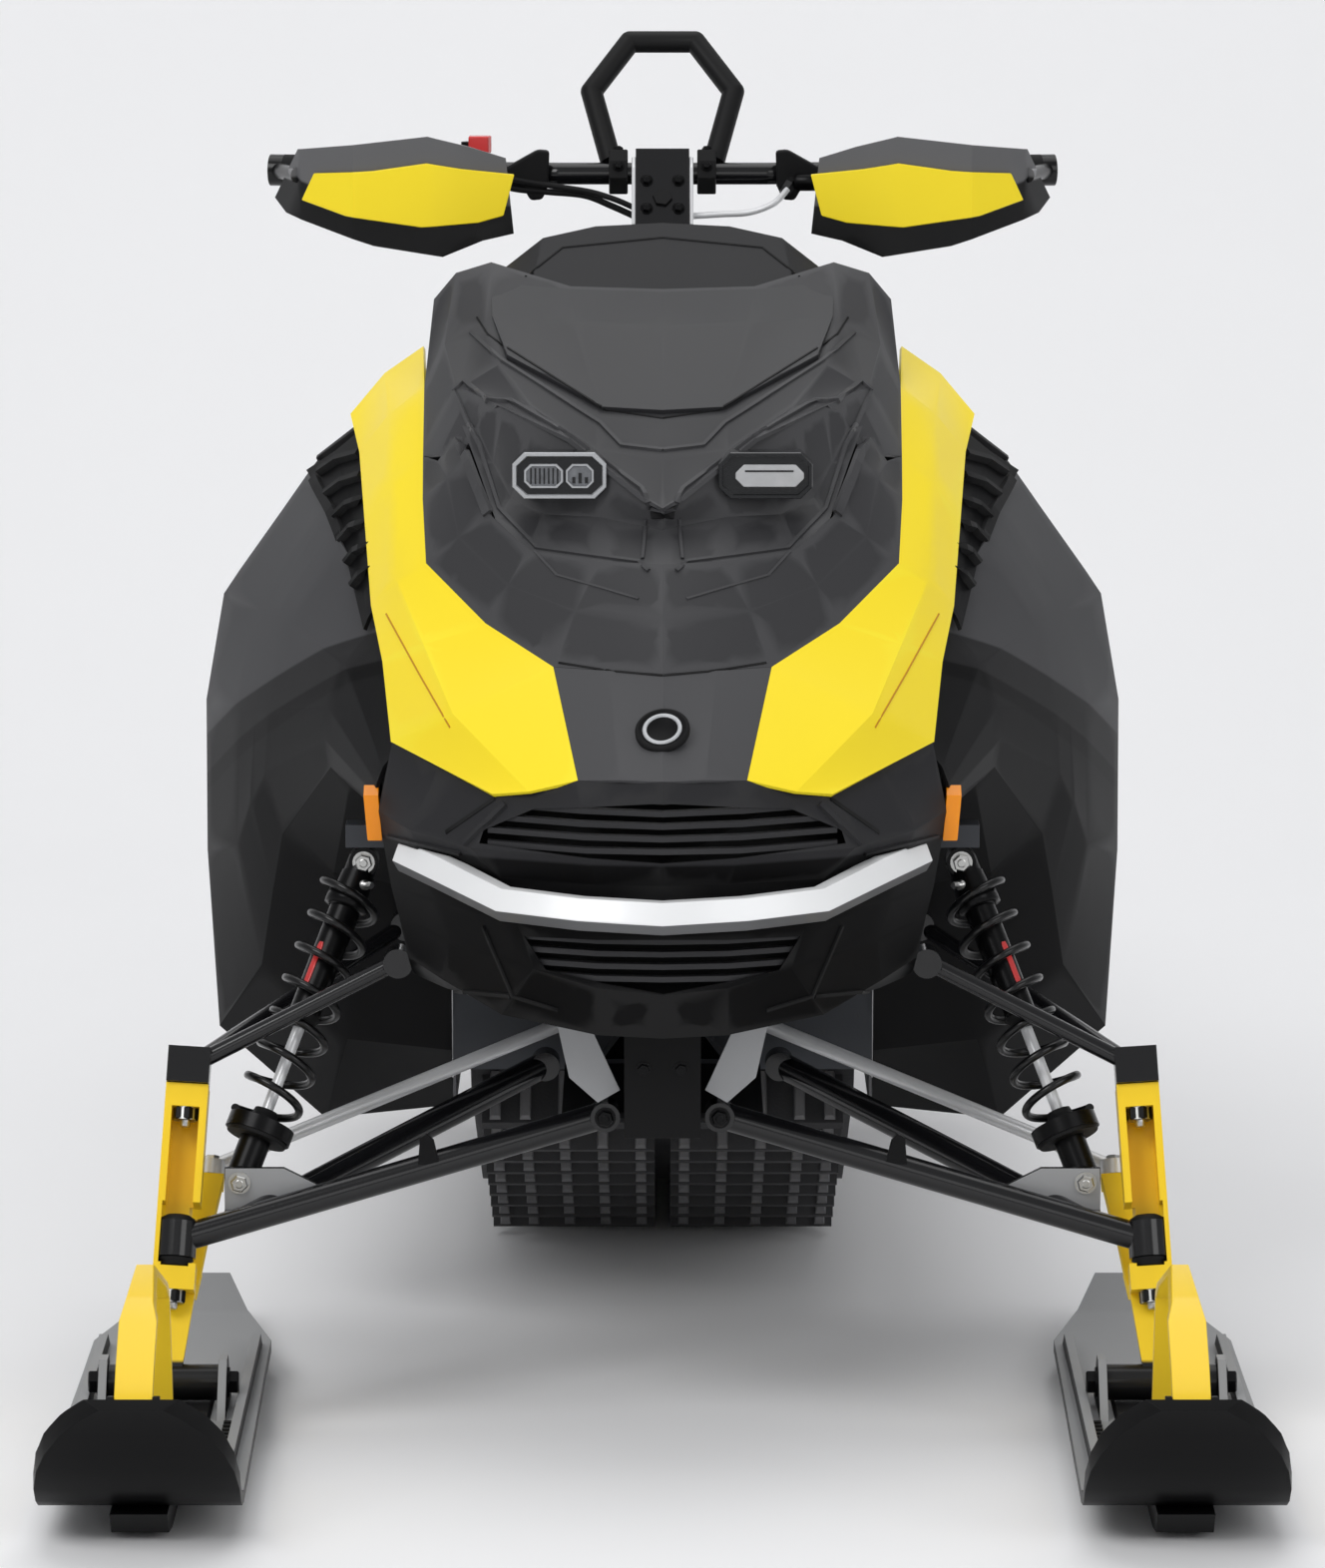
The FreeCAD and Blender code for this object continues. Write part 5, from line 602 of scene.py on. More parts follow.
class Shape:
    """Mesh under construction: several simple forms joined in one piece."""

    def __init__(self) -> None:
        """Starts empty."""
        self.mesh = bmesh.new()

    def add(self, points: Sequence[Vector], faces: Sequence[Sequence[int]], smooth: bool = False) -> None:
        """Adds points and the faces between them.

        Args:
            points: the places.
            faces: the corners of each face, counted from the first of these points.
            smooth: whether these faces are shaded smooth.
        """
        verts = [self.mesh.verts.new(point) for point in points]
        for face in faces:
            self.mesh.faces.new([verts[index] for index in face]).smooth = smooth

    def rings(self, rings: Sequence[Sequence[Vector]], capped: bool = True, smooth: bool = True) -> None:
        """Adds a skin through closed rings of points.

        Args:
            rings: sections with the same number of points.
            capped: whether the two ends are filled.
            smooth: whether the skin is shaded smooth.
        """
        count = len(rings[0])
        faces = []
        for low in range(0, (len(rings) - 1) * count, count):
            for index in range(count):
                after = (index + 1) % count
                faces.append((low + index, low + after, low + count + after, low + count + index))
        self.add([point for ring in rings for point in ring], faces, smooth)
        if capped:
            self.add(rings[0], [tuple(reversed(range(count)))])
            self.add(rings[-1], [tuple(range(count))])

    def turned(self, start: Vector, end: Vector, profile: Flat, sides: int = 24, smooth: bool = True) -> None:
        """Adds a turned form.

        Args:
            start: where the profile's share 0 lies.
            end: where the profile's share 1 lies.
            profile: pairs of share along and radius.
            sides: flats round the form.
            smooth: whether it is shaded smooth.
        """
        axis = end - start
        across = axis.orthogonal().normalized()
        up = axis.cross(across).normalized()
        self.rings([circle(start + axis * share, across, up, radius, sides) for share, radius in profile],
                   smooth=smooth)

    def bolt(self, place: Vector, axis: Vector, radius: float, height: float) -> None:
        """Adds a hexagon bolt head on its washer.

        Args:
            place: where the washer lies.
            axis: the way the head stands out.
            radius: half the width over corners, in metres.
            height: how far the head stands out.
        """
        out = axis.normalized()
        head, top = place + out * (height / 4), place + out * height
        self.turned(place, head, ((0, radius * 1.25), (1, radius * 1.25)), 20)
        self.turned(head, top, ((0, radius), (0.8, radius), (1, radius * 0.86)), 6, smooth=False)
        self.turned(top, place + out * (height * 1.05), ((0, radius * 0.5), (1, radius * 0.4)), 12)

    def tube(self, points: Sequence[Vector], radius: float, sides: int = 12) -> None:
        """Adds a round tube along points.

        Args:
            points: the middle line.
            radius: the tube's radius.
            sides: flats round the tube.
        """
        self.rings([circle(*place, radius, sides) for place in carried_frames(points)])

    def block(self, corner: Vector, along: Vector, across: Vector, up: Vector) -> None:
        """Adds a box from a corner and its three edges."""
        self.prism([corner, corner + along, corner + along + across, corner + across], up)

    def prism(self, outline: Sequence[Vector], push: Vector) -> None:
        """Adds a plate, pushed from its outline along a direction.

        Args:
            outline: the corners.
            push: the way to the other face.
        """
        count = len(outline)
        caps = [tuple(reversed(range(count))), tuple(range(count, 2 * count))]
        sides = [(index, (index + 1) % count, count + (index + 1) % count, count + index) for index in range(count)]
        self.add([*outline, *[point + push for point in outline]], caps + sides)

    def piece(self, name: str, finish: Finish, body: Body = Body.CHASSIS, edge: float = 0.0) -> bpy.types.Object:
        """Ends the mesh, with faces that look outward, as a piece that rides on a body.

        Args:
            name: the piece's name.
            finish: its surface.
            body: the body that carries it.
            edge: reach of the bevel round its edges, or none.

        Returns:
            The piece.
        """
        bmesh.ops.recalc_face_normals(self.mesh, faces=self.mesh.faces[:])
        mesh = bpy.data.meshes.new(name)
        self.mesh.to_mesh(mesh)
        self.mesh.free()
        mesh.materials.append(finish.material())
        piece = placed(name, mesh)
        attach(piece, body.value)
        if edge:
            bevel(piece, edge)
        return piece


def carried_frames(points: Sequence[Vector]) -> List[Tuple[Vector, Vector, Vector]]:
    """Middle points with two directions across the line, carried along without twist.

    Args:
        points: the middle line.

    Returns:
        Each point with its two directions across.
    """
    frames = []
    across = None
    for index, point in enumerate(points):
        along = direction_at(points, index)
        if across is None:
            across = along.orthogonal().normalized()
        across = (across - along * across.dot(along)).normalized()
        frames.append((point, across, along.cross(across)))
    return frames


def direction_at(points: Sequence[Vector], index: int) -> Vector:
    """Direction of a line at one of its points."""
    return (points[min(index + 1, len(points) - 1)] - points[max(index - 1, 0)]).normalized()


def curve_through(points: Sequence[Point], steps: int = 8) -> List[Vector]:
    """Smooth line that passes through every point.

    Args:
        points: the places it passes.
        steps: short runs between two places.

    Returns:
        Points along the line.
    """
    places = [Vector(point) for point in points]
    last = len(places) - 1
    line = []
    for index in range(last):
        near = [places[min(max(index + shift, 0), last)] for shift in (-1, 0, 1, 2)]
        line.extend(spline_place(near, step / steps) for step in range(steps))
    return [*line, places[last]]


def spline_place(near: Sequence[Vector], share: float) -> Vector:
    """Place on the smooth line through four points, between the middle two.

    Args:
        near: the four points.
        share: how far it lies from the second toward the third.

    Returns:
        The place.
    """
    a, b, c, d = near
    start, end, run = (c - a) * 0.5, (d - b) * 0.5, (c - b).length
    start, end = (pull.normalized() * min(pull.length, run) if pull.length > 0 else pull for pull in (start, end))
    square, cube = share * share, share ** 3
    return (b * (2 * cube - 3 * square + 1) + start * (cube - 2 * square + share)
            + c * (3 * square - 2 * cube) + end * (cube - square))


class PhotoFrame:
    """The photograph's camera, which lays lines seen in its picture onto the pieces."""

    PLACE = Vector((0.0, -9.072, 1.75))
    PITCH = math.radians(7.89)
    WIDTH = 1328
    HEIGHT = 1571
    FOCAL = 8790.0
    SENSOR = 36.0

    def direction(self, pixel: Pixel) -> Vector:
        """Direction of the line of sight through a pixel.

        Args:
            pixel: the place in the photograph, from its upper left corner.

        Returns:
            The direction away from the camera.
        """
        right = (pixel[0] - self.WIDTH / 2) / self.FOCAL
        up = (self.HEIGHT / 2 - pixel[1]) / self.FOCAL
        forward = Vector((0, math.cos(self.PITCH), -math.sin(self.PITCH)))
        upward = Vector((0, math.sin(self.PITCH), math.cos(self.PITCH)))
        return (forward + Vector((1, 0, 0)) * right + upward * up).normalized()

    def camera(self) -> None:
        """Adds the scene's camera at the photograph's place."""
        data = bpy.data.cameras.new("photo_camera")
        data.sensor_width = data.sensor_height = self.SENSOR
        data.sensor_fit = "VERTICAL"
        data.lens = self.FOCAL / self.HEIGHT * self.SENSOR
        data.clip_end = 100
        camera = placed("photo_camera", data)
        camera.location = self.PLACE
        camera.rotation_euler = (math.pi / 2 - self.PITCH, 0, 0)
        bpy.context.scene.camera = camera


class Surface:
    """Outer faces of some pieces, as the photograph's lines of sight meet them."""

    def __init__(self, sight: PhotoFrame, *names: str) -> None:
        """Reads the pieces as they stand, modifiers included.

        Args:
            sight: the photograph's camera.
            names: the CAD nodes.
        """
        self.sight = sight
        points: List[Vector] = []
        faces: List[Tuple[int, ...]] = []
        graph = bpy.context.evaluated_depsgraph_get()
        for name in names:
            shown = node_of(name).evaluated_get(graph)
            mesh = shown.to_mesh()
            start = len(points)
            points.extend(shown.matrix_world @ vertex.co for vertex in mesh.vertices)
            faces.extend(tuple(start + index for index in face.vertices) for face in mesh.polygons)
            shown.to_mesh_clear()
        self.tree = BVHTree.FromPolygons(points, faces)

    def at(self, pixel: Pixel) -> Optional[Hit]:
        """Place and outward normal that a pixel shows, or none beside the pieces.

        Args:
            pixel: the place in the photograph.

        Returns:
            The place with its normal, or none.
        """
        look = self.sight.direction(pixel)
        place, normal, _, _ = self.tree.ray_cast(self.sight.PLACE, look)
        if place is None:
            return None
        return place, -normal if normal.dot(look) > 0 else normal

    def met(self, pixels: Sequence[Pixel]) -> List[Hit]:
        """Places and normals that pixels show, without those beside the pieces."""
        return [hit for hit in map(self.at, pixels) if hit is not None]

    def line(self, pixels: Sequence[Pixel], step: float = 8.0) -> List[Hit]:
        """Places and normals along straight runs between pixels.

        Args:
            pixels: the line's corners in the photograph.
            step: spacing of the places, in pixels.

        Returns:
            The places met, with their outward normals.
        """
        along = []
        for start, end in zip(pixels, pixels[1:]):
            count = max(1, round(math.dist(start, end) / step))
            for share in [index / count for index in range(count)]:
                along.append(tuple(a + (b - a) * share for a, b in zip(start, end)))
        return self.met([*along, pixels[-1]])


def strip_on(line: Sequence[Hit], width: float, height: float, sunk: float = 0.001, taper: float = 0.7) -> Shape:
    """Low strip along a line on a surface.

    Args:
        line: places with outward normals.
        width: the strip's width.
        height: how far it stands out.
        sunk: how far its foot lies under the surface.
        taper: share of the width that its top keeps.

    Returns:
        The strip under construction.
    """
    places = [place for place, _ in line]
    rings = []
    for index, (place, normal) in enumerate(line):
        across = direction_at(places, index).cross(normal).normalized() * (width / 2)
        low = place - normal * sunk
        high = place + normal * height
        rings.append([low - across, high - across * taper, high + across * taper, low + across])
    shape = Shape()
    shape.rings(rings, smooth=False)
    return shape


@dataclass(frozen=True)
class Seam:
    """Line on the bodywork, drawn on the photograph's left half and made on both sides.

    Without sizes it is a panel gap.
    """

    name: str
    finish: Finish
    pixels: Sequence[Pixel]
    width: float = 0.0026
    height: float = 0.0008


@dataclass
class Bodywork:
    """Details of the nose, hood and side panels: panel lines, lips, the badge's boss, painted-shade lines, plates and
    screens.
    """

    sight: PhotoFrame
    badge: Pixel = (664, 732)
    behind: float = 0.030
    screen: float = 0.002
    shield_front: Point = (0.246, -0.866, 0.578)
    shield_back: Point = (0.292, -0.700, 0.578)
    shade_plate_rise: float = 0.077

    SHELL = ("hood", "windshield", "console")
    UPPER = (
        (SHELL, (
            Seam("shield_edge", Shade.DARK, ((478, 318), (489, 335), (503, 345), (608, 411), (664, 419))),
            Seam("shield_lip", Shade.SHELL, ((472, 333), (503, 361), (602, 424), (623, 446), (664, 451)),
                 0.005, 0.0022),
            Seam("brow", Shade.SHELL, ((455, 391), (466, 382), (489, 402), (512, 402), (573, 438), (643, 490),
                                       (653, 509), (664, 512)), 0.006, 0.003),
            Seam("pocket_rim", Shade.SHELL, ((455, 391), (470, 425), (481, 445), (500, 509), (538, 549), (640, 563),
                                             (650, 572)), 0.005, 0.0022),
            Seam("spine_edge", Shade.SHELL, ((647, 520), (646, 540), (644, 560)), 0.004, 0.0018),
            Seam("brow_gap", Shade.DARK, ((653, 515), (664, 515)), 0.011, 0.002),
            Seam("pocket_wall", Shade.SHELL, ((463, 447), (475, 480), (489, 515)), 0.012, 0.003),
            Seam("hood_step", Shade.SHELL, ((536, 552), (558, 576), (600, 588), (640, 600)), 0.003, 0.0012))),
        (("nose_fenders",), (
            # The crease line is painted shade.
            Seam("fender_crease_shade", PanelShade.CREASE, ((387, 615), (420, 675), (451, 729)), 0.0022, 0.0006),)),
        (SHELL, (
            Seam("console_line", Shade.DARK, ((527, 277), (564, 248), (664, 238))),)),
        (("nose_panel", "hood"), (
            Seam("nose_line", Shade.DARK, ((560, 664), (610, 672), (664, 677))),)))
    LOWER = (
        (("belly_pan",), (
            # The dark channel line is painted shade in the channel.
            Seam("cheek_channel_shade", Shade.DARK, ((496, 800), (447, 834)), 0.006, 0.001),
            Seam("channel_lip", PanelShade.BELLY, ((507, 806), (466, 846)), 0.007, 0.004),
            Seam("cheek_edge", PanelShade.BELLY, ((389, 838), (420, 845), (462, 855)), 0.004, 0.003),
            Seam("chin_side", Shade.DARK, ((484, 928), (514, 998), (560, 1012)), 0.004, 0.002),
            Seam("chin_edge", Shade.DARK, ((426, 990), (512, 998)), 0.005, 0.002))),
        (("side_vents",), (
            Seam("vent_seal", Shade.RUBBER, ((315, 480), (322, 495), (332, 512), (341, 535), (347, 556)),
                 0.014, 0.004),
            *(Seam(f"vent_fin_{index + 1}", Shade.DARK, line, 0.009, 0.007) for index, line in enumerate((
                ((322, 474), (340, 462), (362, 456)), ((329, 496), (345, 484), (364, 478)),
                ((337, 519), (350, 507), (366, 501)), ((343, 543), (354, 530), (368, 524)),
                ((349, 566), (359, 553), (370, 547)), ((355, 589), (364, 577), (372, 571))))))))
    SKID_BOLTS = ((645, 1072), (683, 1072))
    GRILLES = (((512, 790), (816, 790), (862, 852), (664, 872), (466, 852)),
               ((512, 927), (816, 927), (797, 977), (664, 1006), (531, 977)))

    def build(self) -> None:
        """Adds every line and small part of the bodywork."""
        self.seams(self.UPPER)
        self.badge_disc()
        self.seams(self.LOWER)
        self.skid_bolts()
        self.gap_shade_plates()
        self.grille_shade_screen()

    def seams(self, groups: Sequence[Tuple[Sequence[str], Sequence[Seam]]]) -> None:
        """Adds lines on both halves of the bodywork.

        Args:
            groups: CAD nodes, each time with the lines that lie on them.
        """
        for names, seams in groups:
            surface = Surface(self.sight, *names)
            for seam in seams:
                for side in Side:
                    pixels = [(u if side is Side.RIGHT else self.sight.WIDTH - u, v) for u, v in seam.pixels]
                    line = surface.line(pixels)
                    if len(line) < 2:
                        LOG.warning("%s meets nothing on the %s", seam.name, side.word)
                        continue
                    strip_on(line, seam.width, seam.height).piece(f"{seam.name}_{side.word}", seam.finish)

    def badge_disc(self) -> None:
        """Adds the plain round boss with a pale ring where the nose carries its badge."""
        boss, ring = Shape(), Shape()
        for place, normal in Surface(self.sight, "nose_panel", "hood").met([self.badge]):
            boss.turned(place - normal * 0.002, place + normal * 0.003,
                        ((0, 0.0255), (0.7, 0.0255), (1, 0.0240), (1, 0.0215), (0.8, 0.0208), (0.8, 0.0)), 48)
            ring.turned(place + normal * 0.001, place + normal * 0.0032,
                        ((0, 0.0185), (0.8, 0.0185), (1, 0.0178), (1, 0.0152), (0.8, 0.0145), (0, 0.0145)), 48)
        boss.piece("nose_boss", Shade.DARK)
        ring.piece("boss_ring", LampShade.RIM)

    def skid_bolts(self) -> None:
        """Adds two bolts through the skid plate under the nose."""
        shape = Shape()
        for place, normal in Surface(self.sight, "front_subframe").met(self.SKID_BOLTS):
            shape.bolt(place, normal, 0.006, 0.004)
        shape.piece("skid_bolts", Shade.DAMPER)

    def gap_shade_plates(self) -> None:
        """Adds dark plates in the gap between the nose and the side panels: dark inner parts, and painted shade over
        them.
        """
        shape = Shape()
        for side in Side:
            front, back = side.at(self.shield_front), side.at(self.shield_back)
            shape.block(front, back - front, side.at((0.002, -0.0006, 0)), UP * self.shade_plate_rise)
        shape.piece("gap_shade_plates", Shade.DARK)

    def grille_shade_screen(self) -> None:
        """Adds dark screens behind both grilles: painted shade seen between the bars."""
        surface, shape = Surface(self.sight, "belly_pan", "grilles"), Shape()
        for outline in self.GRILLES:
            shape.prism([place - FORWARD * self.behind for place, _ in surface.met(outline)], -FORWARD * self.screen)
        shape.piece("grille_shade_screen", Shade.DARK)


@dataclass
class Lamps:
    """Fronts of the headlights: rims, cells, glass, flutes and the dark band."""

    front: float = -0.812
    low: float = 0.878
    high: float = 0.922
    inner: float = 0.053
    outer: float = 0.142
    corner: float = 0.011
    rim_width: float = 0.0042
    rim_height: float = 0.0035
    glass: float = 0.0008
    flute: float = 0.0012

    LARGE_CELL = (0.094, 0.131, 0.888, 0.911)
    SMALL_CELL = (0.065, 0.0915, 0.888, 0.911)
    LARGE_GLASS = (0.0962, 0.1288, 0.8902, 0.9088)
    SMALL_GLASS = (0.067, 0.0895, 0.8902, 0.9088)
    PALE_CELL = (0.069, 0.134, 0.889, 0.9105)

    def build(self) -> None:
        """Adds the fronts of both headlights."""
        rim = self.cut_box(self.inner, self.outer, self.low, self.high, self.corner)
        for side, finish in ((Side.LEFT, LampShade.SMOKED), (Side.RIGHT, LampShade.RIM)):
            self.frame(f"lamp_rim_{side.word}", side, rim, self.rim_width, self.rim_height, finish)
        self.split_lens()
        self.pale_lens()

    def cut_box(self, left: float, right: float, low: float, high: float, corner: float) -> Flat:
        """Outline with cut corners between four edges, as pairs across and up."""
        return [(left, low + corner), (left + corner, low), (right - corner, low), (right, low + corner),
                (right, high - corner), (right - corner, high), (left + corner, high), (left, high - corner)]

    def frame(self, name: str, side: Side, outline: Flat, width: float, height: float, finish: Finish) -> None:
        """Adds a raised frame that follows an outline on a lamp's face.

        Args:
            name: the piece's name.
            side: the lamp's side.
            outline: outer edge as pairs across and up.
            width: width of the frame.
            height: how far it stands out.
            finish: its surface.
        """
        middle = (sum(x for x, _ in outline) / len(outline), sum(z for _, z in outline) / len(outline))
        half = max(abs(x - middle[0]) for x, _ in outline), max(abs(z - middle[1]) for _, z in outline)
        back = self.front + 0.0005
        rings = []
        for x, z in [*outline, outline[0]]:
            inner = (middle[0] + (x - middle[0]) * (1 - width / half[0]),
                     middle[1] + (z - middle[1]) * (1 - width / half[1]))
            rings.append([side.at(point) for point in (
                (x, back, z), (x, self.front - height * 0.6, z),
                (x * 0.85 + inner[0] * 0.15, self.front - height, z * 0.85 + inner[1] * 0.15),
                (x * 0.2 + inner[0] * 0.8, self.front - height, z * 0.2 + inner[1] * 0.8),
                (inner[0], back, inner[1]))])
        shape = Shape()
        shape.rings(rings, capped=False, smooth=False)
        shape.piece(name, finish)

    def plate(self, name: str, side: Side, outline: Flat, height: float, finish: Finish) -> None:
        """Adds a flat raised plate with rounded edges on a lamp's face.

        Args:
            name: the piece's name.
            side: the lamp's side.
            outline: its edge as pairs across and up.
            height: how far it stands out.
            finish: its surface.
        """
        shape = Shape()
        shape.prism([side.at((x, self.front + 0.0003, z)) for x, z in outline], FORWARD * height)
        shape.piece(name, finish, edge=height * 0.4)

    def split_lens(self) -> None:
        """Adds the rider's right lens: a large and a small cell with flutes over the reflector."""
        side = Side.RIGHT
        self.frame("lamp_cell_large", side, self.cut_box(*self.LARGE_CELL, 0.006), 0.0024, 0.0026, LampShade.RIM)
        self.frame("lamp_cell_small", side, self.cut_box(*self.SMALL_CELL, 0.006), 0.0022, 0.0026, LampShade.RIM)
        self.plate("lamp_cell_large_glass", side, self.cut_box(*self.LARGE_GLASS, 0.005), self.glass,
                   LampShade.MIRROR)
        self.plate("lamp_cell_small_glass", side, self.cut_box(*self.SMALL_GLASS, 0.005), self.glass,
                   LampShade.MIRROR)
        large = [(0.0985 + index * 0.0042, 0.892, 0.0016, 0.015) for index in range(7)]
        small = [(0.0705 + index * 0.006, 0.8925, 0.003, 0.006 + 0.004 * (index % 2)) for index in range(3)]
        shape = Shape()
        for left, low, wide, tall in large + small:
            shape.block(side.at((left, self.front - self.glass, low)), Vector((-wide, 0, 0)), FORWARD * self.flute,
                        UP * tall)
        shape.piece("lamp_flutes_right", LampShade.SMOKED)

    def pale_lens(self) -> None:
        """Adds the rider's left lens: one pale oval with a dark band along it and teeth under it."""
        side = Side.LEFT
        self.plate("lamp_lens_left", side, self.cut_box(*self.PALE_CELL, 0.008), 0.0028, LampShade.PALE_LENS)
        shape = Shape()
        shape.block(side.at((0.078, self.front - 0.0026, 0.9035)), Vector((0.046, 0, 0)), FORWARD * 0.0006,
                    UP * 0.0016)
        for index in range(9):
            shape.block(side.at((0.074 + index * 0.0064, self.front - 0.0002, 0.8845)), Vector((0.003, 0, 0)),
                        FORWARD * 0.0016, UP * 0.003)
        shape.piece("lamp_band_left", LampShade.SMOKED)


@dataclass
class Suspension:
    """Bright shafts, bolts, brackets and marks of the front suspension."""

    foot: Point = (0.399, -0.908, 0.242)
    head: Point = (0.285, -0.783, 0.528)
    eye_length: float = 0.029
    perch_rise: float = 0.058
    rod_share: float = 0.5
    body_radius: float = 0.015
    stripe_height: float = 0.0007
    stripe_depth: float = 0.0004
    lower_joint: Point = (0.457, -0.960, 0.193)
    upper_joint: Point = (0.447, -0.903, 0.350)
    lower_front: Point = (0.054, -0.900, 0.302)
    rod_end: Point = (0.430, -0.838, 0.240)
    tab: Point = (0.2225, -0.9375, 0.268)

    SHAFT = ((0, 0.0057), (1, 0.0057))
    WIPER = ((0, 0.0095), (0.2, 0.012), (0.75, 0.0158), (1, 0.0158))
    PERCH = ((0, 0.019), (0.3, 0.019), (0.45, 0.013), (1, 0.0115))
    COLLAR = ((0, 0.0290), (0.5, 0.0305), (1, 0.0290))
    RING = ((0, 0.0165), (0.1, 0.0215), (0.9, 0.0215), (1, 0.0165))
    VALVE = ((0, 0.005), (0.35, 0.005), (0.36, 0.0034), (0.9, 0.0034), (1, 0.0026))
    STRIPE = ((0.196, 0.14), (0.200, 0.2), (0.236, 0.2), (0.240, 0.14))
    OUTER_PLATE = ((0.4125, 0.2555), (0.3572, 0.2555), (0.3165, 0.2352), (0.4125, 0.2108))
    INNER_PLATE = ((0.100, 0.3965), (0.066, 0.3870), (0.040, 0.3300), (0.061, 0.3180), (0.088, 0.3420))
    TAB = ((-0.012, -0.004), (0.008, -0.009), (0.006, 0.018), (-0.001, 0.022), (-0.007, 0.016))
    TIP = ((0, 0.0052), (0.8, 0.0052), (1, 0.0042))
    NUT = ((0, 0.0118), (0.1, 0.0126), (0.9, 0.0126), (1, 0.0118))
    LOW_BOOT = ((0, 0.0115), (0.25, 0.0155), (0.5, 0.0140), (0.75, 0.0175), (1, 0.0165))
    HIGH_BOOT = ((0, 0.0172), (0.5, 0.0160), (1, 0.0105))

    def build(self) -> None:
        """Adds every part on both sides."""
        for side in Side:
            self.shaft(side)
            self.mark(side)
            self.head_parts(side)
            self.brackets(side)
            self.joint_parts(side)

    def along(self, side: Side, rise: float) -> Vector:
        """Place on the shock's middle line at a rise from its foot."""
        foot, head = side.at(self.foot), side.at(self.head)
        return foot + (head - foot).normalized() * rise

    def length(self) -> float:
        """Length of the shock between its eyes."""
        return (Vector(self.head) - Vector(self.foot)).length

    def turned_on(self, shape: Shape, side: Side, low: float, high: float, profile: Flat, sides: int = 28) -> None:
        """Adds a turned form between two rises on the shock's middle line.

        Args:
            shape: what it joins.
            side: the shock's side.
            low: rise of its start.
            high: rise of its end.
            profile: pairs of share along and radius.
            sides: flats round it.
        """
        shape.turned(self.along(side, low), self.along(side, high), profile, sides)

    def shaft(self, side: Side) -> None:
        """Adds the bright shaft, its wiper and the spring's lower collar.

        Args:
            side: the side of the snowmobile.
        """
        middle, perch = self.length() * self.rod_share, self.perch_rise
        shape, wiper = Shape(), Shape()
        self.turned_on(shape, side, perch - 0.001, middle, self.SHAFT)
        shape.piece(f"shock_shaft_{side.word}", Shade.ROD)
        self.turned_on(wiper, side, middle - 0.010, middle + 0.004, self.WIPER)
        self.turned_on(wiper, side, perch, perch + 0.012, self.PERCH)
        self.turned_on(wiper, side, perch - 0.0175, perch - 0.011, self.COLLAR, 32)
        wiper.piece(f"shock_wiper_{side.word}", Shade.RUBBER)

    def mark(self, side: Side) -> None:
        """Adds the red stripe on the outer front of the shock body.

        Args:
            side: the side of the snowmobile.
        """
        line = (side.at(self.head) - side.at(self.foot)).normalized()
        look = Vector((side.value * 0.75, -1.0, 0.0))
        look = (look - line * look.dot(line)).normalized()
        beside = line.cross(look)
        rings = []
        for rise, half in self.STRIPE:
            middle = self.along(side, rise)
            arc = [half * share for share in (-1, -0.6, -0.2, 0.2, 0.6, 1)]
            rings.append([middle + (look * math.cos(turn) + beside * math.sin(turn)) * radius
                          for turns, radius in ((arc, self.body_radius + self.stripe_height),
                                                (arc[::-1], self.body_radius - self.stripe_depth))
                          for turn in turns])
        shape = Shape()
        shape.rings(rings)
        shape.piece(f"shock_stripe_{side.word}", Shade.RED)

    def head_parts(self, side: Side) -> None:
        """Adds the upper collar, the charging valve and the bolts of both eyes.

        Args:
            side: the side of the snowmobile.
        """
        total = self.length()
        collar, valve = Shape(), Shape()
        self.turned_on(collar, side, total - 0.052, total - 0.036, self.RING, 32)
        self.turned_on(collar, side, total - 0.036, total - 0.016, ((0, 0.0175), (1, 0.0162)), 32)
        collar.piece(f"shock_collar_{side.word}", Shade.DAMPER)
        place = self.along(side, total - 0.026)
        out = Vector((side.value * -0.55, -0.8, 0.1)).normalized()
        valve.turned(place + out * 0.014, place + out * 0.031, self.VALVE, 16)
        for centre, reach in ((self.foot, 0.0068), (self.head, 0.0)):
            front = side.at(centre) + Vector((0, -self.eye_length / 2 - reach, 0))
            valve.bolt(front, FORWARD, 0.0085, 0.008)
        valve.piece(f"shock_bolts_{side.word}", Shade.STEEL)

    def brackets(self, side: Side) -> None:
        """Adds the pressed plates at the outer and inner ends of the lower arm.

        Args:
            side: the side of the snowmobile.
        """
        plate, parts = Shape(), Shape()
        front = self.foot[1] - self.eye_length / 2 - 0.0063
        plate.prism([side.at((x, front, z)) for x, z in self.OUTER_PLATE], FORWARD * 0.0006)
        plate.prism([side.at((x, -0.9235, z)) for x, z in self.INNER_PLATE], FORWARD * 0.003)
        plate.piece(f"arm_plates_{side.word}", Shade.GUSSET, edge=0.0008)
        parts.bolt(side.at(self.lower_front) + FORWARD * 0.018, FORWARD, 0.008, 0.007)
        parts.prism([side.at(self.tab) + side.at((x, 0, z)) for x, z in self.TAB], -FORWARD * 0.005)
        parts.piece(f"arm_fittings_{side.word}", Shade.DAMPER)

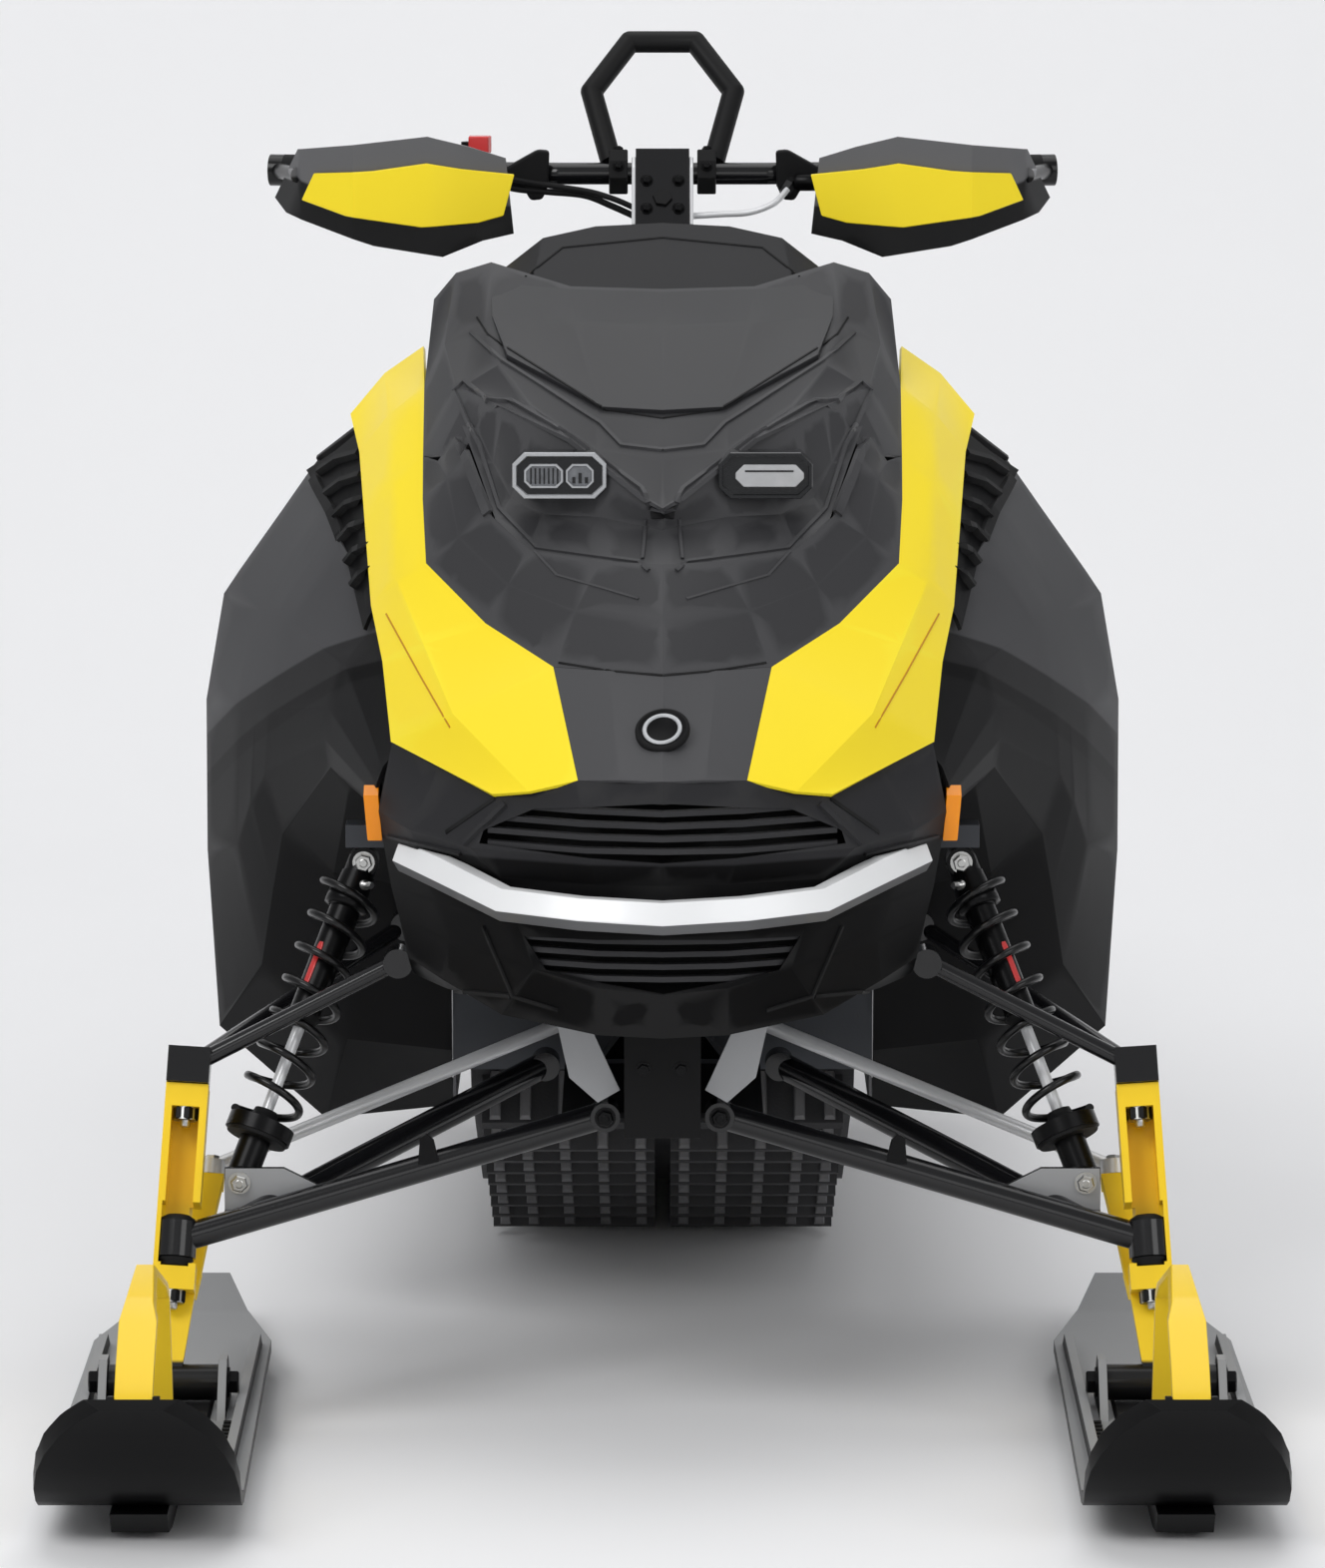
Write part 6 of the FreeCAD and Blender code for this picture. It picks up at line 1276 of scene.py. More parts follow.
    def joint_parts(self, side: Side) -> None:
        """Adds hexagon nuts on the ball joints, the boots that seal them and the tie rod's outer bolt.

        Args:
            side: the side of the snowmobile.
        """
        low, high = side.at(self.lower_joint), side.at(self.upper_joint)
        pin = (high - low).normalized()
        nuts, tips, boots, bolt = Shape(), Shape(), Shape(), Shape()
        for rise in (-0.060, 0.114):
            place = low + pin * rise
            tips.turned(place + pin * 0.001, place - pin * 0.006, self.TIP, 20)
            nuts.turned(place, place + pin * 0.0122, self.NUT, 6, smooth=False)
        nuts.piece(f"joint_nuts_{side.word}", Shade.DAMPER, side.body("leg"))
        tips.piece(f"joint_tips_{side.word}", Shade.STEEL, side.body("leg"))
        boots.turned(low - pin * 0.0257, low - pin * 0.0172, self.LOW_BOOT, 28)
        boots.turned(low + pin * 0.0172, low + pin * 0.0235, self.HIGH_BOOT, 28)
        boots.piece(f"joint_boots_{side.word}", Shade.RUBBER)
        bolt.bolt(side.at(self.rod_end) + pin * 0.0066, pin, 0.0072, 0.0048)
        bolt.piece(f"rod_bolt_outer_{side.word}", Shade.STEEL, side.body("rod"))


@dataclass
class Skis:
    """Nuts, rubber blocks, clamps and ribs on the two skis."""

    spread: float = 0.468
    bolt_reach: float = 0.994
    bolt_height: float = 0.064
    deck: float = 0.039
    ribs: int = 22
    rib_start: float = -1.335
    rib_pitch: float = 0.016
    rib_gap: float = 0.075

    CLAMP = ((-1.4800, 0.1240), (-1.4560, 0.1030), (-1.4500, 0.1310), (-1.4560, 0.1480), (-1.4700, 0.1500),
             (-1.4790, 0.1420))

    def build(self) -> None:
        """Adds every part on both skis."""
        for side in Side:
            body = side.body("ski_and_bolt")
            self.nuts(side, body)
            self.rubber(side, body)
            self.clamps(side, body)
            self.deck_ribs(side, body)

    def place(self, side: Side, across: float, y: float, z: float) -> Vector:
        """Place on a ski: across from its middle toward the outside, along and up."""
        return side.at((self.spread + across, y, z))

    def nuts(self, side: Side, body: Body) -> None:
        """Adds the nuts and washers at both ends of the ski bolt.

        Args:
            side: the side of the snowmobile.
            body: the body that carries them.
        """
        shape = Shape()
        for way in (-1, 1):
            out = side.out(way)
            start = self.place(side, way * 0.0602, -self.bolt_reach, self.bolt_height)
            shape.turned(start, start + out * 0.002, ((0, 0.0145), (1, 0.0145)), 24)
            shape.turned(start + out * 0.002, start + out * 0.0105, ((0, 0.0115), (0.85, 0.0115), (1, 0.0098)), 6,
                         smooth=False)
        shape.piece(f"ski_nuts_{side.word}", Shade.DAMPER, body)

    def rubber(self, side: Side, body: Body) -> None:
        """Adds the rubber block that the ski leg rests on.

        Args:
            side: the side of the snowmobile.
            body: the body that carries them.
        """
        shape = Shape()
        low, top = self.deck - 0.001, self.bolt_height - 0.0178
        foot, crown = low + 0.004, top - 0.0006
        shape.rings([[self.place(side, x, y - self.bolt_reach, height)
                      for x, height in ((-0.046, low), (-0.044, z), (0.044, z), (0.046, low))]
                     for y, z in ((-0.060, foot), (-0.050, top), (-0.02, crown), (0.02, crown), (0.050, top),
                                  (0.060, foot))], smooth=False)
        shape.piece(f"ski_rubber_{side.word}", Shade.RUBBER, body, edge=0.0012)

    def clamps(self, side: Side, body: Body) -> None:
        """Adds the clamps that hold the foot of the handle to the ski's tip.

        Args:
            side: the side of the snowmobile.
            body: the body that carries them.
        """
        shape, bolts = Shape(), Shape()
        for way in (-1, 1):
            shape.prism([self.place(side, way * 0.0173, y, z) for y, z in self.CLAMP], side.out(way * 0.006))
            bolts.bolt(self.place(side, way * 0.0233, -1.464, 0.135), side.out(way), 0.0045, 0.003)
        shape.piece(f"handle_clamps_{side.word}", Shade.DARK, body, edge=0.001)
        bolts.piece(f"handle_bolts_{side.word}", Shade.STEEL, body)

    def deck_ribs(self, side: Side, body: Body) -> None:
        """Adds the low cross ribs moulded along the ski's deck beside its edge ribs.

        Args:
            side: the side of the snowmobile.
            body: the body that carries them.
        """
        shape = Shape()
        for index in range(self.ribs):
            y = self.rib_start + index * self.rib_pitch
            for way in (-1, 1) if abs(y + self.bolt_reach) >= self.rib_gap else ():
                shape.block(self.place(side, way * 0.060, y, self.deck - 0.001), side.out(way * 0.010),
                            Vector((0, 0.007, 0)), UP * 0.006)
        shape.piece(f"ski_ribs_{side.word}", Shade.DARK, body)


@dataclass
class Steering:
    """Clamps, cables, grip ribs and the stop switch on the handlebar."""

    bar: Point = (0.0, -0.220, 1.145)
    column_foot: Point = (0.0, -0.726, 0.372)
    bar_bend: Point = (0.105, -0.220, 1.145)
    bar_end: Point = (0.378, -0.170, 1.145)
    riser_low: float = 0.072
    clamp_reach: float = 0.0445
    switch_place: Point = (0.184, -0.204, 1.160)
    grip_ribs: int = 13
    rib_pitch: float = 0.0078
    ribs_reach: float = 0.104
    flange_reach: float = 0.117

    STRAP_CLAMP = ((-0.017, -0.015), (0.017, -0.015), (0.019, 0.004), (0.015, 0.020), (-0.015, 0.020),
                   (-0.019, 0.004))
    GRIP_RIB = ((0, 0.0158), (0.2, 0.0172), (0.8, 0.0172), (1, 0.0158))
    FLANGE = ((0, 0.0175), (0.3, 0.0205), (0.7, 0.0205), (1, 0.0175))
    CAP = ((-0.012, -0.008), (0.008, -0.008), (0.011, 0.0), (0.011, 0.008), (-0.012, 0.008))
    THROTTLE_LEAD = ((-0.172, -0.226, 1.139), (-0.150, -0.236, 1.131), (-0.118, -0.238, 1.128),
                     (-0.078, -0.238, 1.124), (-0.050, -0.238, 1.113), (-0.030, -0.238, 1.104))
    SWITCH_LEAD = ((-0.172, -0.228, 1.147), (-0.148, -0.241, 1.140), (-0.110, -0.243, 1.134),
                   (-0.072, -0.244, 1.128), (-0.046, -0.246, 1.120), (-0.028, -0.246, 1.112))
    BRAKE_HOSE = ((0.126, -0.243, 1.131), (0.112, -0.250, 1.117), (0.088, -0.250, 1.108), (0.060, -0.248, 1.106),
                  (0.030, -0.246, 1.104))
    HOSE_NUT = ((0, 0.0052), (0.3, 0.0068), (0.7, 0.0068), (1, 0.0055))
    HOSE_END = ((0, 0.0065), (0.1, 0.0095), (0.8, 0.0095), (1, 0.007))
    CLIP_PLACES = (-0.124, 0.118)
    GUARD_BRACKET = ((0.160, 1.151), (0.126, 1.170), (0.114, 1.169), (0.115, 1.134), (0.121, 1.120),
                     (0.133, 1.119), (0.140, 1.131), (0.160, 1.136))

    def build(self) -> None:
        """Adds every part of the steering."""
        self.riser()
        self.clamps()
        self.grips()
        self.switch()
        self.cables()
        self.guard_bolts()
        self.guard_brackets()

    def axes(self) -> Tuple[Vector, Vector, Vector]:
        """Frame of the handlebar's clamp.

        Returns:
            The column's direction, the direction square to it toward the front, and the bar's middle.
        """
        line = (Vector(self.bar) - Vector(self.column_foot)).normalized()
        return line, Vector((0, -line.z, line.y)), Vector(self.bar)

    def grip_line(self, side: Side) -> Tuple[Vector, Vector]:
        """End of the bar on one side and the direction of its outer run."""
        bend, end = side.at(self.bar_bend), side.at(self.bar_end)
        return end, (end - bend).normalized()

    def riser(self) -> None:
        """Adds the pale side plates, the pinch bolts and the front recess of the riser."""
        line, ahead, bar = self.axes()
        plates, bolts, cap = Shape(), Shape(), Shape()
        for side in Side:
            low = bar - line * (self.riser_low - 0.003)
            outline = [low - ahead * 0.019, low + ahead * 0.019, bar + ahead * 0.020 - line * 0.004,
                       bar + ahead * 0.012 + line * 0.013, bar - ahead * 0.012 + line * 0.013, bar - ahead * 0.020]
            start = side.out(0.0268)
            plates.prism([point + start for point in outline], side.out(0.0042))
        plates.piece("riser_plates", Shade.ROD, Body.STEERING, edge=0.0012)
        for rise in (-0.020, -0.052):
            for side in Side:
                bolts.bolt(bar + line * rise + ahead * 0.0208 + side.out(0.016), ahead, 0.0052, 0.005)
        bolts.piece("riser_bolts", Shade.DAMPER, Body.STEERING)
        place = bar - line * 0.040 + ahead * 0.0205
        cap.turned(place, place + ahead * 0.004, ((0, 0.0105), (1, 0.0095)), 6, smooth=False)
        cap.piece("riser_cap", Shade.RUBBER, Body.STEERING)

    def clamps(self) -> None:
        """Adds the clamps that hold the strap on the bar, with their bolts."""
        line, ahead, bar = self.axes()
        blocks, bolts = Shape(), Shape()
        for side in Side:
            middle = bar + side.out(self.clamp_reach)
            blocks.prism([middle + Vector((-0.0095, 0, 0)) + ahead * a + line * u for a, u in self.STRAP_CLAMP],
                         Vector((0.019, 0, 0)))
            for reach in (-0.009, 0.009):
                bolts.bolt(middle + ahead * reach + line * 0.020, line, 0.0048, 0.005)
            bolts.bolt(middle + ahead * 0.0188 - line * 0.002, ahead, 0.0045, 0.004)
        blocks.piece("strap_clamps", Shade.DARK, Body.STEERING, edge=0.0015)
        bolts.piece("strap_bolts", Shade.DAMPER, Body.STEERING)

    def grips(self) -> None:
        """Adds the moulded ribs and the inner flange of both grips."""
        for side in Side:
            end, along = self.grip_line(side)
            shape = Shape()
            for index in range(self.grip_ribs):
                place = end - along * (self.ribs_reach - index * self.rib_pitch)
                shape.turned(place, place + along * 0.0046, self.GRIP_RIB, 24)
            place = end - along * self.flange_reach
            shape.turned(place, place + along * 0.005, self.FLANGE, 28)
            shape.piece(f"grip_ribs_{side.word}", Shade.RUBBER, Body.STEERING)

    def switch(self) -> None:
        """Adds the red cap of the stop switch and its collar."""
        middle = Side.RIGHT.at(self.switch_place)
        collar, cap = Shape(), Shape()
        collar.turned(middle, middle + UP * 0.004, ((0, 0.0125), (1, 0.0112)), 24)
        collar.piece("switch_collar", Shade.RUBBER, Body.STEERING)
        place = middle + UP * 0.0045
        cap.prism([place + Vector((x, y * 1.25, 0)) for x, y in self.CAP], UP * 0.0175)
        cap.piece("switch_cap", Shade.RED, Body.STEERING, edge=0.0016)

    def cables(self) -> None:
        """Adds the throttle and switch leads and the brake hose with its fitting, held along the bar."""
        leads, hose, fitting, clips = Shape(), Shape(), Shape(), Shape()
        leads.tube(curve_through(self.THROTTLE_LEAD), 0.0034)
        leads.tube(curve_through(self.SWITCH_LEAD), 0.0030)
        leads.piece("bar_leads", Shade.RUBBER, Body.STEERING)
        hose.tube(curve_through(self.BRAKE_HOSE), 0.0032)
        hose.piece("brake_hose", Shade.ROD, Body.STEERING)
        fitting.turned(Vector((0.122, -0.241, 1.126)), Vector((0.132, -0.236, 1.141)), self.HOSE_NUT, 6, smooth=False)
        fitting.turned(Vector((0.132, -0.236, 1.138)), Vector((0.164, -0.236, 1.138)), self.HOSE_END, 20)
        fitting.piece("brake_fitting", Shade.DAMPER, Body.STEERING)
        for across in self.CLIP_PLACES:
            clips.turned(Vector((across - 0.003, -0.2215, 1.145)), Vector((across + 0.003, -0.2215, 1.145)),
                         ((0, 0.0128), (1, 0.0128)), 24)
        clips.piece("bar_clips", Shade.RUBBER, Body.STEERING)

    def guard_brackets(self) -> None:
        """Adds the clamps that hold the inner ends of the handguards on the bar."""
        shape = Shape()
        for side in Side:
            shape.prism([side.at((x, -0.240, z)) for x, z in self.GUARD_BRACKET], Vector((0, 0.018, 0)))
        shape.piece("guard_brackets", Shade.DARK, Body.STEERING, edge=0.003)

    def guard_bolts(self) -> None:
        """Adds the bar end bolts of both handguards."""
        shape = Shape()
        for side in Side:
            end, along = self.grip_line(side)
            shape.bolt(end + along * 0.0148, along, 0.0075, 0.006)
        shape.piece("guard_bolts", Shade.RUBBER, Body.STEERING)


@dataclass
class BeltLoop:
    """Line of the track's belt over the drive axle, the rail nose and the rear idlers."""

    step: float = 0.02

    ROUNDS = ((Vector((0.0, -0.400, 0.330)), 0.090), (Vector((0.0, 0.150, 0.307)), 0.250),
              (Vector((0.0, 1.038, 0.146)), 0.089))

    def line(self) -> List[Vector]:
        """Close points round the inside of the belt, in the order drive axle, rail nose, rear idlers.

        Returns:
            The points.
        """
        count = len(self.ROUNDS)
        touches = [self.tangent(*self.ROUNDS[index], *self.ROUNDS[(index + 1) % count]) for index in range(count)]
        points = [touches[0][0]]
        for index in (*range(1, count), 0):
            centre, radius = self.ROUNDS[index]
            start, end = touches[index - 1][1], touches[index][0]
            first = math.atan2(start.z - centre.z, start.y - centre.y)
            last = math.atan2(end.z - centre.z, end.y - centre.y)
            span = (last - first) % math.tau
            parts = max(2, math.ceil(span / self.step))
            for part in range(parts + 1):
                turn = first + span * part / parts
                points.append(Vector((0, centre.y + radius * math.cos(turn), centre.z + radius * math.sin(turn))))
        return points

    def tangent(self, first: Vector, first_radius: float, second: Vector,
                second_radius: float) -> Tuple[Vector, Vector]:
        """Straight run of the belt between two rounds.

        Args:
            first: middle of the round that it leaves.
            first_radius: that round's radius.
            second: middle of the round that it meets.
            second_radius: that round's radius.

        Returns:
            The places where it leaves the one and meets the other.
        """
        span = second - first
        along = span.normalized()
        across = Vector((0, along.z, -along.y))
        sine = (second_radius - first_radius) / span.length
        direction = across * math.sqrt(1 - sine * sine) - along * sine
        return first + direction * first_radius, second + direction * second_radius

    def places(self, count: int, offset: float, lift: float) -> List[Tuple[Vector, Vector, Vector]]:
        """Evenly spaced places on the belt.

        Args:
            count: how many.
            offset: share of a pitch before the first.
            lift: distance outside the belt's inner face.

        Returns:
            For each its place, its outward direction and its direction of travel.
        """
        closed = self.line()
        lengths = [0.0]
        for before, after in zip(closed, closed[1:]):
            lengths.append(lengths[-1] + (after - before).length)
        found = []
        step = 0
        for index in range(count):
            goal = (index + offset) / count * lengths[-1]
            while step < len(lengths) - 2 and lengths[step + 1] < goal:
                step += 1
            before, after = closed[step], closed[step + 1]
            along = (after - before) / max((after - before).length, 1e-9)
            place = before + along * (goal - lengths[step])
            outward = Vector((0, along.z, -along.y))
            found.append((place + outward * lift, outward, along))
        return found


@dataclass
class Track:
    """Moulded ribs, clips and drive lugs of the rubber track."""

    lugs: int = 48
    belt: float = 0.006
    lug_height: float = 0.051
    root: float = 0.026
    tip: float = 0.012

    RIB_PLACES = (0.022, 0.060, 0.098, 0.136, 0.166)
    RIB_FACES = ((4, 5, 6, 7), (0, 4, 7, 3), (1, 2, 6, 5), (3, 7, 6, 2), (0, 1, 5, 4))
    LUG_HIGHLIGHT_FOOT = ((-0.008, -0.012), (0.008, -0.012), (0.008, 0.012), (-0.008, 0.012))
    LUG_HIGHLIGHT_TOP = ((-0.005, -0.007), (0.005, -0.007), (0.005, 0.007), (-0.005, 0.007))

    def build(self) -> None:
        """Adds the ribs on every lug, the clips and the inner drive lugs."""
        loop = BeltLoop()
        self.ribs(loop)
        self.clips(loop)
        self.drive_lugs(loop)

    def ribs(self, loop: BeltLoop) -> None:
        """Adds upright ribs on both faces of every lug; their pale colour is painted highlight.

        Args:
            loop: the belt's line.
        """
        shape = Shape()
        for place, out, along in loop.places(self.lugs, 0.5, self.belt):
            for side in Side:
                for across in self.RIB_PLACES:
                    middle = place + side.out(across)
                    for way in (-1, 1):
                        self.rib(shape, middle, out, along * way)
        shape.piece("track_ribs", PanelShade.LUG_HIGHLIGHT)

    def rib(self, shape: Shape, middle: Vector, out: Vector, push: Vector) -> None:
        """Adds one upright rib on a face of a lug.

        Args:
            shape: what it joins.
            middle: foot of the lug, at the rib.
            out: direction away from the belt.
            push: direction that the face looks.
        """
        foot = middle + push * (self.root / 2)
        head = middle + push * (self.tip / 2) + out * self.lug_height
        half = Vector((0.0055, 0, 0))
        shape.add([foot - half, foot + half, head + half - out * 0.0012, head - half - out * 0.0012,
                   foot - half * 0.7 + push * 0.0052, foot + half * 0.7 + push * 0.0052,
                   head + half * 0.75 - out * 0.004 + push * 0.0034,
                   head - half * 0.75 - out * 0.004 + push * 0.0034], self.RIB_FACES)

    def clips(self, loop: BeltLoop) -> None:
        """Adds the steel clips on the outside of the belt, under the slide rails.

        Args:
            loop: the belt's line.
        """
        shape = Shape()
        for place, out, along in loop.places(self.lugs, 0.0, self.belt - 0.0008):
            for side in Side:
                corner = place + side.out(0.112) - along * 0.011
                shape.block(corner, side.out(0.036), along * 0.022, out * 0.0024)
        bevel(shape.piece("track_clips", Shade.STEEL), 0.0007, 1)

    def drive_lugs(self, loop: BeltLoop) -> None:
        """Adds the low drive lugs inside the belt, away from wheels and sprockets.

        Args:
            loop: the belt's line.
        """
        shape = Shape()
        for place, out, along in loop.places(self.lugs, 0.0, 0.0005):
            for side in Side:
                middle = place + side.out(0.092)
                shape.rings([[middle + Vector((x, 0, 0)) + along * y - out * depth for x, y in outline]
                             for outline, depth in ((self.LUG_HIGHLIGHT_FOOT, 0.0), (self.LUG_HIGHLIGHT_TOP, 0.012))], smooth=False)
        shape.piece("track_drive_lugs", Shade.TRACK)


@dataclass
class Seat:
    """Foam seat under a tight vinyl cover with sewn edges."""

    middle: Point = (0.0, 0.378, 0.66)
    shrink: Point = (0.955, 0.985, 0.972)
    voxel: float = 0.006
    pressure: float = 4.0
    frames: int = 20
    swell: float = 0.007
    held_height: float = 0.012
    floor: float = 0.5486
    crown: float = 0.655
    edge_start: float = 0.078
    edge_run: float = 0.604
    edge_points: int = 48
    cross_half: float = 0.118
    cross_points: int = 24
    pan_half: float = 0.0868
    pan_front: float = 0.066
    pan_back: float = 0.690

    CROSS_SEAMS = (0.232, 0.452)

    COVER = {"quality": 5, "mass": 0.3, "tension_stiffness": 20, "compression_stiffness": 20,
             "bending_stiffness": 2, "use_pressure": True}

    def build(self) -> None:
        """Adds the cushion, its piping and its moulded edge."""
        piece = self.cushion()
        self.fill(piece)
        piece.modifiers.new("round", "SUBSURF").render_levels = 1
        piece.modifiers["round"].levels = 1
        piece.data.polygons.foreach_set("use_smooth", [True] * len(piece.data.polygons))
        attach(piece, Body.CHASSIS.value)
        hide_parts("seat")
        self.piping(piece)
        self.pan()

    def cushion(self) -> bpy.types.Object:
        """Even mesh of the seat, slightly smaller than the frame's node.

        Returns:
            The piece.
        """
        mesh = node_of("seat").data.copy()
        mesh.name = "seat_cushion"
        mesh.materials.clear()
        mesh.materials.append(Shade.VINYL.material())
        form = bmesh.new()
        form.from_mesh(mesh)
        bmesh.ops.remove_doubles(form, verts=form.verts[:], dist=0.0001)
        centre = Vector(self.middle)
        for vert in form.verts:
            vert.co = centre + Vector([(vert.co[axis] - centre[axis]) * self.shrink[axis] for axis in range(3)])
        form.to_mesh(mesh)
        form.free()
        piece = placed("seat_cushion", mesh)
        step = piece.modifiers.new("even", "REMESH")
        step.mode = "VOXEL"
        step.voxel_size = self.voxel
        self.settle(piece)
        return piece

    def settle(self, piece: bpy.types.Object) -> None:
        """Replaces a piece's mesh by what its modifiers make of it, and removes them.

        Args:
            piece: the cushion.
        """
        graph = bpy.context.evaluated_depsgraph_get()
        mesh = bpy.data.meshes.new_from_object(piece.evaluated_get(graph))
        piece.modifiers.clear()
        piece.data = mesh
        if not mesh.materials:
            mesh.materials.append(Shade.VINYL.material())

    def cover(self, piece: bpy.types.Object) -> None:
        """Makes a piece cloth under pressure, held where it rests.

        Args:
            piece: the cushion.
        """
        places = [vertex.co.z for vertex in piece.data.vertices]
        rest = min(places) + self.held_height
        held = piece.vertex_groups.new(name="held")
        held.add([index for index, height in enumerate(places) if height < rest], 1.0, "REPLACE")
        cloth = piece.modifiers.new("cover", "CLOTH")
        for option, value in self.COVER.items():
            setattr(cloth.settings, option, value)
        cloth.settings.uniform_pressure_force = self.pressure
        cloth.settings.effector_weights.gravity = 0
        cloth.settings.vertex_group_mass = held.name
        cloth.point_cache.frame_start = 1
        cloth.point_cache.frame_end = self.frames

    def fill(self, piece: bpy.types.Object) -> None:
        """Blows the cushion up and keeps the result within the swell and above the tunnel.

        Args:
            piece: the cushion.
        """
        start = [vertex.co.copy() for vertex in piece.data.vertices]
        self.cover(piece)
        scene = bpy.context.scene
        for number in range(1, self.frames + 1):
            scene.frame_set(number)
        graph = bpy.context.evaluated_depsgraph_get()
        blown = [vertex.co.copy() for vertex in piece.evaluated_get(graph).data.vertices]
        piece.modifiers.clear()
        scene.frame_set(1)
        for vertex, before, after in zip(piece.data.vertices, start, blown):
            move = after - before
            if move.length > self.swell:
                move = move.normalized() * self.swell
            vertex.co = before + move
            vertex.co.z = max(vertex.co.z, self.floor)
        piece.data.update()

    def piping(self, piece: bpy.types.Object) -> None:
        """Adds the piped seams along both top edges and the two cross seams of the cover.

        Args:
            piece: the cushion.
        """
        tree = BVHTree.FromObject(piece, bpy.context.evaluated_depsgraph_get())
        shape = Shape()
        for side in Side:
            line = []
            for step in range(self.edge_points + 1):
                y = self.edge_start + self.edge_run * step / self.edge_points
                origin = Vector((side.value * 0.40, y, 0.665 + 0.55))
                place, normal, _, _ = tree.ray_cast(origin, (Vector((0, y, self.crown)) - origin).normalized())
                if place is not None:
                    line.append(place + normal * 0.0006)
            shape.tube(line, 0.0024, 10)
        for y in self.CROSS_SEAMS:
            line = []
            for step in range(self.cross_points + 1):
                x = -self.cross_half + 2 * self.cross_half * step / self.cross_points
                place, normal, _, _ = tree.ray_cast(Vector((x, y, 1.0)), -UP)
                if place is not None and place.z > 0.60:
                    line.append(place + normal * 0.0002)
            shape.tube(line, 0.0016, 8)
        shape.piece("seat_piping", Shade.STRAP)

    def pan(self) -> None:
        """Adds the moulded edge that the cover is stapled to, on the tunnel."""
        shape = Shape()
        for side in Side:
            shape.block(side.at((self.pan_half, self.pan_front, self.floor - 0.0002)), side.out(0.006),
                        Vector((0, self.pan_back - self.pan_front, 0)), UP * 0.010)
        shape.piece("seat_base", Shade.TEXTURED)


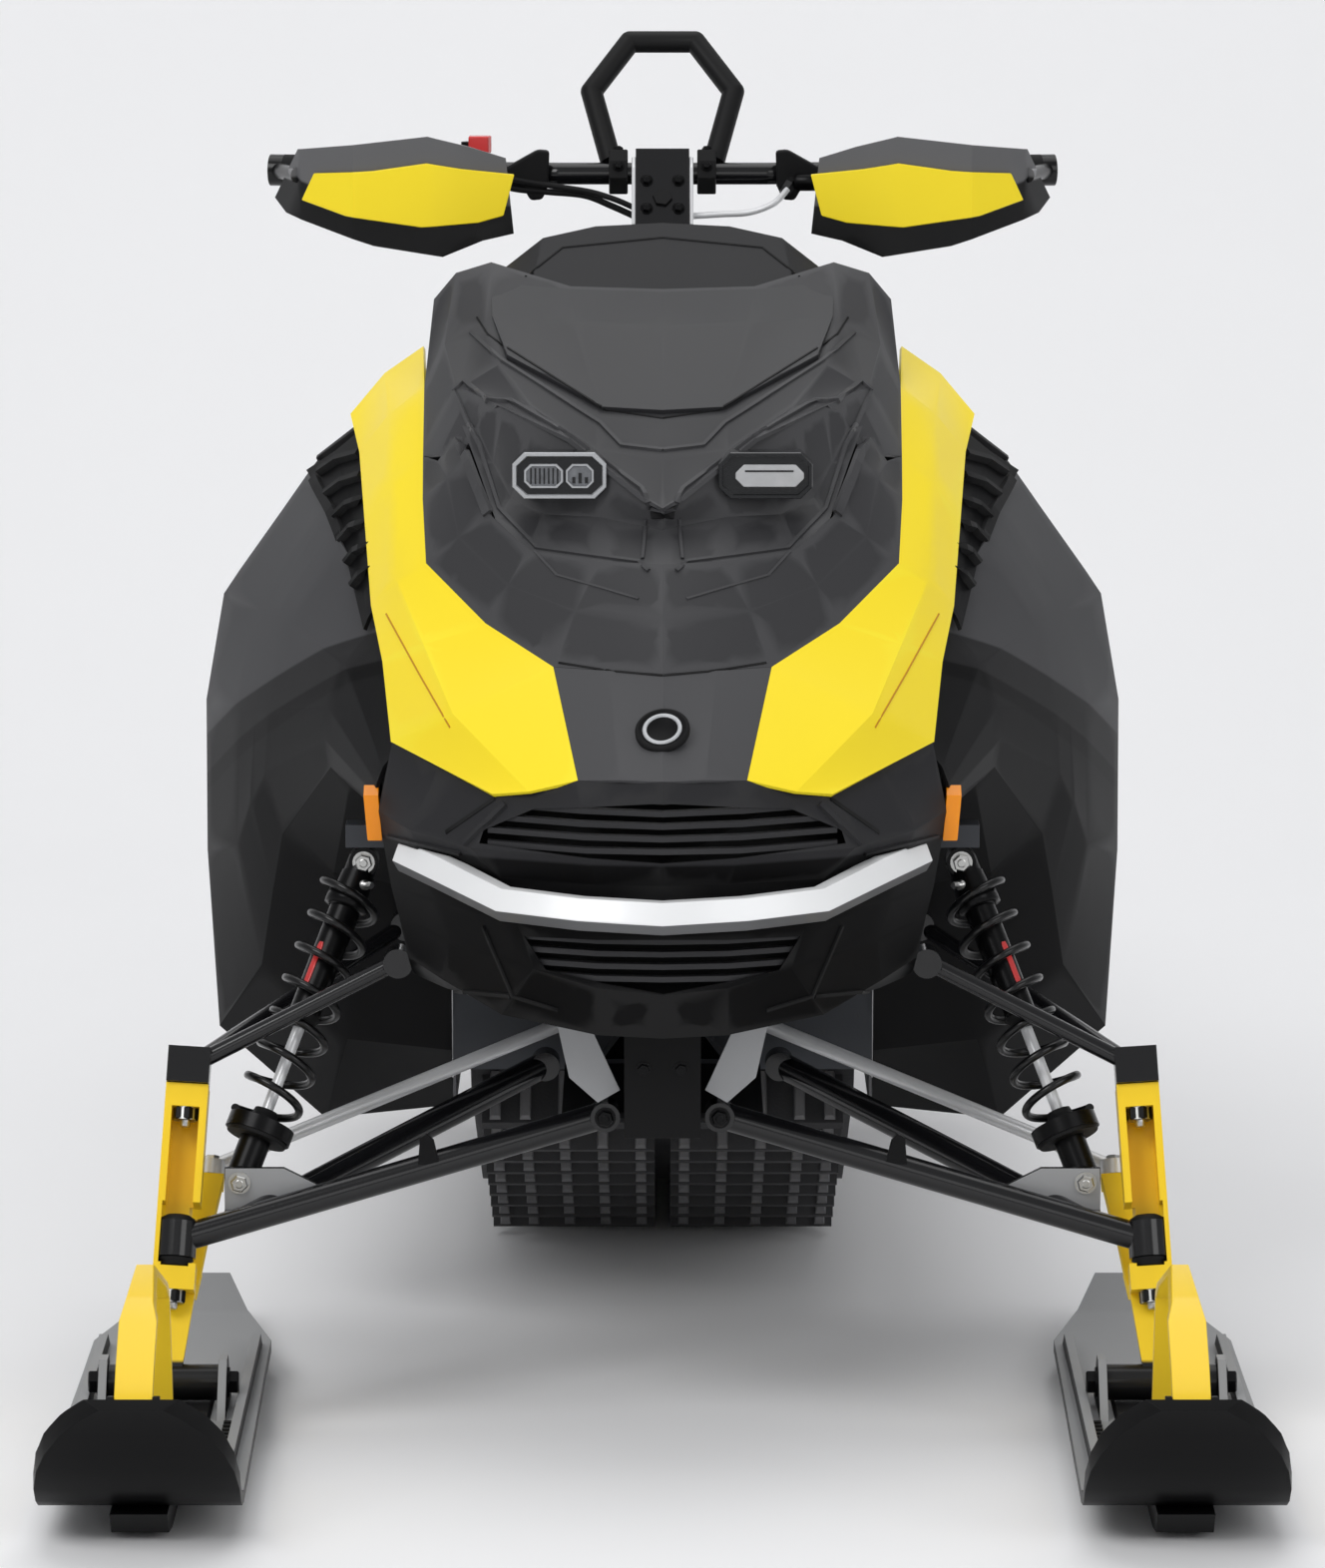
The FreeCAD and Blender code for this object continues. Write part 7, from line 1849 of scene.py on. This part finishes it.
@dataclass
class Tunnel:
    """Rivets, flap ribs, board tread and lamp details behind the body."""

    half_width: float = 0.206
    top: float = 0.548
    low: float = 0.250
    rivet: float = 0.004
    screw: float = 0.0062
    tail_back: float = 1.1885
    tail_low: float = 0.5483
    tail_high: float = 0.5823
    tail_half: float = 0.0695
    rim: float = 0.006
    filler_place: Point = (0.0, -0.1666, 0.923)
    row_end: float = 1.17
    slot_gap: float = 0.014
    board_top: float = 0.2458

    LOW_ROW, HIGH_ROW, TOP_ROW, TOOTH_ROW = (14, -0.30, 0.075), (16, -0.52, 0.11), (9, 0.76, 0.05), (14, -0.336, 0.072)
    TOOTH = ((0, 0.0052), (0.5, 0.0044), (1, 0.0024))
    TOOTH_PLACES = (0.238, 0.2545, 0.271, 0.2875, 0.304)
    FLAP_START, FLAP_END = Vector((0, 1.1905, 0.5485)), Vector((0, 1.4985, 0.2515))
    FLAP_RIBS = (-0.150, -0.090, -0.030, 0.030, 0.090, 0.150)
    FLAP_SCREWS = (-0.172, -0.060, 0.060, 0.172)

    def build(self) -> None:
        """Adds every part of the tunnel, the boards and the tail."""
        self.rivets()
        self.tread()
        self.flap()
        self.tail()
        self.filler()

    def dome(self, shape: Shape, place: Vector, out: Vector, radius: float) -> None:
        """Adds a domed rivet head.

        Args:
            shape: what it joins.
            place: middle of its foot.
            out: direction that it stands.
            radius: its radius.
        """
        shape.turned(place - out * 0.0005, place + out * radius * 0.55,
                     ((0, radius), (0.45, radius * 0.92), (0.8, radius * 0.6), (1, radius * 0.2)), 12)

    def row(self, count: int, start: float, pitch: float) -> List[float]:
        """Evenly spaced places along the tunnel."""
        return [start + index * pitch for index in range(count)]

    def rivets(self) -> None:
        """Adds the rivet rows of the tunnel's sides and top."""
        shape = Shape()
        for side in Side:
            out = side.out(1.0)
            for y in self.row(*self.LOW_ROW):
                self.dome(shape, side.at((self.half_width + 0.003, y, self.low + 0.022)), out, self.rivet)
            for y in self.row(*self.HIGH_ROW):
                if abs(y) < self.row_end:
                    self.dome(shape, side.at((self.half_width, y, self.top - 0.016)), out, self.rivet)
            for y in self.row(*self.TOP_ROW):
                self.dome(shape, side.at((self.half_width - 0.022, y, self.top)), UP, self.rivet)
        shape.piece("tunnel_rivets", Shade.STEEL)

    def tread(self) -> None:
        """Adds the gripping teeth beside the slots of both running boards."""
        shape = Shape()
        for side in Side:
            for y in self.row(*self.TOOTH_ROW):
                for across in self.TOOTH_PLACES:
                    place = side.at((across, y + self.slot_gap, self.board_top))
                    shape.turned(place, place + UP * 0.0042, self.TOOTH, 8)
        shape.piece("board_teeth", Shade.TUNNEL)

    def flap(self) -> None:
        """Adds the moulded ribs and the screws of the snow flap."""
        along = (self.FLAP_END - self.FLAP_START).normalized()
        out = Vector((0, -along.z, along.y))
        ribs, screws = Shape(), Shape()
        for across in self.FLAP_RIBS:
            first = self.FLAP_START + along * 0.030 + Vector((across - 0.007, 0, 0)) - out * 0.0008
            ribs.block(first, Vector((0.014, 0, 0)), along * 0.350, out * 0.0035)
        ribs.piece("flap_ribs", Shade.DARK, edge=0.0012)
        for across in self.FLAP_SCREWS:
            self.dome(screws, self.FLAP_START + along * 0.014 + Vector((across, 0, 0)) + out * 0.0002, out, self.screw)
        screws.piece("flap_screws", Shade.STEEL)

    def tail(self) -> None:
        """Adds the bezel and the lens ribs of the tail lamp, on its rear face."""
        back, low, high, half, rim = self.tail_back, self.tail_low, self.tail_high, self.tail_half, self.rim
        bezel, ribs = Shape(), Shape()
        rings = []
        for x, z, rise in ((-half, low + 0.001, rim), (half, low + 0.001, rim), (half, high - 0.0006, -rim),
                           (-half, high - 0.0006, -rim), (-half, low + 0.001, rim)):
            inner = x - math.copysign(rim, x)
            rings.append([Vector((x, back - 0.0004, z)), Vector((x, back + 0.0022, z)),
                          Vector((inner, back + 0.0022, z + rise)), Vector((inner, back - 0.0004, z + rise))])
        bezel.rings(rings, capped=False, smooth=False)
        bezel.piece("tail_bezel", Shade.DARK)
        for index in range(9):
            across = -0.056 + index * 0.014
            ribs.block(Vector((across - 0.0022, back - 0.0003, low + 0.008)), Vector((0.0044, 0, 0)),
                       Vector((0, 0.0012, 0)), UP * 0.018)
        ribs.piece("tail_ribs", Shade.TAIL)

    def filler(self) -> None:
        """Adds the finger grips round the fuel cap."""
        shape = Shape()
        for index in range(16):
            turn = math.tau * index / 16
            out = Vector((math.cos(turn), math.sin(turn), 0))
            place = Vector(self.filler_place) + out * 0.0375
            shape.turned(place, place + UP * 0.016, ((0, 0.0045), (0.8, 0.0045), (1, 0.003)), 8)
        shape.piece("filler_grips", Shade.TEXTURED)


@dataclass
class Studio:
    """Pale seamless studio with soft light."""

    backdrop: Finish = Finish("studio_paper", srgb(250, 250, 251), 0.75, tone_share=0.01, grain_height=0.00001)
    half_width: float = 16.0
    front: float = -7.0
    back: float = 4.2
    bend: float = 1.6
    height: float = 6.0
    steps: int = 12
    glow: float = 0.46
    aim: Point = (0, -0.3, 0.5)

    LAMPS = (("key", (-3.2, -5.2, 5.2), 3.4, 180), ("fill", (4.2, -5.6, 3.4), 3.6, 85),
             ("top", (0.0, 0.6, 5.6), 4.5, 95), ("front", (0.0, -9.0, 2.6), 3.0, 30))

    def build(self) -> None:
        """Sets up backdrop, lights, world and picture settings."""
        self.sweep()
        for lamp in self.LAMPS:
            self.light(*lamp)
        scene = bpy.context.scene
        scene.world = self.air()
        scene.view_settings.view_transform = "Standard"
        scene.view_settings.look = "None"

    def air(self) -> bpy.types.World:
        """World that lights softly and looks like the backdrop where it is seen.

        Returns:
            The world.
        """
        world = bpy.data.worlds.new("studio_air")
        world.use_nodes = True
        nodes = Nodes(world.node_tree)
        glow = nodes.tree.nodes["Background"]
        nodes.feed(glow.inputs["Color"], (*srgb(240, 241, 243), 1.0))
        nodes.feed(glow.inputs["Strength"], self.glow)
        seen = nodes.add("ShaderNodeBackground", {"Color": (*srgb(234, 235, 237), 1.0)}, "Background")
        path = nodes.add("ShaderNodeLightPath", {}, "Is Camera Ray")
        mix = nodes.add("ShaderNodeMixShader", {"Fac": path, 1: glow.outputs["Background"], 2: seen}, "Shader")
        nodes.feed(nodes.tree.nodes["World Output"].inputs["Surface"], mix)
        return world

    def see_through_back(self, material: bpy.types.Material) -> None:
        """Lets the backdrop be looked through from behind.

        Args:
            material: the backdrop's material.
        """
        nodes = Nodes(material.node_tree)
        behind = nodes.add("ShaderNodeNewGeometry", {}, "Backfacing")
        clear = nodes.add("ShaderNodeBsdfTransparent", {}, "BSDF")
        paper = nodes.tree.nodes["Principled BSDF"].outputs["BSDF"]
        mix = nodes.add("ShaderNodeMixShader", {"Fac": behind, 1: paper, 2: clear}, "Shader")
        nodes.feed(nodes.tree.nodes["Material Output"].inputs["Surface"], mix)

    def sweep(self) -> None:
        """Floor that bends up into a back wall."""
        line = [(self.front, 0.0), (self.back - self.bend, 0.0)]
        for step in range(1, self.steps + 1):
            turn = math.pi / 2 * step / self.steps
            line.append((self.back - self.bend + self.bend * math.sin(turn), self.bend * (1 - math.cos(turn))))
        line.append((self.back, self.height))
        points = [Vector((x, y, z)) for y, z in line for x in (-self.half_width, self.half_width)]
        faces = [(2 * row, 2 * row + 1, 2 * row + 3, 2 * row + 2) for row in range(len(line) - 1)]
        mesh = bpy.data.meshes.new("backdrop")
        mesh.from_pydata(points, [], faces)
        mesh.polygons.foreach_set("use_smooth", [True] * len(faces))
        mesh.materials.append(self.backdrop.material())
        floor = placed("backdrop", mesh)
        self.see_through_back(self.backdrop.material())

    def light(self, name: str, place: Point, width: float, power: float) -> None:
        """Adds a soft square light that looks at the snowmobile.

        Args:
            name: its name.
            place: where it hangs.
            width: its width.
            power: its power in watts.
        """
        data = bpy.data.lights.new(name, "AREA")
        data.size = width
        data.energy = power
        lamp = placed(name, data)
        lamp.location = place
        aim = Vector(self.aim) - Vector(place)
        lamp.rotation_euler = aim.to_track_quat("-Z", "Y").to_euler()


@dataclass
class Dressing:
    """Finishes and edge rounding of the frame's own nodes."""

    edge: float = 0.0012
    small_edge: float = 0.0006

    def build(self) -> None:
        """Gives every node its finish and its rounded edges."""
        dress(Shade.SHELL, "hood")
        dress(PanelShade.NOSE_LIT, "nose_panel")
        dress(PanelShade.BARS, "grilles")
        dress(PanelShade.SIDE, "side_panels")
        dress(PanelShade.POD, "console", "knee_panels")
        dress(PanelShade.GUARD, "handguards")
        dress(PanelShade.BELLY, "belly_pan")
        dress(Shade.DARK, "front_subframe", "side_vents", "snow_flap", "controls")
        dress(Shade.SHIELD, "windshield")
        dress(Shade.YELLOW, "nose_fenders", "handguard_trims")
        dress(Shade.YELLOW_PAINT, "ski_handle_left", "ski_handle_right")
        dress(PanelShade.LEG, "ski_leg_left", "ski_leg_right")
        dress(Shade.SILVER, "front_bumper")
        dress(Shade.TUNNEL, "tunnel", "running_boards")
        dress(Shade.FRAME, "bulkhead", "slide_rails")
        dress(Shade.ENGINE, "engine_block")
        dress(Shade.TEXTURED, "fuel_tank", "skid_wheels")
        dress(Shade.VINYL, "seat")
        dress(Shade.TUBE, "rear_bumper", "lower_arms", "upper_arms", "handlebar", "steering_column", "skid_arms")
        dress(Shade.TAIL, "taillight")
        dress(Shade.TRACK, "track")
        dress(Shade.STEEL, "drive_axle", "joint_studs_left", "joint_studs_right", "ski_bolt_left", "ski_bolt_right")
        dress(Shade.ROD, "tie_rod_left", "tie_rod_right", "skid_shocks")
        dress(Shade.DAMPER, "shocks")
        dress(Shade.SPRING, "springs")
        dress(Shade.SKI, "ski_left", "ski_right")
        dress(Shade.RUBBER, "grips")
        dress(Shade.STRAP, "grab_strap")
        dress(LampShade.SMOKED, "headlights")
        dress(Shade.AMBER, "marker_lamps")
        soften(self.edge, "hood", "windshield", "console", "nose_fenders", "nose_panel", "side_panels",
               "knee_panels", "belly_pan", "front_bumper", "ski_left",
               "ski_right", "ski_handle_left", "ski_handle_right", "handguards", "handguard_trims", "grab_strap",
               "fuel_tank", "snow_flap", "taillight", "ski_leg_left", "ski_leg_right", "track", "controls")
        soften(self.small_edge, "side_vents", "grilles", "running_boards", "tunnel", "front_subframe", "bulkhead",
               "lower_arms", "upper_arms", "slide_rails", "marker_lamps")


def main() -> None:
    """Builds every assembly in turn and reports it."""
    sight = PhotoFrame()
    for name, part in (("finishes", Dressing()), ("lamps", Lamps()), ("suspension", Suspension()), ("skis", Skis()),
                       ("steering", Steering()), ("track", Track()), ("tunnel", Tunnel()), ("seat", Seat()),
                       ("bodywork", Bodywork(sight))):
        part.build()
        LOG.info("%s done", name)
    Studio().build()
    sight.camera()
    LOG.info("studio and camera stand")


if __name__ == "__main__":
    main()
